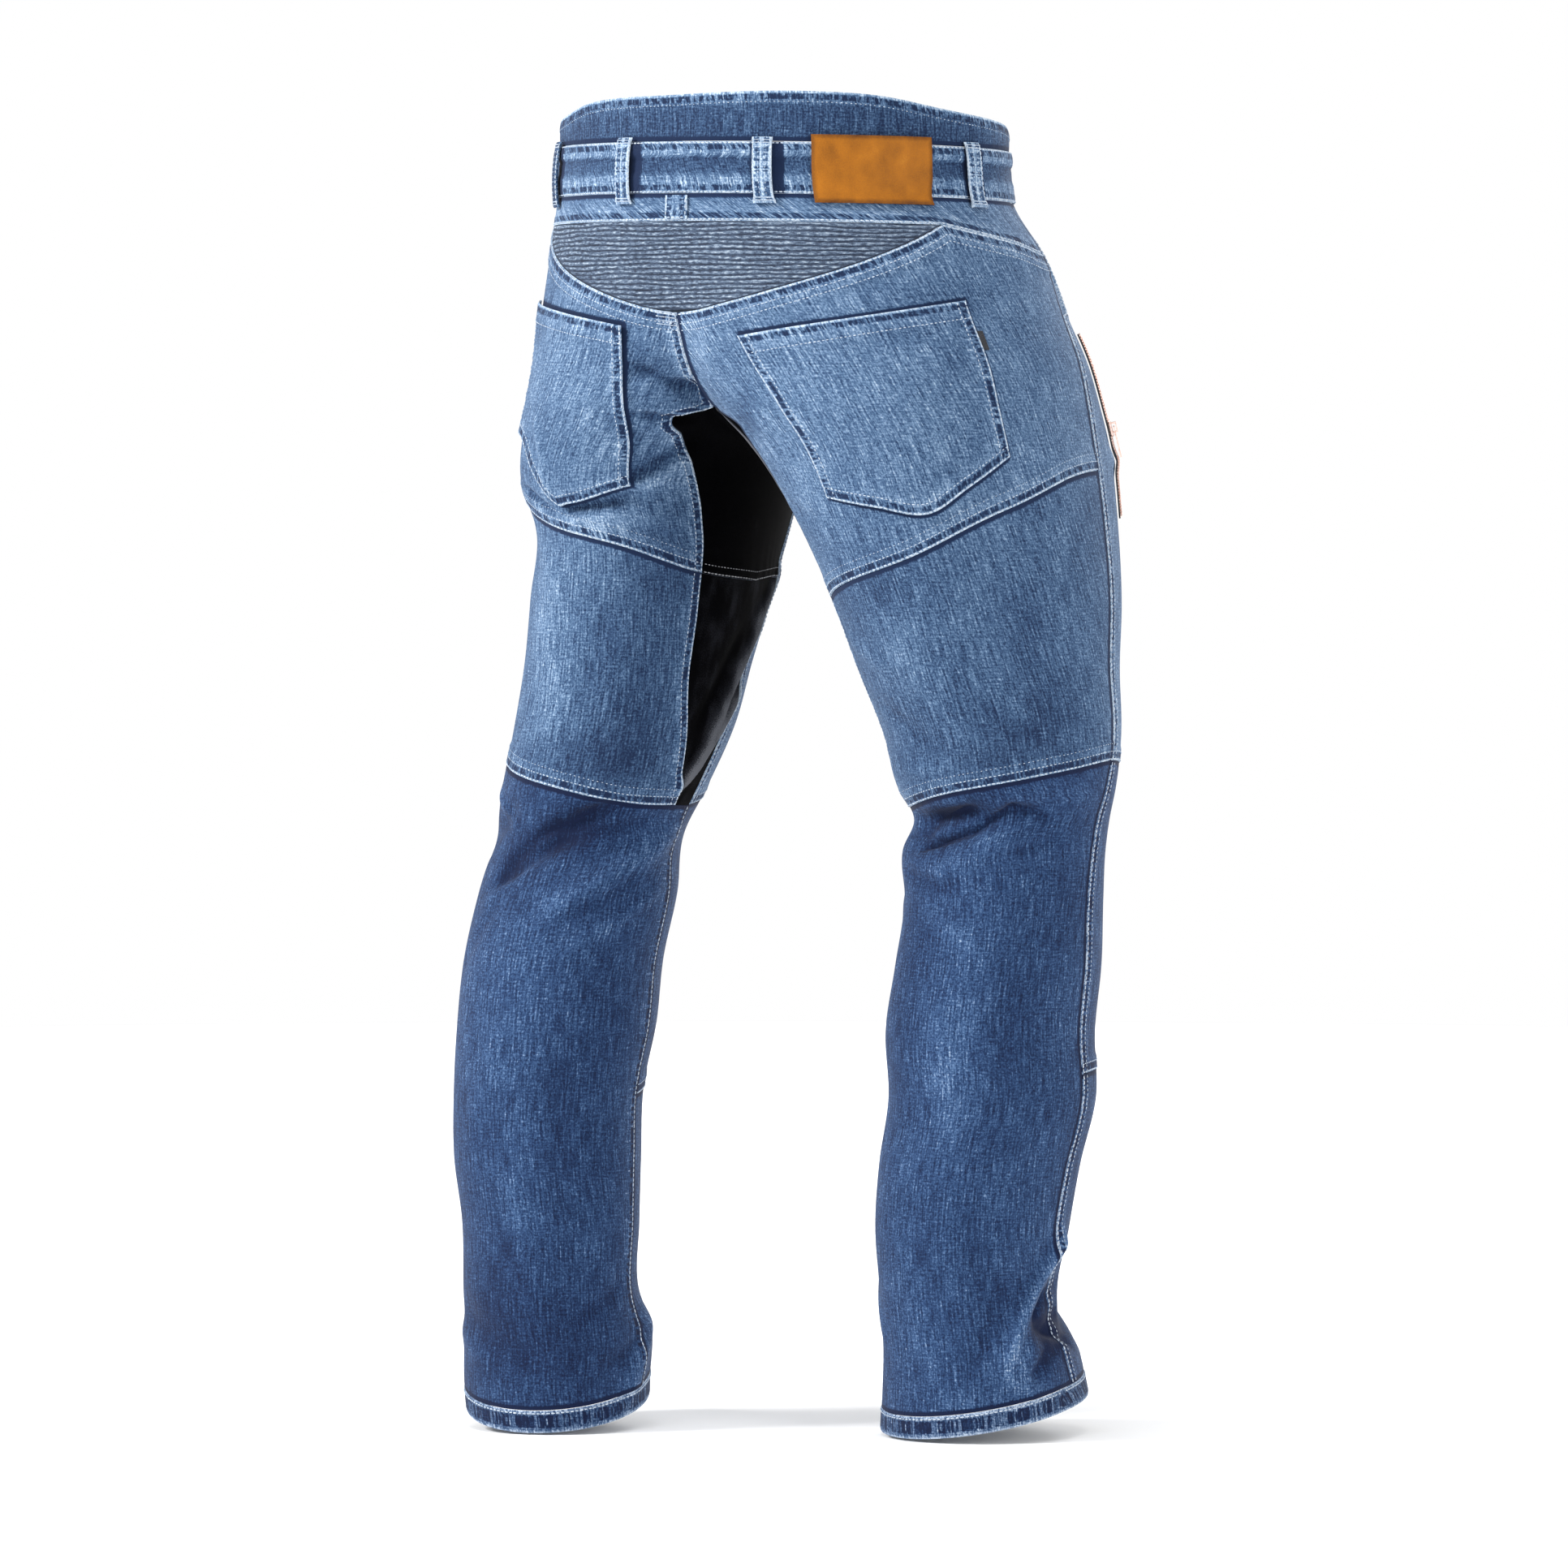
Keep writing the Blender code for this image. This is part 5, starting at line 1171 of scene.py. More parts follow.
@dataclass(frozen=True)
class Denim(Finish):
    """Washed twill: uneven warp threads, pale worn edges and dark knots between stitch rows."""

    name: str
    slot: str = "denim_worn"
    deep: Colour = (0.006, 0.016, 0.050)
    dark: Colour = (0.026, 0.058, 0.128)
    mid: Colour = (0.068, 0.126, 0.226)
    light: Colour = (0.170, 0.258, 0.390)
    pale: Colour = (0.460, 0.550, 0.650)
    tone: float = 0.46
    band: tuple[float, float] = (0.0026, 0.0066)

    def edge_effect(self, shader: Shader, away: Signal, s: Signal, seed: float) -> tuple[Signal, Signal]:
        """Worn line and dark knots beside one kind of edge.

        Returns:
            How pale the worn line is, and how dark the knots are.
        """
        uneven = shader.noise(shader.joined(s * 160.0 + seed, away * 90.0))
        line = away.step(0.0024, 0.0006) * (0.78 + uneven * 1.6)
        low, high = self.band
        inside = away.step(low - 0.0010, low + 0.0004) * away.step(high + 0.0004, high - 0.0010)
        beads = shader.noise(shader.joined(s * 390.0 + seed, away * 110.0 + seed), detail=1.0)
        ties = shader.noise(shader.joined(s * 620.0 - seed, away * 60.0), detail=1.0)
        reach = away.step(0.0150, 0.0120)
        knots = inside * (0.20 + beads.step(-0.05, 0.05) * 1.15)
        return line.larger(reach * ties.step(0.10, 0.20) * 0.60), knots

    def dress(self, shader: Shader) -> None:
        """Adds the nodes."""
        cloth = shader.uv("Cloth")
        across, down, _ = shader.parts(cloth)
        side_away, end_away, _ = shader.parts(shader.uv("Edges"))
        slub = shader.noise(cloth, (660, 46, 1), 3.0, 0.6)
        fine = shader.noise(cloth, (1700, 330, 1), 2.0, 0.6)
        weft = shader.noise(cloth, (90, 900, 1), 2.0)
        grain = shader.noise(cloth, (640, 560, 1), 2.0, 0.6)
        cloud = shader.noise(shader.place(), (16, 16, 11), 4.0, 0.55)
        fade = shader.attribute("fade")
        side_line, side_knots = self.edge_effect(shader, side_away, down, 3.0)
        end_line, end_knots = self.edge_effect(shader, end_away, across, 11.0)
        line = side_line.larger(end_line)
        knots = side_knots.larger(end_knots)
        near = side_away.smaller(end_away).step(0.0165, 0.0060)
        weave = slub * 1.25 + fine * 0.60 + weft * 0.55 + grain * 1.15
        # Painted shadow beside edges and pieces that lie over the cloth.
        painted_contact_shadow = shader.attribute("under").step(0.0034, 0.0010)
        # The washed-out tone carries wear and the painted shade and highlights of folds and belt loops.
        tone = weave + cloud * 0.40 + fade * 0.75 + near * 0.08 + self.tone
        tone = tone - knots * 0.42 + line * 0.38 - painted_contact_shadow * 0.95
        colour = shader.ramp(tone, ((0.0, self.deep), (0.27, self.dark), (0.50, self.mid), (0.74, self.light),
                                    (1.0, self.pale)))
        shader.set("Base Color", colour)
        shader.set("Roughness", 0.82 + fine * 0.3)
        height = slub * 0.5 + fine * 0.5 + grain * 0.45 - knots * 0.9 + weft * 0.25
        shader.set("Normal", shader.bump(height, 0.55, 0.0007))
        shader.set("Specular IOR Level", 0.15)
        shader.set("Sheen Weight", 0.05)
        shader.set("Sheen Roughness", 0.5)


@dataclass(frozen=True)
class ReverseDenim(Finish):
    """The pale back of the cloth."""

    name: str = "denim_reverse"

    def dress(self, shader: Shader) -> None:
        """Adds the nodes."""
        cloth = shader.uv("Cloth")
        slub = shader.noise(cloth, (900, 90, 1), 2.0)
        grain = shader.noise(cloth, (1500, 1500, 1), 1.0)
        tone = slub * 0.7 + grain * 0.6 + 0.5
        shader.set("Base Color", shader.ramp(tone, ((0.0, (0.10, 0.14, 0.22)), (1.0, (0.42, 0.47, 0.54)))))
        shader.set("Roughness", 0.9)
        shader.set("Normal", shader.bump(slub + grain, 0.4, 0.0006))


@dataclass(frozen=True)
class Stretch(Finish):
    """Black stretch weave of the gussets, with grey painted highlights on its crease ridges."""

    name: str = "stretch_weave"
    slot: str = "stretch_black"

    def dress(self, shader: Shader) -> None:
        """Adds the nodes."""
        cloth = shader.uv("Cloth")
        side_away, end_away, _ = shader.parts(shader.uv("Edges"))
        grain = shader.noise(cloth, (1300, 1300, 1), 1.0)
        slow = shader.noise(cloth, (60, 25, 1), 3.0)
        rub = side_away.smaller(end_away).step(0.0030, 0.0006)
        # The washed-out tone paints the gusset's creases: grey painted highlights on the ridges and painted
        # shade in the troughs.
        tone = grain * 0.5 + slow * 0.7 + 0.42 + shader.attribute("fade") * 1.2 + rub * 0.25
        colour = shader.ramp(tone, ((0.0, (0.0002, 0.0002, 0.0004)), (0.55, (0.0008, 0.0008, 0.0013)),
                                    (0.78, (0.018, 0.019, 0.024)), (1.0, (0.110, 0.115, 0.130))))
        shader.set("Base Color", colour)
        shader.set("Roughness", 0.72 + grain * 0.2)
        shader.set("Normal", shader.bump(grain, 0.4, 0.0005))
        shader.set("Specular IOR Level", 0.02)


@dataclass(frozen=True)
class RibbedDenim(Finish):
    """Accordion stretch denim: pale crests, partly wear and partly painted highlight, over grooves darkened
    as painted shade.
    """

    name: str = "denim_accordion"
    slot: str = "denim_ribbed"

    def dress(self, shader: Shader) -> None:
        """Adds the nodes."""
        cloth = shader.uv("Cloth")
        crest = shader.attribute("crest")
        dashes = shader.noise(cloth, (210, 700, 1), 3.0, 0.6)
        grain = shader.noise(cloth, (1500, 1300, 1), 1.0)
        cloud = shader.noise(cloth, (26, 40, 1), 3.0)
        # Crests paler and grooves near black: painted highlight and painted shade over the rib relief.
        tone = crest * (0.62 + dashes * 2.5) + grain * 0.6 + cloud * 0.30 - 0.05
        colour = shader.ramp(tone, ((0.0, (0.006, 0.012, 0.030)), (0.30, (0.034, 0.056, 0.100)),
                                    (0.58, (0.100, 0.145, 0.215)), (1.0, (0.360, 0.430, 0.510))))
        shader.set("Base Color", colour)
        shader.set("Roughness", 0.85)
        shader.set("Normal", shader.bump(grain + dashes, 0.5, 0.0006))


@dataclass(frozen=True)
class Thread(Finish):
    """Cotton topstitching thread, faded in the wash."""

    name: str
    dark: Colour = (0.200, 0.270, 0.370)
    pale: Colour = (0.680, 0.750, 0.840)

    def dress(self, shader: Shader) -> None:
        """Adds the nodes."""
        tone = shader.noise(shader.place(), (240, 240, 240), 2.0) * 1.6 + 0.5
        shader.set("Base Color", shader.ramp(tone, ((0.0, self.dark), (1.0, self.pale))))
        shader.set("Roughness", 0.8)


@dataclass(frozen=True)
class Leather(Finish):
    """Tan leather of the patch."""

    name: str = "tan_leather"
    slot: str = "leather_tan"

    def dress(self, shader: Shader) -> None:
        """Adds the nodes."""
        cloth = shader.uv("Cloth")
        side_away, end_away, _ = shader.parts(shader.uv("Edges"))
        grain = shader.noise(cloth, (900, 900, 1), 2.0)
        cloud = shader.noise(cloth, (60, 45, 1), 4.0)
        rub = side_away.smaller(end_away).step(0.0045, 0.0004)
        tone = grain * 0.35 + cloud * 0.8 + 0.5 - rub * 0.34
        colour = shader.ramp(tone, ((0.0, (0.080, 0.024, 0.002)), (0.35, (0.230, 0.076, 0.003)),
                                    (0.62, (0.350, 0.118, 0.005)), (1.0, (0.540, 0.220, 0.020))))
        shader.set("Base Color", colour)
        shader.set("Roughness", 0.62 + grain * 0.4)
        shader.set("Specular IOR Level", 0.2)
        shader.set("Normal", shader.bump(grain + cloud * 0.3, 0.35, 0.0005))


@dataclass(frozen=True)
class Copper(Finish):
    """Rose copper of the zip and the button."""

    name: str = "zip_metal"
    slot: str = "zip_copper"

    def dress(self, shader: Shader) -> None:
        """Adds the nodes."""
        wear = shader.noise(shader.place(), (420, 420, 420), 3.0)
        colour = shader.ramp(wear * 1.4 + 0.5, ((0.0, (0.500, 0.290, 0.230)), (0.5, (0.860, 0.620, 0.540)),
                                                (1.0, (0.950, 0.840, 0.790))))
        shader.set("Base Color", colour)
        shader.set("Roughness", 0.34 + wear * 0.35)
        shader.set("Metallic", 1.0)


@dataclass(frozen=True)
class Tape(Finish):
    """Woven tape of the zip and the small pocket tab."""

    name: str = "woven_tape"
    slot: str = "tape_black"

    def dress(self, shader: Shader) -> None:
        """Adds the nodes."""
        grain = shader.noise(shader.place(), (1500, 1500, 1500), 1.0)
        colour = shader.ramp(grain + 0.5, ((0.3, (0.006, 0.006, 0.008)), (0.8, (0.040, 0.042, 0.050))))
        shader.set("Base Color", colour)
        shader.set("Roughness", 0.8)
        shader.set("Normal", shader.bump(grain, 0.5, 0.0004))


WORN = Denim("denim_worn_face")
DARK = Denim("denim_dark_face", "denim_dark", tone=0.375, deep=(0.0025, 0.008, 0.034),
             dark=(0.009, 0.026, 0.078), mid=(0.025, 0.060, 0.146), light=(0.082, 0.152, 0.286),
             pale=(0.400, 0.480, 0.600))
HEMMED = Denim("denim_hem_face", "denim_dark", tone=0.43, deep=DARK.deep, dark=DARK.dark,
               mid=(0.036, 0.072, 0.150), light=(0.120, 0.180, 0.290), pale=DARK.pale, band=(0.0040, 0.0145))
REVERSE = ReverseDenim()
BLACK = Stretch()
ACCORDION = RibbedDenim()
WHITE_THREAD = Thread("thread_pale")
GREY_THREAD = Thread("thread_grey", dark=(0.160, 0.165, 0.180), pale=(0.430, 0.440, 0.460))
TAN = Leather()
COPPER = Copper()
TAPE = Tape()


@dataclass
class Tailor:
    """Cuts and sews cloth pieces: turns seams into shells and shells into objects."""

    needle: Needle = field(default_factory=Needle)

    def sew(self, shell: Shell, finish: Finish, thread: Finish = WHITE_THREAD, held: str = "hung",
            extra: Sequence[Array] = (), inside: Finish | None = REVERSE) -> None:
        """Builds a shell with its stitches and works out its cut.

        Args:
            shell: The piece.
            finish: Finish of its face.
            thread: Finish of the stitches.
            held: How the cloth is held; not used.
            extra: More rows of stitches.
            inside: Finish of its back.
        """
        piece = shell.build(finish, inside)
        rows = [*shell.stitch_rows(self.needle), *extra]
        stitches = []
        if rows:
            stitches.append(self.needle.sew(f"{shell.name}_stitches", rows, thread.material(), finish.slot))
        declare(piece, shell, stitches)
        LOG.info("%s: %d points, %d stitch rows", piece.name, shell.fade.size, len(rows))


@dataclass
class LegPanel:
    """A piece of a leg between four seams.

    Attributes:
        side: Which leg.
        left: Angle of the seam where the rows start.
        right: Angle of the seam where they end.
        top: Height of the upper seam.
        bottom: Height of the lower seam.
        width: Rough width of the piece, for the number of points across.
        height: Rough height of the piece, for the number of points down.
        anchor: Angle that the cloth's grain is straight at.
        side_gap: Gap to the neighbours at the sides.
        lift: Distance from the worn form, for a piece laid on a panel.
        troughs: Share of the troughs that the piece follows.
        cell: Distance between points.
        fine: Length at the top with closer points.
    """

    side: Side
    left: Line
    right: Line
    top: Line
    bottom: Line
    width: float
    height: float
    anchor: float
    side_gap: float = HALF_GAP
    lift: float = 0.0
    troughs: float = 1.0
    cell: float = CELL
    fine: float = 0.0

    def shifted(self, seam: Line, angle: Array, way: int) -> Array:
        """Seam height moved into the piece by half the seam gap."""
        degree = FORM.metre_per_degree(self.side, angle, seam(angle))
        slope = (seam(angle + 0.5) - seam(angle - 0.5)) / degree
        return seam(angle) + way * HALF_GAP * np.sqrt(1 + slope**2)

    def inside(self, edge: Line, z: Array, way: int) -> Array:
        """Edge angle moved into the piece by the side gap."""
        degree = FORM.metre_per_degree(self.side, edge(z), z)
        slope = np.clip((edge(z - 0.001) - edge(z + 0.001)) / 0.002 * degree, -2, 2)
        return edge(z) + way * self.side_gap * np.sqrt(1 + slope**2) / degree

    def solve(self) -> tuple[Array, Array]:
        """Angles and heights of the grid."""
        across = shares(self.width, self.cell)[None, :]
        down = shares(self.height, self.cell, self.fine)[:, None]
        middle = float(self.top(np.array(0.0)) + self.bottom(np.array(0.0))) / 2
        z = np.full((down.size, across.size), middle)
        for _ in range(SOLVE_STEPS):
            left = self.inside(self.left, z[:, :1], 1)
            right = self.inside(self.right, z[:, -1:], -1)
            angle = left * (1 - across) + right * across
            high = self.shifted(self.top, angle, -1)
            low = self.shifted(self.bottom, angle, 1)
            z = (z + high * (1 - down) + low * down) / 2
        return angle, z

    def shell(self, name: str, seams: dict[Rim, SeamStyle], tone: float = 0.0, **options: object) -> Shell:
        """The panel as a shell.

        Args:
            name: Name of the piece.
            seams: How each edge is sewn.
            tone: Amount added to the fade.
            options: Further fields of the shell.

        Returns:
            The shell.
        """
        angle, z = self.solve()
        points, normal = FORM.surface(self.side, angle, z, self.troughs, self.lift)
        arc = Shell.arcs(points, 1)
        zero = np.array([np.interp(self.anchor * way, row * way, run)
                         for row, run, way in zip(angle, arc, np.where(angle[:, 0] < angle[:, -1], 1, -1))])
        along = np.stack([arc - zero[:, None], -z], axis=-1)
        return Shell(name, points, normal, along, FORM.fade(self.side, angle, z) + tone, seams, **options)


def flat(z: float) -> Line:
    """A level seam."""
    return lambda angle: np.full(np.shape(angle), float(z))


def upright(angle: float) -> Line:
    """A seam at one angle."""
    return lambda z: np.full(np.shape(z), float(angle))


@dataclass
class Leg:
    """Panels of one leg.

    Attributes:
        side: Which leg.
        pocket_lift: Distance of the back pocket from the seat.
        pocket_wall: Thickness of the pocket's cloth.
        pocket_hem: Height of the fold at the pocket's top.
        hem_wall: Thickness of the turned-up hem.
        fly_length: Length of the fly.
        fly_widths: Width of the fly at its top, near its bottom and at its bottom.
        fly_lift: Distance of the fly from the front panel.
        fly_wall: Thickness of the fly.
        fly_columns: Points across the fly.
    """

    side: Side
    pocket_lift: float = 0.0020
    pocket_wall: float = 0.0013
    pocket_hem: float = 0.0150
    hem_wall: float = 0.0026
    fly_length: float = 0.132
    fly_widths: Triple = (0.0185, 0.0170, 0.0060)
    fly_lift: float = 0.0026
    fly_wall: float = 0.0012
    fly_columns: int = 11

    def __post_init__(self) -> None:
        """Sets up the seams of this leg."""
        self.label = "left" if self.side == LEFT else "right"
        self.calf_tone = -0.05 if self.side == LEFT else 0.0
        self.outseam = edge_line(SIDE_SEAM)
        self.cross = seam_line(CROSS_SEAM[self.side])
        self.knee = seam_line(KNEE_SEAM)
        self.gusset_back = edge_line(GUSSET_BACK[self.side])
        self.gusset_front = edge_line(GUSSET_FRONT)

    def seat_top(self, angle: Array) -> Array:
        """Top seam of the seat: under the yoke at the side, then under the stretch panel."""
        ribs, yoke = Curve(RIB_EDGE, "place", "z"), Curve(YOKE_EDGE, "place", "z")
        z = np.full(np.shape(angle), RIB_TOP)
        for _ in range(SEAT_TOP_STEPS):
            place = 90 * (1 - angle / FORM.middle_angle(z))
            z = np.where(place < RIB_TIP_PLACE, ribs(place), yoke(place))
        return z

    def hem_low(self, angle: Array) -> Array:
        """Height of the bottom edge."""
        lowest, middle, dip = HEM_DIP[self.side]
        return middle - dip * np.cos(np.radians(angle - lowest))

    def hem_high(self, angle: Array) -> Array:
        """Height of the stitched top of the hem."""
        return self.hem_low(angle) + HEM_HEIGHT

    def seat_inner(self, z: Array) -> Array:
        """Centre seam, then the gusset's back edge."""
        middle = FORM.middle_angle(z)
        return np.where(z > FORK_Z, middle, np.minimum(middle, self.gusset_back(z)))

    def front_inner(self, z: Array) -> Array:
        """Centre front seam, then the gusset's front edge."""
        middle = -FORM.middle_angle(z)
        return np.where(z > FORK_Z, middle, np.maximum(middle, self.gusset_front(z) - 360))

    def front_outer(self, z: Array) -> Array:
        """Mouth of the hip pocket, then the side seam."""
        mouth = edge_line(POCKET_MOUTH)
        return np.where(z > MOUTH_END_Z, mouth(z), self.outseam(z))

    def shin_level(self, angle: Array) -> Array:
        """Seam between the knee panel and the shin panel."""
        return (self.knee(angle) + self.hem_high(angle)) / 2

    @staticmethod
    def gusset_top(angle: Array) -> Array:
        """Top edge of the gusset: a short seam to the fork, then the middle seam under the body."""
        wrapped = np.where(angle > 180, 360 - angle, angle)
        rim = np.interp(wrapped, (GUSSET_TIP_ANGLE, FORK_ANGLE), (GUSSET_TIP_Z, FORK_Z))
        return np.minimum(rim, FORM.centre_height(wrapped))

    def pocket_distance(self, panel: LegPanel) -> Array:
        """Distance of a panel's points from the back pocket, negative under it."""
        angle, z = panel.solve()
        shape = BACK_POCKET[self.side]
        degree = FORM.metre_per_degree(self.side, angle, z)
        outer, inner = edge_line(shape.outer)(z), edge_line(shape.inner)(z)
        high, low = seam_line(shape.top)(angle), seam_line(shape.bottom)(angle)
        slope = (seam_line(shape.bottom)(angle + 0.5) - seam_line(shape.bottom)(angle - 0.5)) / degree
        below = (low - z) / np.sqrt(1 + slope**2)
        sides = np.maximum(outer - angle, angle - inner) * degree
        return np.maximum(np.maximum(sides, below), z - high)

    def build(self, tailor: Tailor) -> None:
        """Builds all panels of the leg."""
        self.build_back(tailor)
        self.build_gusset(tailor)
        self.build_front(tailor)
        self.build_hem(tailor)
        self.build_pocket(tailor)

    def add(self, tailor: Tailor, name: str, panel: LegPanel, seams: dict[Rim, SeamStyle], finish: Finish,
            thread: Finish = WHITE_THREAD, inside: Finish | None = REVERSE, tone: float = 0.0) -> None:
        """Sews one panel of the leg."""
        tailor.sew(panel.shell(f"{name}_{self.label}", seams, tone), finish, thread, inside=inside)

    def build_back(self, tailor: Tailor) -> None:
        """Seat, thigh and calf."""
        seat = LegPanel(self.side, self.outseam, self.seat_inner, self.seat_top, self.cross, 0.250, 0.200, 80,
                        cell=0.0023)
        centre = FELLED if self.side == LEFT else UNDER
        # The seat gets a painted shadow along the back pocket's outline.
        shell = seat.shell(f"seat_{self.label}", sewn(VALLEY, centre, WIDE, TRIPLE),
                           covered=self.pocket_distance(seat))
        tack = [tailor.needle.row(shell.points[row, -8:-1], shell.normals[row, -8:-1], Stitch.TACK)
                for row in range(1, 6)] if self.side == LEFT else []
        tailor.sew(shell, WORN, extra=tack)
        thigh = LegPanel(self.side, self.outseam, self.gusset_back, self.cross, self.knee, 0.260, 0.200, 80)
        self.add(tailor, "thigh_back", thigh, sewn(VALLEY, FELLED, UNDER, TRIPLE), WORN, tone=-0.10)
        calf = LegPanel(self.side, self.outseam, upright(INSEAM_ANGLE), self.knee, self.hem_high, 0.250,
                        0.460, 80, fine=0.085)
        self.add(tailor, "calf_back", calf, sewn(UNDER, EDGED, UNDER, UNDER), DARK, tone=self.calf_tone)

    def build_gusset(self, tailor: Tailor) -> None:
        """Black stretch gusset, in two pieces."""
        # The lower gusset's raised tone brightens its grey painted highlights on the creases.
        for name, top, bottom, width, height, hem, tone in (
                ("gusset_upper", self.gusset_top, self.cross, 0.190, 0.120, FELLED, 0.0),
                ("gusset_lower", self.cross, self.knee, 0.090, 0.165, UNDER, 0.13)):
            panel = LegPanel(self.side, self.gusset_back, self.gusset_front, top, bottom, width, height, 180,
                             side_gap=GUSSET_GAP)
            self.add(tailor, name, panel, sewn(UNDER, UNDER, UNDER, hem), BLACK, GREY_THREAD, None, tone)

    def build_front(self, tailor: Tailor) -> None:
        """Front, knee and shin panels, and the facing in the hip pocket."""
        front = LegPanel(self.side, self.front_inner, self.front_outer, flat(WAIST_BOTTOM), self.knee, 0.230,
                         0.430, -80)
        shell = front.shell(f"front_{self.label}", sewn(FELLED, FELLED, UNDER, FELLED))
        tailor.sew(shell, WORN)
        if self.side == LEFT:
            self.build_fly(shell, tailor)
        facing = LegPanel(self.side, edge_line(POCKET_MOUTH, MOUTH_OPENING), self.outseam, flat(WAIST_BOTTOM),
                          flat(FACING_END_Z), 0.040, 0.090, -24, lift=-FACING_SUNK)
        self.add(tailor, "hip_facing", facing, sewn(PLAIN, UNDER, UNDER, PLAIN), WORN)
        inseam = upright(INSEAM_ANGLE - 360)
        knee = LegPanel(self.side, inseam, self.outseam, self.knee, self.shin_level, 0.240, 0.240, -80)
        self.add(tailor, "knee_front", knee, sewn(UNDER, FELLED, UNDER, FELLED), DARK)
        shin = LegPanel(self.side, inseam, self.outseam, self.shin_level, self.hem_high, 0.240, 0.230, -80)
        self.add(tailor, "shin_front", shin, sewn(UNDER, FELLED, UNDER, UNDER), DARK)

    def build_fly(self, front: Shell, tailor: Tailor) -> None:
        """Fly on the left front, cut from that panel's own points and moved out."""
        rows = int(np.searchsorted(front.arc_down[:, 0], self.fly_length))
        widths = np.interp(np.linspace(0, 1, rows), (0, 0.72, 1), self.fly_widths)
        places = np.linspace(0, 1, self.fly_columns)[None, :] * widths[:, None] + FLY_START
        points, normals, along, fade = ([], [], [], [])
        for row, place in enumerate(places, 1):
            arc = front.arc_across[row]
            for made, source in ((points, front.points[row]), (normals, front.normals[row])):
                made.append(np.stack([np.interp(place, arc, source[:, k]) for k in range(3)], axis=-1))
            along.append(np.stack([place, np.full(self.fly_columns, front.along[row, 0, 1])], axis=-1))
            fade.append(np.interp(place, arc, front.fade[row]))
        points, normals = np.array(points), unit(np.array(normals))
        shell = Shell("fly", points + normals * self.fly_lift, normals, np.array(along), np.array(fade),
                      sewn(EDGED, FELLED, UNDER, EDGED), wall=self.fly_wall, rest_on="front_left")
        tailor.sew(shell, WORN, held="laid")

    def build_hem(self, tailor: Tailor) -> None:
        """Turned-up hem: a thicker ring with one row of stitches under its top."""
        angle = np.linspace(0, 360, 161)[None, :]
        down = shares(HEM_HEIGHT, 0.0022)[:, None]
        z = (self.hem_high(angle) - HALF_GAP) * (1 - down) + self.hem_low(angle) * down
        angle = np.broadcast_to(angle, z.shape)
        points, normal = FORM.surface(self.side, angle, z)
        along = np.stack([Shell.arcs(points, 1), -z], axis=-1)
        hem = SeamStyle(True, band=0.03, lift=0.0003, rows=(StitchRow(0.0022, Stitch.BOLD),), pucker=0.00030)
        shell = Shell(f"hem_{self.label}", points, normal, along, FORM.fade(self.side, angle, z) + 0.02,
                      {Rim.TOP: hem, Rim.BOTTOM: LOOSE}, wall=self.hem_wall, closed=True,
                      rest_on=f"calf_back_{self.label}")
        tailor.sew(shell, HEMMED, held="folded")

    def build_pocket(self, tailor: Tailor) -> None:
        """Patch pocket on the seat, with a folded hem at its top."""
        shape = BACK_POCKET[self.side]
        panel = LegPanel(self.side, edge_line(shape.outer), edge_line(shape.inner), seam_line(shape.top),
                         seam_line(shape.bottom), 0.160, 0.140, 70, lift=self.pocket_lift + self.pocket_wall,
                         troughs=0.4, cell=0.0026)
        hem = SeamStyle(True, band=self.pocket_hem, lift=0.0006,
                        rows=(StitchRow(self.pocket_hem - 0.0010, Stitch.EVEN),), pucker=0.00012)
        side = SeamStyle(True, band=0.0090, lift=0.0004,
                         rows=(CLOSE, StitchRow(0.0080, Stitch.EVEN)), pucker=0.00040)
        shell = panel.shell(f"back_pocket_{self.label}", {Rim.TOP: hem, Rim.LEFT: side, Rim.RIGHT: side,
                                                          Rim.BOTTOM: side}, tone=0.0, wall=self.pocket_wall,
                            rest_on=f"seat_{self.label}")
        tailor.sew(shell, WORN, held="laid")


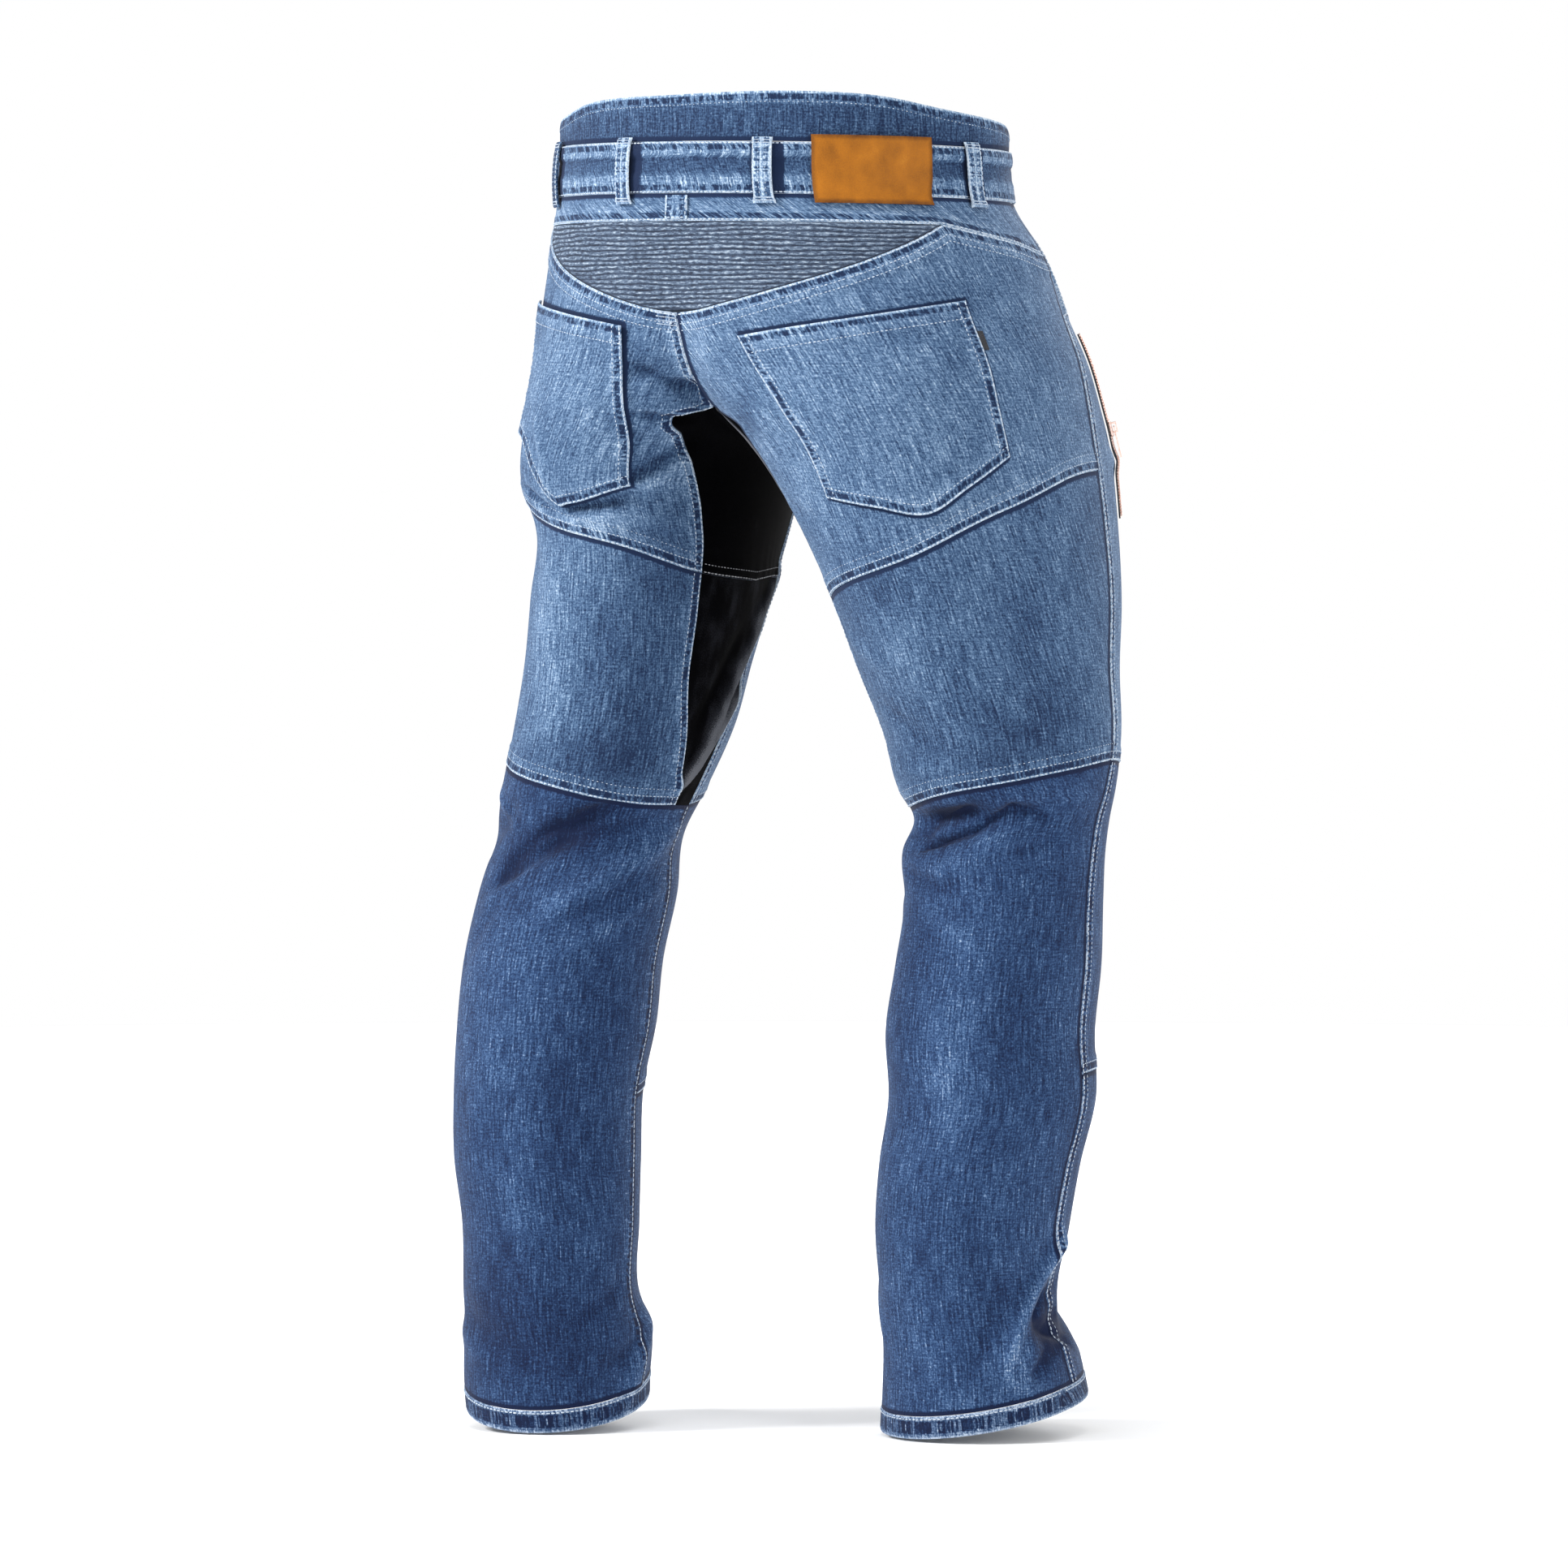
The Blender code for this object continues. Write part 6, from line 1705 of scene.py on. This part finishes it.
@dataclass
class BackStretch:
    """Yoke and accordion panel over the small of the back.

    Attributes:
        ribs: Number of ribs.
        rib_height: Height of a rib.
        rib_cells: Rows of points on a rib.
        side_gap: Gap to the neighbours at the sides, in degrees.
    """

    ribs: int = 18
    rib_height: float = 0.0012
    rib_cells: int = 6
    side_gap: float = 0.4

    def build(self, tailor: Tailor) -> None:
        """Builds both pieces."""
        self.build_yoke(tailor)
        self.build_ribs(tailor)

    def build_yoke(self, tailor: Tailor) -> None:
        """Plain strip under the waistband, deeper at both ends."""
        outseam = edge_line(SIDE_SEAM)
        edge = Curve(YOKE_EDGE, "place", "z")
        lengths = (0.058, 0.330, 0.058)
        parts = [np.linspace(k, k + 1, round(length / CELL) + 1)[:-1] for k, length in enumerate(lengths)]
        across = np.concatenate([*parts, [3.0]])
        rows = []
        for share in shares(0.025, 0.0024):
            end_z = WAIST_BOTTOM + (YOKE_EDGE[-1].z - WAIST_BOTTOM) * share
            reach = 90 * (1 - float(outseam(end_z)) / float(FORM.middle_angle(end_z))) - 0.06
            place = np.interp(across, (0, 1, 2, 3), (-reach, -RIB_TIP_PLACE, RIB_TIP_PLACE, reach))
            low = np.where(np.abs(place) < RIB_TIP_PLACE, RIB_TOP, edge(np.abs(place))) + HALF_GAP
            rows.append((place, (WAIST_BOTTOM - HALF_GAP) * (1 - share) + low * share))
        places, heights = (np.array(values) for values in zip(*rows))
        points, normals, fade = FORM.waist(places, heights)
        along = np.stack([Shell.arcs(points, 1), -heights], axis=-1)
        shell = Shell("yoke", points, normals, along, fade + 0.02,
                      {Rim.TOP: UNDER, Rim.BOTTOM: EDGED, Rim.LEFT: UNDER, Rim.RIGHT: UNDER})
        tailor.sew(shell, WORN, held="stretched")

    def build_ribs(self, tailor: Tailor) -> None:
        """Accordion panel, with slightly wavy ribs."""
        count = self.ribs * self.rib_cells
        z = np.linspace(RIB_TOP - HALF_GAP, RIB_END, count + 1)[:, None]
        edge_places = np.linspace(0, RIB_TIP_PLACE, 400)
        reach = np.interp(z, Curve(RIB_EDGE, "place", "z")(edge_places), edge_places)
        reach = np.where(z >= RIB_TOP - 0.001, RIB_TIP_PLACE, reach) - self.side_gap
        places = reach * np.linspace(-1, 1, 121)[None, :]
        heights = np.broadcast_to(z, places.shape)
        points, normals, fade = FORM.waist(places, heights)
        pitch = (RIB_TOP - RIB_END) / self.ribs
        wave = 0.16 * np.sin(places / 7.3 + heights * 160) + 0.10 * np.sin(places / 2.9 - heights * 420)
        phase = (RIB_TOP - heights) / pitch + wave
        crest = np.abs(np.sin(math.pi * phase)) ** 0.8
        edges = ease((reach - np.abs(places)) / 1.5)
        # Crests go to 0 near the side edges, which lowers the ribs there and paints the shadow of the seat's
        # edge over them.
        crest = crest * ease((reach - np.abs(places)) / 1.2 + 0.05)
        relief = (crest - 0.6) * self.rib_height * edges
        along = np.stack([Shell.arcs(points, 1) - Shell.arcs(points, 1)[:, 60:61], -heights], axis=-1)
        shell = Shell("ribbed_panel", points, normals, along, fade, {Rim.TOP: PLAIN}, relief=relief,
                      rest_on="yoke")
        piece = shell.build(ACCORDION, REVERSE)
        values = np.empty(len(piece.data.vertices))
        values[:] = np.resize(crest.ravel(), len(values))
        piece.data.attributes.new("crest", "FLOAT", "POINT").data.foreach_set("value", values)
        declare(piece, shell)
        LOG.info("%s: %d points", piece.name, shell.fade.size)


@dataclass
class Waist:
    """Waistband, raised back band, loops, patch, tab and button.

    Places are degrees round the waist from the centre back, and heights are on Z.

    Attributes:
        slit_place: Where the waistband is slit.
        loop_width: Width of a belt loop.
        loop_top: Height of a loop's top.
        loop_bottom: Height of its bottom.
        loop_stand: How far a loop stands off in its middle.
        loop_wall: Thickness of a loop.
        loop_places: Place of each loop.
        loop_tones: Tone of the loops that aren't pale; the left side loop is darkened as painted shade.
        shade_shift: How far the painted shadow lies beside its loop, in degrees.
        shade_half: Half its width, in degrees.
        shade_soft: Width of its soft edge, in degrees.
        shade_depth: How dark it is.
        patch_places: Places of the leather patch's outer and inner edges.
        patch_heights: Heights of its top and bottom.
        patch_stand: Distance of its face from the worn form.
        patch_wall: Thickness of the leather.
        patch_taper: How much narrower it is at the bottom, in degrees.
        tab_places: Places of the small tab's edges.
        tab_heights: Heights of its top and bottom.
        tab_stand: Distance of its face from the worn form.
        tab_wall: Thickness of its cloth.
        button_place: Place of the button.
        button_radius: Radius of the button.
        button_height: Height of its dome.
        button_profile: Radius and height along its profile, as shares.
        puff: Height of the waistband's cloth along its share from the top.
        tones: Tone of the waistband along its share from the top; the dark line at the crease across its
            middle and the dark band under it are painted shade.
    """

    slit_place: float = 186.0
    loop_width: float = 0.0150
    loop_top: float = 0.0212
    loop_bottom: float = -0.0290
    loop_stand: float = 0.0036
    loop_wall: float = 0.0019
    loop_places: dict[str, float] = field(default_factory=lambda: {
        "right_back": -23, "right_side": -82, "right_front": -135, "left_back": 15, "left_side": 52,
        "left_front": 135})
    loop_tones: dict[str, float] = field(default_factory=lambda: {"left_side": -0.50})
    shade_shift: float = 1.0
    shade_half: float = 4.4
    shade_soft: float = 0.7
    shade_depth: float = 1.15
    patch_places: tuple[float, float] = (-67.4, -35)
    patch_heights: tuple[float, float] = (0.0235, -0.0285)
    patch_stand: float = 0.0039
    patch_wall: float = 0.0013
    patch_taper: float = 1.5
    tab_places: tuple[float, float] = (-3.8, 2.2)
    tab_heights: tuple[float, float] = (-0.0225, -0.0405)
    tab_stand: float = 0.0022
    tab_wall: float = 0.0012
    button_place: float = 179.0
    button_radius: float = 0.0085
    button_height: float = 0.0026
    button_profile: tuple[tuple[float, float], ...] = (
        (0.0, 0.0), (0.80, 0.0), (1.0, 0.14), (1.0, 0.55), (0.93, 0.85), (0.80, 1.0), (0.68, 0.86),
        (0.60, 0.78), (0.45, 0.90), (0.22, 0.96), (0.16, 0.62), (0.0, 0.55))
    puff: tuple[tuple[float, float], ...] = ((0, 0.0002), (0.07, 0.0014), (0.20, 0.0019), (0.30, 0.0012),
                                             (0.34, -0.0003), (0.40, 0.0006), (0.56, 0.0008), (0.68, 0.0019),
                                             (0.90, 0.0013), (1, 0.0002))
    tones: tuple[tuple[float, float], ...] = ((0, 0.02), (0.10, 0.08), (0.28, 0.05), (0.335, -0.48),
                                              (0.40, -0.30), (0.58, -0.27), (0.66, 0.03), (0.92, 0.07),
                                              (1, 0.0))

    def build(self, tailor: Tailor) -> None:
        """Builds all pieces at the waist."""
        self.build_waistband(tailor)
        self.build_back_band(tailor)
        for name, place in self.loop_places.items():
            self.build_loop(name, place, tailor)
        self.build_patch(tailor)
        self.build_tab(tailor)
        self.build_button()

    def strip(self, name: str, places: Array, heights: Array, stand: Array, seams: dict[Rim, SeamStyle],
              tone: Array | float = 0.0, looped: bool = False, **options: object) -> Shell:
        """A shell from places and heights round the waist.

        Args:
            name: Name of the piece.
            places: Places of the points.
            heights: Heights of the points.
            stand: Distances of the points from the worn form.
            seams: How each edge is sewn.
            tone: Added to the fades.
            looped: Whether the painted shadow of the belt loops is added to the cloth.
            **options: Other values of the shell.

        Returns:
            The shell.
        """
        points, normals, fade = FORM.waist(places, heights)
        points = points + normals * np.asarray(stand)[..., None]
        if looped:
            # Painted shadow of the belt loops.
            fade = fade - self.shade_depth * self.loop_shade(places, heights)
        arcs = Shell.arcs(points, 1)
        along = np.stack([arcs, np.broadcast_to(-heights, arcs.shape)], axis=-1)
        return Shell(name, points, normals, along, fade + tone, seams, **options)

    def loop_shade(self, places: Array, heights: Array) -> Array:
        """Painted shadow of the belt loops, on the cloth under them and beside them."""
        shade = np.zeros(places.shape)
        for place in self.loop_places.values():
            away = np.abs(places - place + self.shade_shift)
            own = ease((self.shade_half - away) / self.shade_soft)
            own = own * ease((heights - self.loop_bottom - 0.001) / 0.003)
            shade = np.maximum(shade, own * ease((self.loop_top - 0.001 - heights) / 0.003))
        return shade

    def build_waistband(self, tailor: Tailor) -> None:
        """Waistband in two puffed halves, slit beside the button."""
        places = np.linspace(self.slit_place - 359.95, self.slit_place - 0.05, 641)[None, :]
        share = shares(WAIST_TOP - WAIST_BOTTOM, 0.0020)[:, None]
        z = (WAIST_TOP - HALF_GAP) * (1 - share) + (WAIST_BOTTOM + HALF_GAP) * share
        places, z = np.broadcast_arrays(places, z)
        puff = np.array(self.puff)
        wave = 0.5 + 0.5 * np.sin(places / 9 + 2 * np.sin(places / 31))
        stand = np.interp(share, puff[:, 0], puff[:, 1]) * (0.75 + 0.25 * wave)
        # Painted shade in the crease across the waistband and in the band under it.
        tones = np.array(self.tones)
        end = SeamStyle(True, band=0.003, lift=0.0002, rows=(CLOSE,), pucker=0.00022)
        shell = self.strip("waistband", places, z, stand, {Rim.TOP: end, Rim.BOTTOM: end, Rim.LEFT: LOOSE,
                                                           Rim.RIGHT: LOOSE}, wall=0.0020, rest_on="yoke",
                           tone=np.interp(share, tones[:, 0], tones[:, 1]), looped=True)
        tailor.sew(shell, WORN, held="stretched")

    def build_back_band(self, tailor: Tailor) -> None:
        """Raised band at the back, with a bound top."""
        places = np.linspace(BAND_TOP[0].place, BAND_TOP[-1].place, 301)[None, :]
        top = Curve(BAND_TOP, "place", "z")(places)
        share = shares(0.036, 0.0026)[:, None]
        z = top * (1 - share) + (WAIST_TOP + HALF_GAP) * share
        places, z = np.broadcast_arrays(places, z)
        sag = 0.0008 * np.sin(np.pi * share) * np.ones(places.shape) - 0.0010
        bound = SeamStyle(True, band=0.0072, lift=0.0006, rows=(StitchRow(0.0080, Stitch.FAINT),),
                          pucker=0.00020)
        shell = self.strip("kidney_band", places, z, sag, {Rim.TOP: bound, Rim.BOTTOM: UNDER, Rim.LEFT: UNDER,
                                                           Rim.RIGHT: UNDER}, rest_on="waistband",
                           tone=-0.02 - 0.34 * ease((share - 0.16) / 0.1), looped=True)
        tailor.sew(shell, WORN, held="stretched")

    def build_loop(self, name: str, place: float, tailor: Tailor) -> None:
        """Belt loop: a folded strip that stands off the waistband between its tacked feet."""
        share = np.linspace(0, 1, 25)[:, None]
        z = self.loop_top * (1 - share) + self.loop_bottom * share
        centre, _, _ = FORM.waist(place, 0.0)
        beside, _, _ = FORM.waist(place + 1, 0.0)
        half = self.loop_width / 2 / np.linalg.norm(beside - centre)
        across = np.array([-1, -0.93, -0.8, -0.6, -0.3, 0.0, 0.3, 0.6, 0.8, 0.93, 1.0])[None, :]
        flare = 1 + 0.14 * ease((share - 0.90) / 0.05) + 0.06 * ease((0.08 - share) / 0.05)
        places, z = np.broadcast_arrays(place + half * across * flare, z)
        crown = 0.0007 * (1 - np.abs(across) ** 6) - 0.0004 * np.exp(-(across / 0.16) ** 2)
        foot = 0.0006 * (np.exp(-(share / 0.05) ** 2) + np.exp(-((1 - share) / 0.05) ** 2))
        stand = 0.0007 + self.loop_stand * np.sin(np.pi * share) ** 0.5 + 0.0013 + crown + foot
        side = SeamStyle(True, band=0.0, lift=0.0, rows=(StitchRow(0.0008, Stitch.BOLD),
                                                         StitchRow(0.0052, Stitch.FAINT)), pucker=0.00010)
        # The left side loop's darker tone is painted shade.
        shell = self.strip(f"belt_loop_{name}", places, z, stand, {Rim.LEFT: side, Rim.RIGHT: side},
                           wall=self.loop_wall, tone=self.loop_tones.get(name, 0.30))
        tacks = [tailor.needle.row(shell.points[row], shell.normals[row], Stitch.TACK)
                 for row in (1, 2, -2, -3)]
        tailor.sew(shell, WORN, held="laid", extra=tacks)

    def build_patch(self, tailor: Tailor) -> None:
        """Leather patch, bare, with a pressed edge."""
        top, bottom = self.patch_heights
        heights = top + (bottom - top) * shares(0.054, 0.0026)[:, None]
        outer, inner = self.patch_places
        outer = outer + self.patch_taper * ease((-0.004 - heights) / 0.022)
        places = outer + (inner - outer) * shares(0.092, 0.0026)[None, :]
        places, heights = np.broadcast_arrays(places, heights)
        edge = SeamStyle(True, band=0.0, lift=0.0, pucker=0.0)
        shell = self.strip("leather_patch", places, heights, np.full(places.shape, self.patch_stand),
                           {rim: edge for rim in Rim}, wall=self.patch_wall)
        tailor.sew(shell, TAN, held="laid", inside=None)

    def build_tab(self, tailor: Tailor) -> None:
        """Small stitched tab under the waistband."""
        places = np.linspace(*self.tab_places, 12)[None, :]
        heights = np.linspace(*self.tab_heights, 10)[:, None]
        places, heights = np.broadcast_arrays(places, heights)
        edge = SeamStyle(True, band=0.003, lift=0.0002, rows=(CLOSE,), pucker=0.00012)
        shell = self.strip("back_tab", places, heights, np.full(places.shape, self.tab_stand),
                           {Rim.LEFT: edge, Rim.RIGHT: edge, Rim.BOTTOM: edge}, wall=self.tab_wall,
                           rest_on="yoke", tone=0.10)
        tailor.sew(shell, WORN, held="laid")

    def build_button(self) -> None:
        """Domed shank button, turned from a profile with a ring and a dimple."""
        low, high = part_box("waist_button")
        centre = (Vector(low) + Vector(high)) / 2
        points, normals, _ = FORM.waist(self.button_place, (WAIST_TOP + WAIST_BOTTOM) / 2)
        outward = Vector(normals)
        bpy.ops.object.select_all(action="DESELECT")
        bpy.ops.mesh.primitive_plane_add(size=0.001)
        piece = bpy.context.object
        piece.name = "waist_button_domed"
        mesh = piece.data
        mesh.clear_geometry()
        profile = [(away * self.button_radius, 0, up * self.button_height)
                   for away, up in self.button_profile]
        mesh.from_pydata(profile, [(k, k + 1) for k in range(len(profile) - 1)], [])
        bpy.ops.object.mode_set(mode="EDIT")
        bpy.ops.mesh.select_all(action="SELECT")
        bpy.ops.mesh.spin(steps=40, angle=2 * math.pi, center=(0, 0, 0), axis=(0, 0, 1), dupli=False)
        bpy.ops.mesh.select_all(action="SELECT")
        bpy.ops.mesh.remove_doubles(threshold=WELD)
        bpy.ops.mesh.normals_make_consistent(inside=False)
        bpy.ops.object.mode_set(mode="OBJECT")
        turn = outward.to_track_quat("Z", "Y").to_matrix().to_4x4()
        mesh.transform(Matrix.Translation(centre - outward * self.button_height / 2) @ turn)
        bpy.ops.object.shade_smooth_by_angle(angle=HARD_ANGLE)
        mesh.materials.append(COPPER.material())
        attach(piece, BODY)
        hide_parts("waist_button")


@dataclass
class HipZip:
    """Open seam zip on the right hip and the small tab on the pocket.

    Attributes:
        half_width: Half the width of the tape that shows.
        lie: Distance of the tape from the cloth.
        wall: Thickness of the tapes.
        tooth: Size of a tooth across, along and out.
        tooth_aside: Distance of the teeth from the middle.
        tooth_lift: Height of a tooth's middle over the tape.
        bevel: Share of a tooth that its bevel takes.
        pitch: Distance between the teeth of one row.
        tab_angles: Angles of the pocket tab's edges.
        tab_heights: Heights of its top and bottom.
    """

    half_width: float = 0.0058
    lie: float = 0.0012
    wall: float = 0.0012
    tooth: Triple = (0.0044, 0.0014, 0.0020)
    tooth_aside: float = 0.0011
    tooth_lift: float = 0.0004
    bevel: float = 0.16
    pitch: float = 0.0024
    tab_angles: tuple[float, float] = (23.7, 25.6)
    tab_heights: tuple[float, float] = (-0.120, -0.134)

    def build(self, tailor: Tailor) -> None:
        """Builds the tape, the teeth and the pocket tab, and dresses the slider and pull."""
        line = edge_line(ZIP_LINE)

        def edge(way: int) -> Line:
            return lambda z: line(z) + way * self.half_width / FORM.metre_per_degree(RIGHT, line(z), z)

        tape = LegPanel(RIGHT, edge(-1), edge(1), flat(ZIP_LINE[0].z), flat(ZIP_LINE[-1].z), 0.0116, 0.140,
                        -40, lift=self.lie + self.wall, troughs=0.2, cell=0.0020)
        shell = tape.shell("zip_strip", {rim: PLAIN for rim in Rim}, wall=self.wall, rest_on="front_right")
        piece = shell.build(TAPE)
        declare(piece, shell, [self.build_teeth(shell)])
        tab = LegPanel(RIGHT, *map(upright, self.tab_angles), *map(flat, self.tab_heights), 0.0046, 0.014, 24,
                       lift=0.0024, cell=0.0012)
        tab_shell = tab.shell("pocket_tab", {rim: PLAIN for rim in Rim}, wall=self.wall, rest_on="seat_right")
        declare(tab_shell.build(TAPE), tab_shell)
        for node in ("zip_slider", "zip_pull"):
            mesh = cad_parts[node].data
            mesh.materials.clear()
            mesh.materials.append(COPPER.material())

    def build_teeth(self, shell: Shell) -> Piece:
        """Teeth in two rows that mesh along the middle."""
        middle = shell.fade.shape[1] // 2
        path, normals = shell.points[:, middle], shell.normals[:, middle]
        run = np.concatenate([[0.0], np.cumsum(np.linalg.norm(np.diff(path, axis=0), axis=1))])
        bpy.ops.object.select_all(action="DESELECT")
        bpy.ops.mesh.primitive_cube_add(size=1)
        tooth = bpy.context.object
        tooth.name = "zip_teeth"
        bpy.ops.object.mode_set(mode="EDIT")
        bpy.ops.mesh.select_all(action="SELECT")
        bpy.ops.mesh.bevel(offset=self.bevel, segments=1)
        bpy.ops.object.mode_set(mode="OBJECT")
        base = np.array([vert.co[:] for vert in tooth.data.vertices])
        faces = [face.vertices[:] for face in tooth.data.polygons]
        points, made = [], []
        for index in range(int(run[-1] / self.pitch * 2)):
            at = (index + 0.5) * self.pitch / 2
            way = 1 if index % 2 else -1
            centre, before, after = (np.array([np.interp(place, run, path[:, k]) for k in range(3)])
                                     for place in (at, at - 0.002, at + 0.002))
            ahead = unit(after - before)
            up = unit(np.array([np.interp(at, run, normals[:, k]) for k in range(3)]))
            across = np.cross(up, ahead)
            middle_point = centre + across * way * self.tooth_aside + up * self.tooth_lift
            local = base * np.array(self.tooth)
            made.extend(tuple(vertex + len(points) for vertex in face) for face in faces)
            points.extend(middle_point + local @ np.stack([across, ahead, up]))
        tooth.data.clear_geometry()
        tooth.data.from_pydata([tuple(point) for point in points], [], made)
        tooth.data.validate()
        tooth.data.materials.append(COPPER.material())
        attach(tooth, BODY)
        return tooth


@dataclass
class Studio:
    """Camera at the photo's viewing angle, pale floor and soft lights.

    Attributes:
        yaw: Degrees of the camera from straight behind.
        distance: Distance of the camera from the middle of the waist.
        camera_z: Height of the camera.
        focus_z: Height that it points at.
        aim_shift: How far it points to the side.
        metres_per_pixel: Scale of the photo at the garment.
        image_width: Width of the photo in pixels.
        sensor: Width of the camera's sensor in millimetres.
        floor_z: Height of the floor.
        light_aim_z: Height that the lights point at.
        floor_radius: Radius of the floor.
        haze: Where the white above the horizon starts and ends, as heights of a direction.
        sky: Strength of the sky above the haze.
        lights: Name, place, size and power of each light.
    """

    yaw: float = 34.0
    distance: float = 8.0
    camera_z: float = -0.10
    focus_z: float = -0.46562
    aim_shift: float = -0.00062
    metres_per_pixel: float = 0.00062
    image_width: float = 1932.0
    sensor: float = 36.0
    floor_z: float = -0.9565
    light_aim_z: float = -0.45
    floor_radius: float = 4.5
    haze: tuple[float, float] = (0.10, 0.22)
    sky: float = 0.60
    lights: tuple[tuple[str, Triple, float, float], ...] = (
        ("key", (3.6, 4.0, 2.6), 1.8, 430), ("side", (-6.5, 2.0, 1.2), 3.0, 170),
        ("front", (0.5, -5.5, 2.5), 3.5, 200), ("top", (0, 0.5, 5.0), 2.5, 110))

    def build(self) -> None:
        """Adds the camera, the floor, the lights and the sky."""
        yaw = math.radians(self.yaw)
        eye = Vector((-math.sin(yaw), math.cos(yaw), 0)) * self.distance + Vector((0, 0, self.camera_z))
        target = Vector((0, 0, self.focus_z)) + Vector((-math.cos(yaw), -math.sin(yaw), 0)) * self.aim_shift
        data = bpy.data.cameras.new("camera")
        data.sensor_width = self.sensor
        data.lens = self.sensor * self.distance / (self.image_width * self.metres_per_pixel)
        data.clip_end = 60
        camera = bpy.data.objects.new("camera", data)
        bpy.context.scene.collection.objects.link(camera)
        camera.location = eye
        camera.rotation_euler = (target - eye).to_track_quat("-Z", "Y").to_euler()
        bpy.context.scene.camera = camera
        self.build_floor()
        for name, place, size, power in self.lights:
            self.light(name, place, size, power)
        world = bpy.data.worlds.new("studio")
        bpy.context.scene.world = world
        world.use_nodes = True
        self.build_sky(world.node_tree)
        bpy.context.scene.view_settings.view_transform = "Standard"

    def build_sky(self, tree: bpy.types.NodeTree) -> None:
        """White below the horizon and just above it, and softer light from higher up."""
        place = tree.nodes.new("ShaderNodeTexCoord")
        parts = tree.nodes.new("ShaderNodeSeparateXYZ")
        level = tree.nodes.new("ShaderNodeMapRange")
        for key, value in zip(("From Min", "From Max", "To Min", "To Max"), (*self.haze, 1.0, self.sky)):
            level.inputs[key].default_value = value
        background = tree.nodes["Background"]
        background.inputs["Color"].default_value = (1, 1, 1, 1)
        tree.links.new(place.outputs["Generated"], parts.inputs["Vector"])
        tree.links.new(parts.outputs["Z"], level.inputs["Value"])
        tree.links.new(level.outputs["Result"], background.inputs["Strength"])

    def build_floor(self) -> None:
        """Pale plain floor."""
        bpy.ops.object.select_all(action="DESELECT")
        bpy.ops.mesh.primitive_circle_add(vertices=96, radius=self.floor_radius, fill_type="NGON",
                                          location=(0, 0, self.floor_z))
        floor = bpy.context.object
        floor.name = "floor"
        material = bpy.data.materials.new("floor")
        material.use_nodes = True
        shader = material.node_tree.nodes["Principled BSDF"]
        shader.inputs["Base Color"].default_value = (0.98, 0.98, 0.98, 1)
        shader.inputs["Roughness"].default_value = 0.9
        floor.data.materials.append(material)

    def light(self, name: str, place: Triple, size: float, power: float) -> None:
        """One soft area light that points at the garment."""
        data = bpy.data.lights.new(name, "AREA")
        data.shape = "DISK"
        data.size = size
        data.energy = power
        lamp = bpy.data.objects.new(name, data)
        bpy.context.scene.collection.objects.link(lamp)
        lamp.location = place
        aim = Vector((0, 0, self.light_aim_z)) - Vector(place)
        lamp.rotation_euler = aim.to_track_quat("-Z", "Y").to_euler()


def main() -> None:
    """Builds the trousers and the studio."""
    logging.basicConfig(level=logging.INFO, format="%(name)s %(message)s")
    tailor = Tailor()
    for side in (LEFT, RIGHT):
        Leg(side).build(tailor)
    BackStretch().build(tailor)
    Waist().build(tailor)
    HipZip().build(tailor)
    Studio().build()


if __name__ == "__main__":
    main()
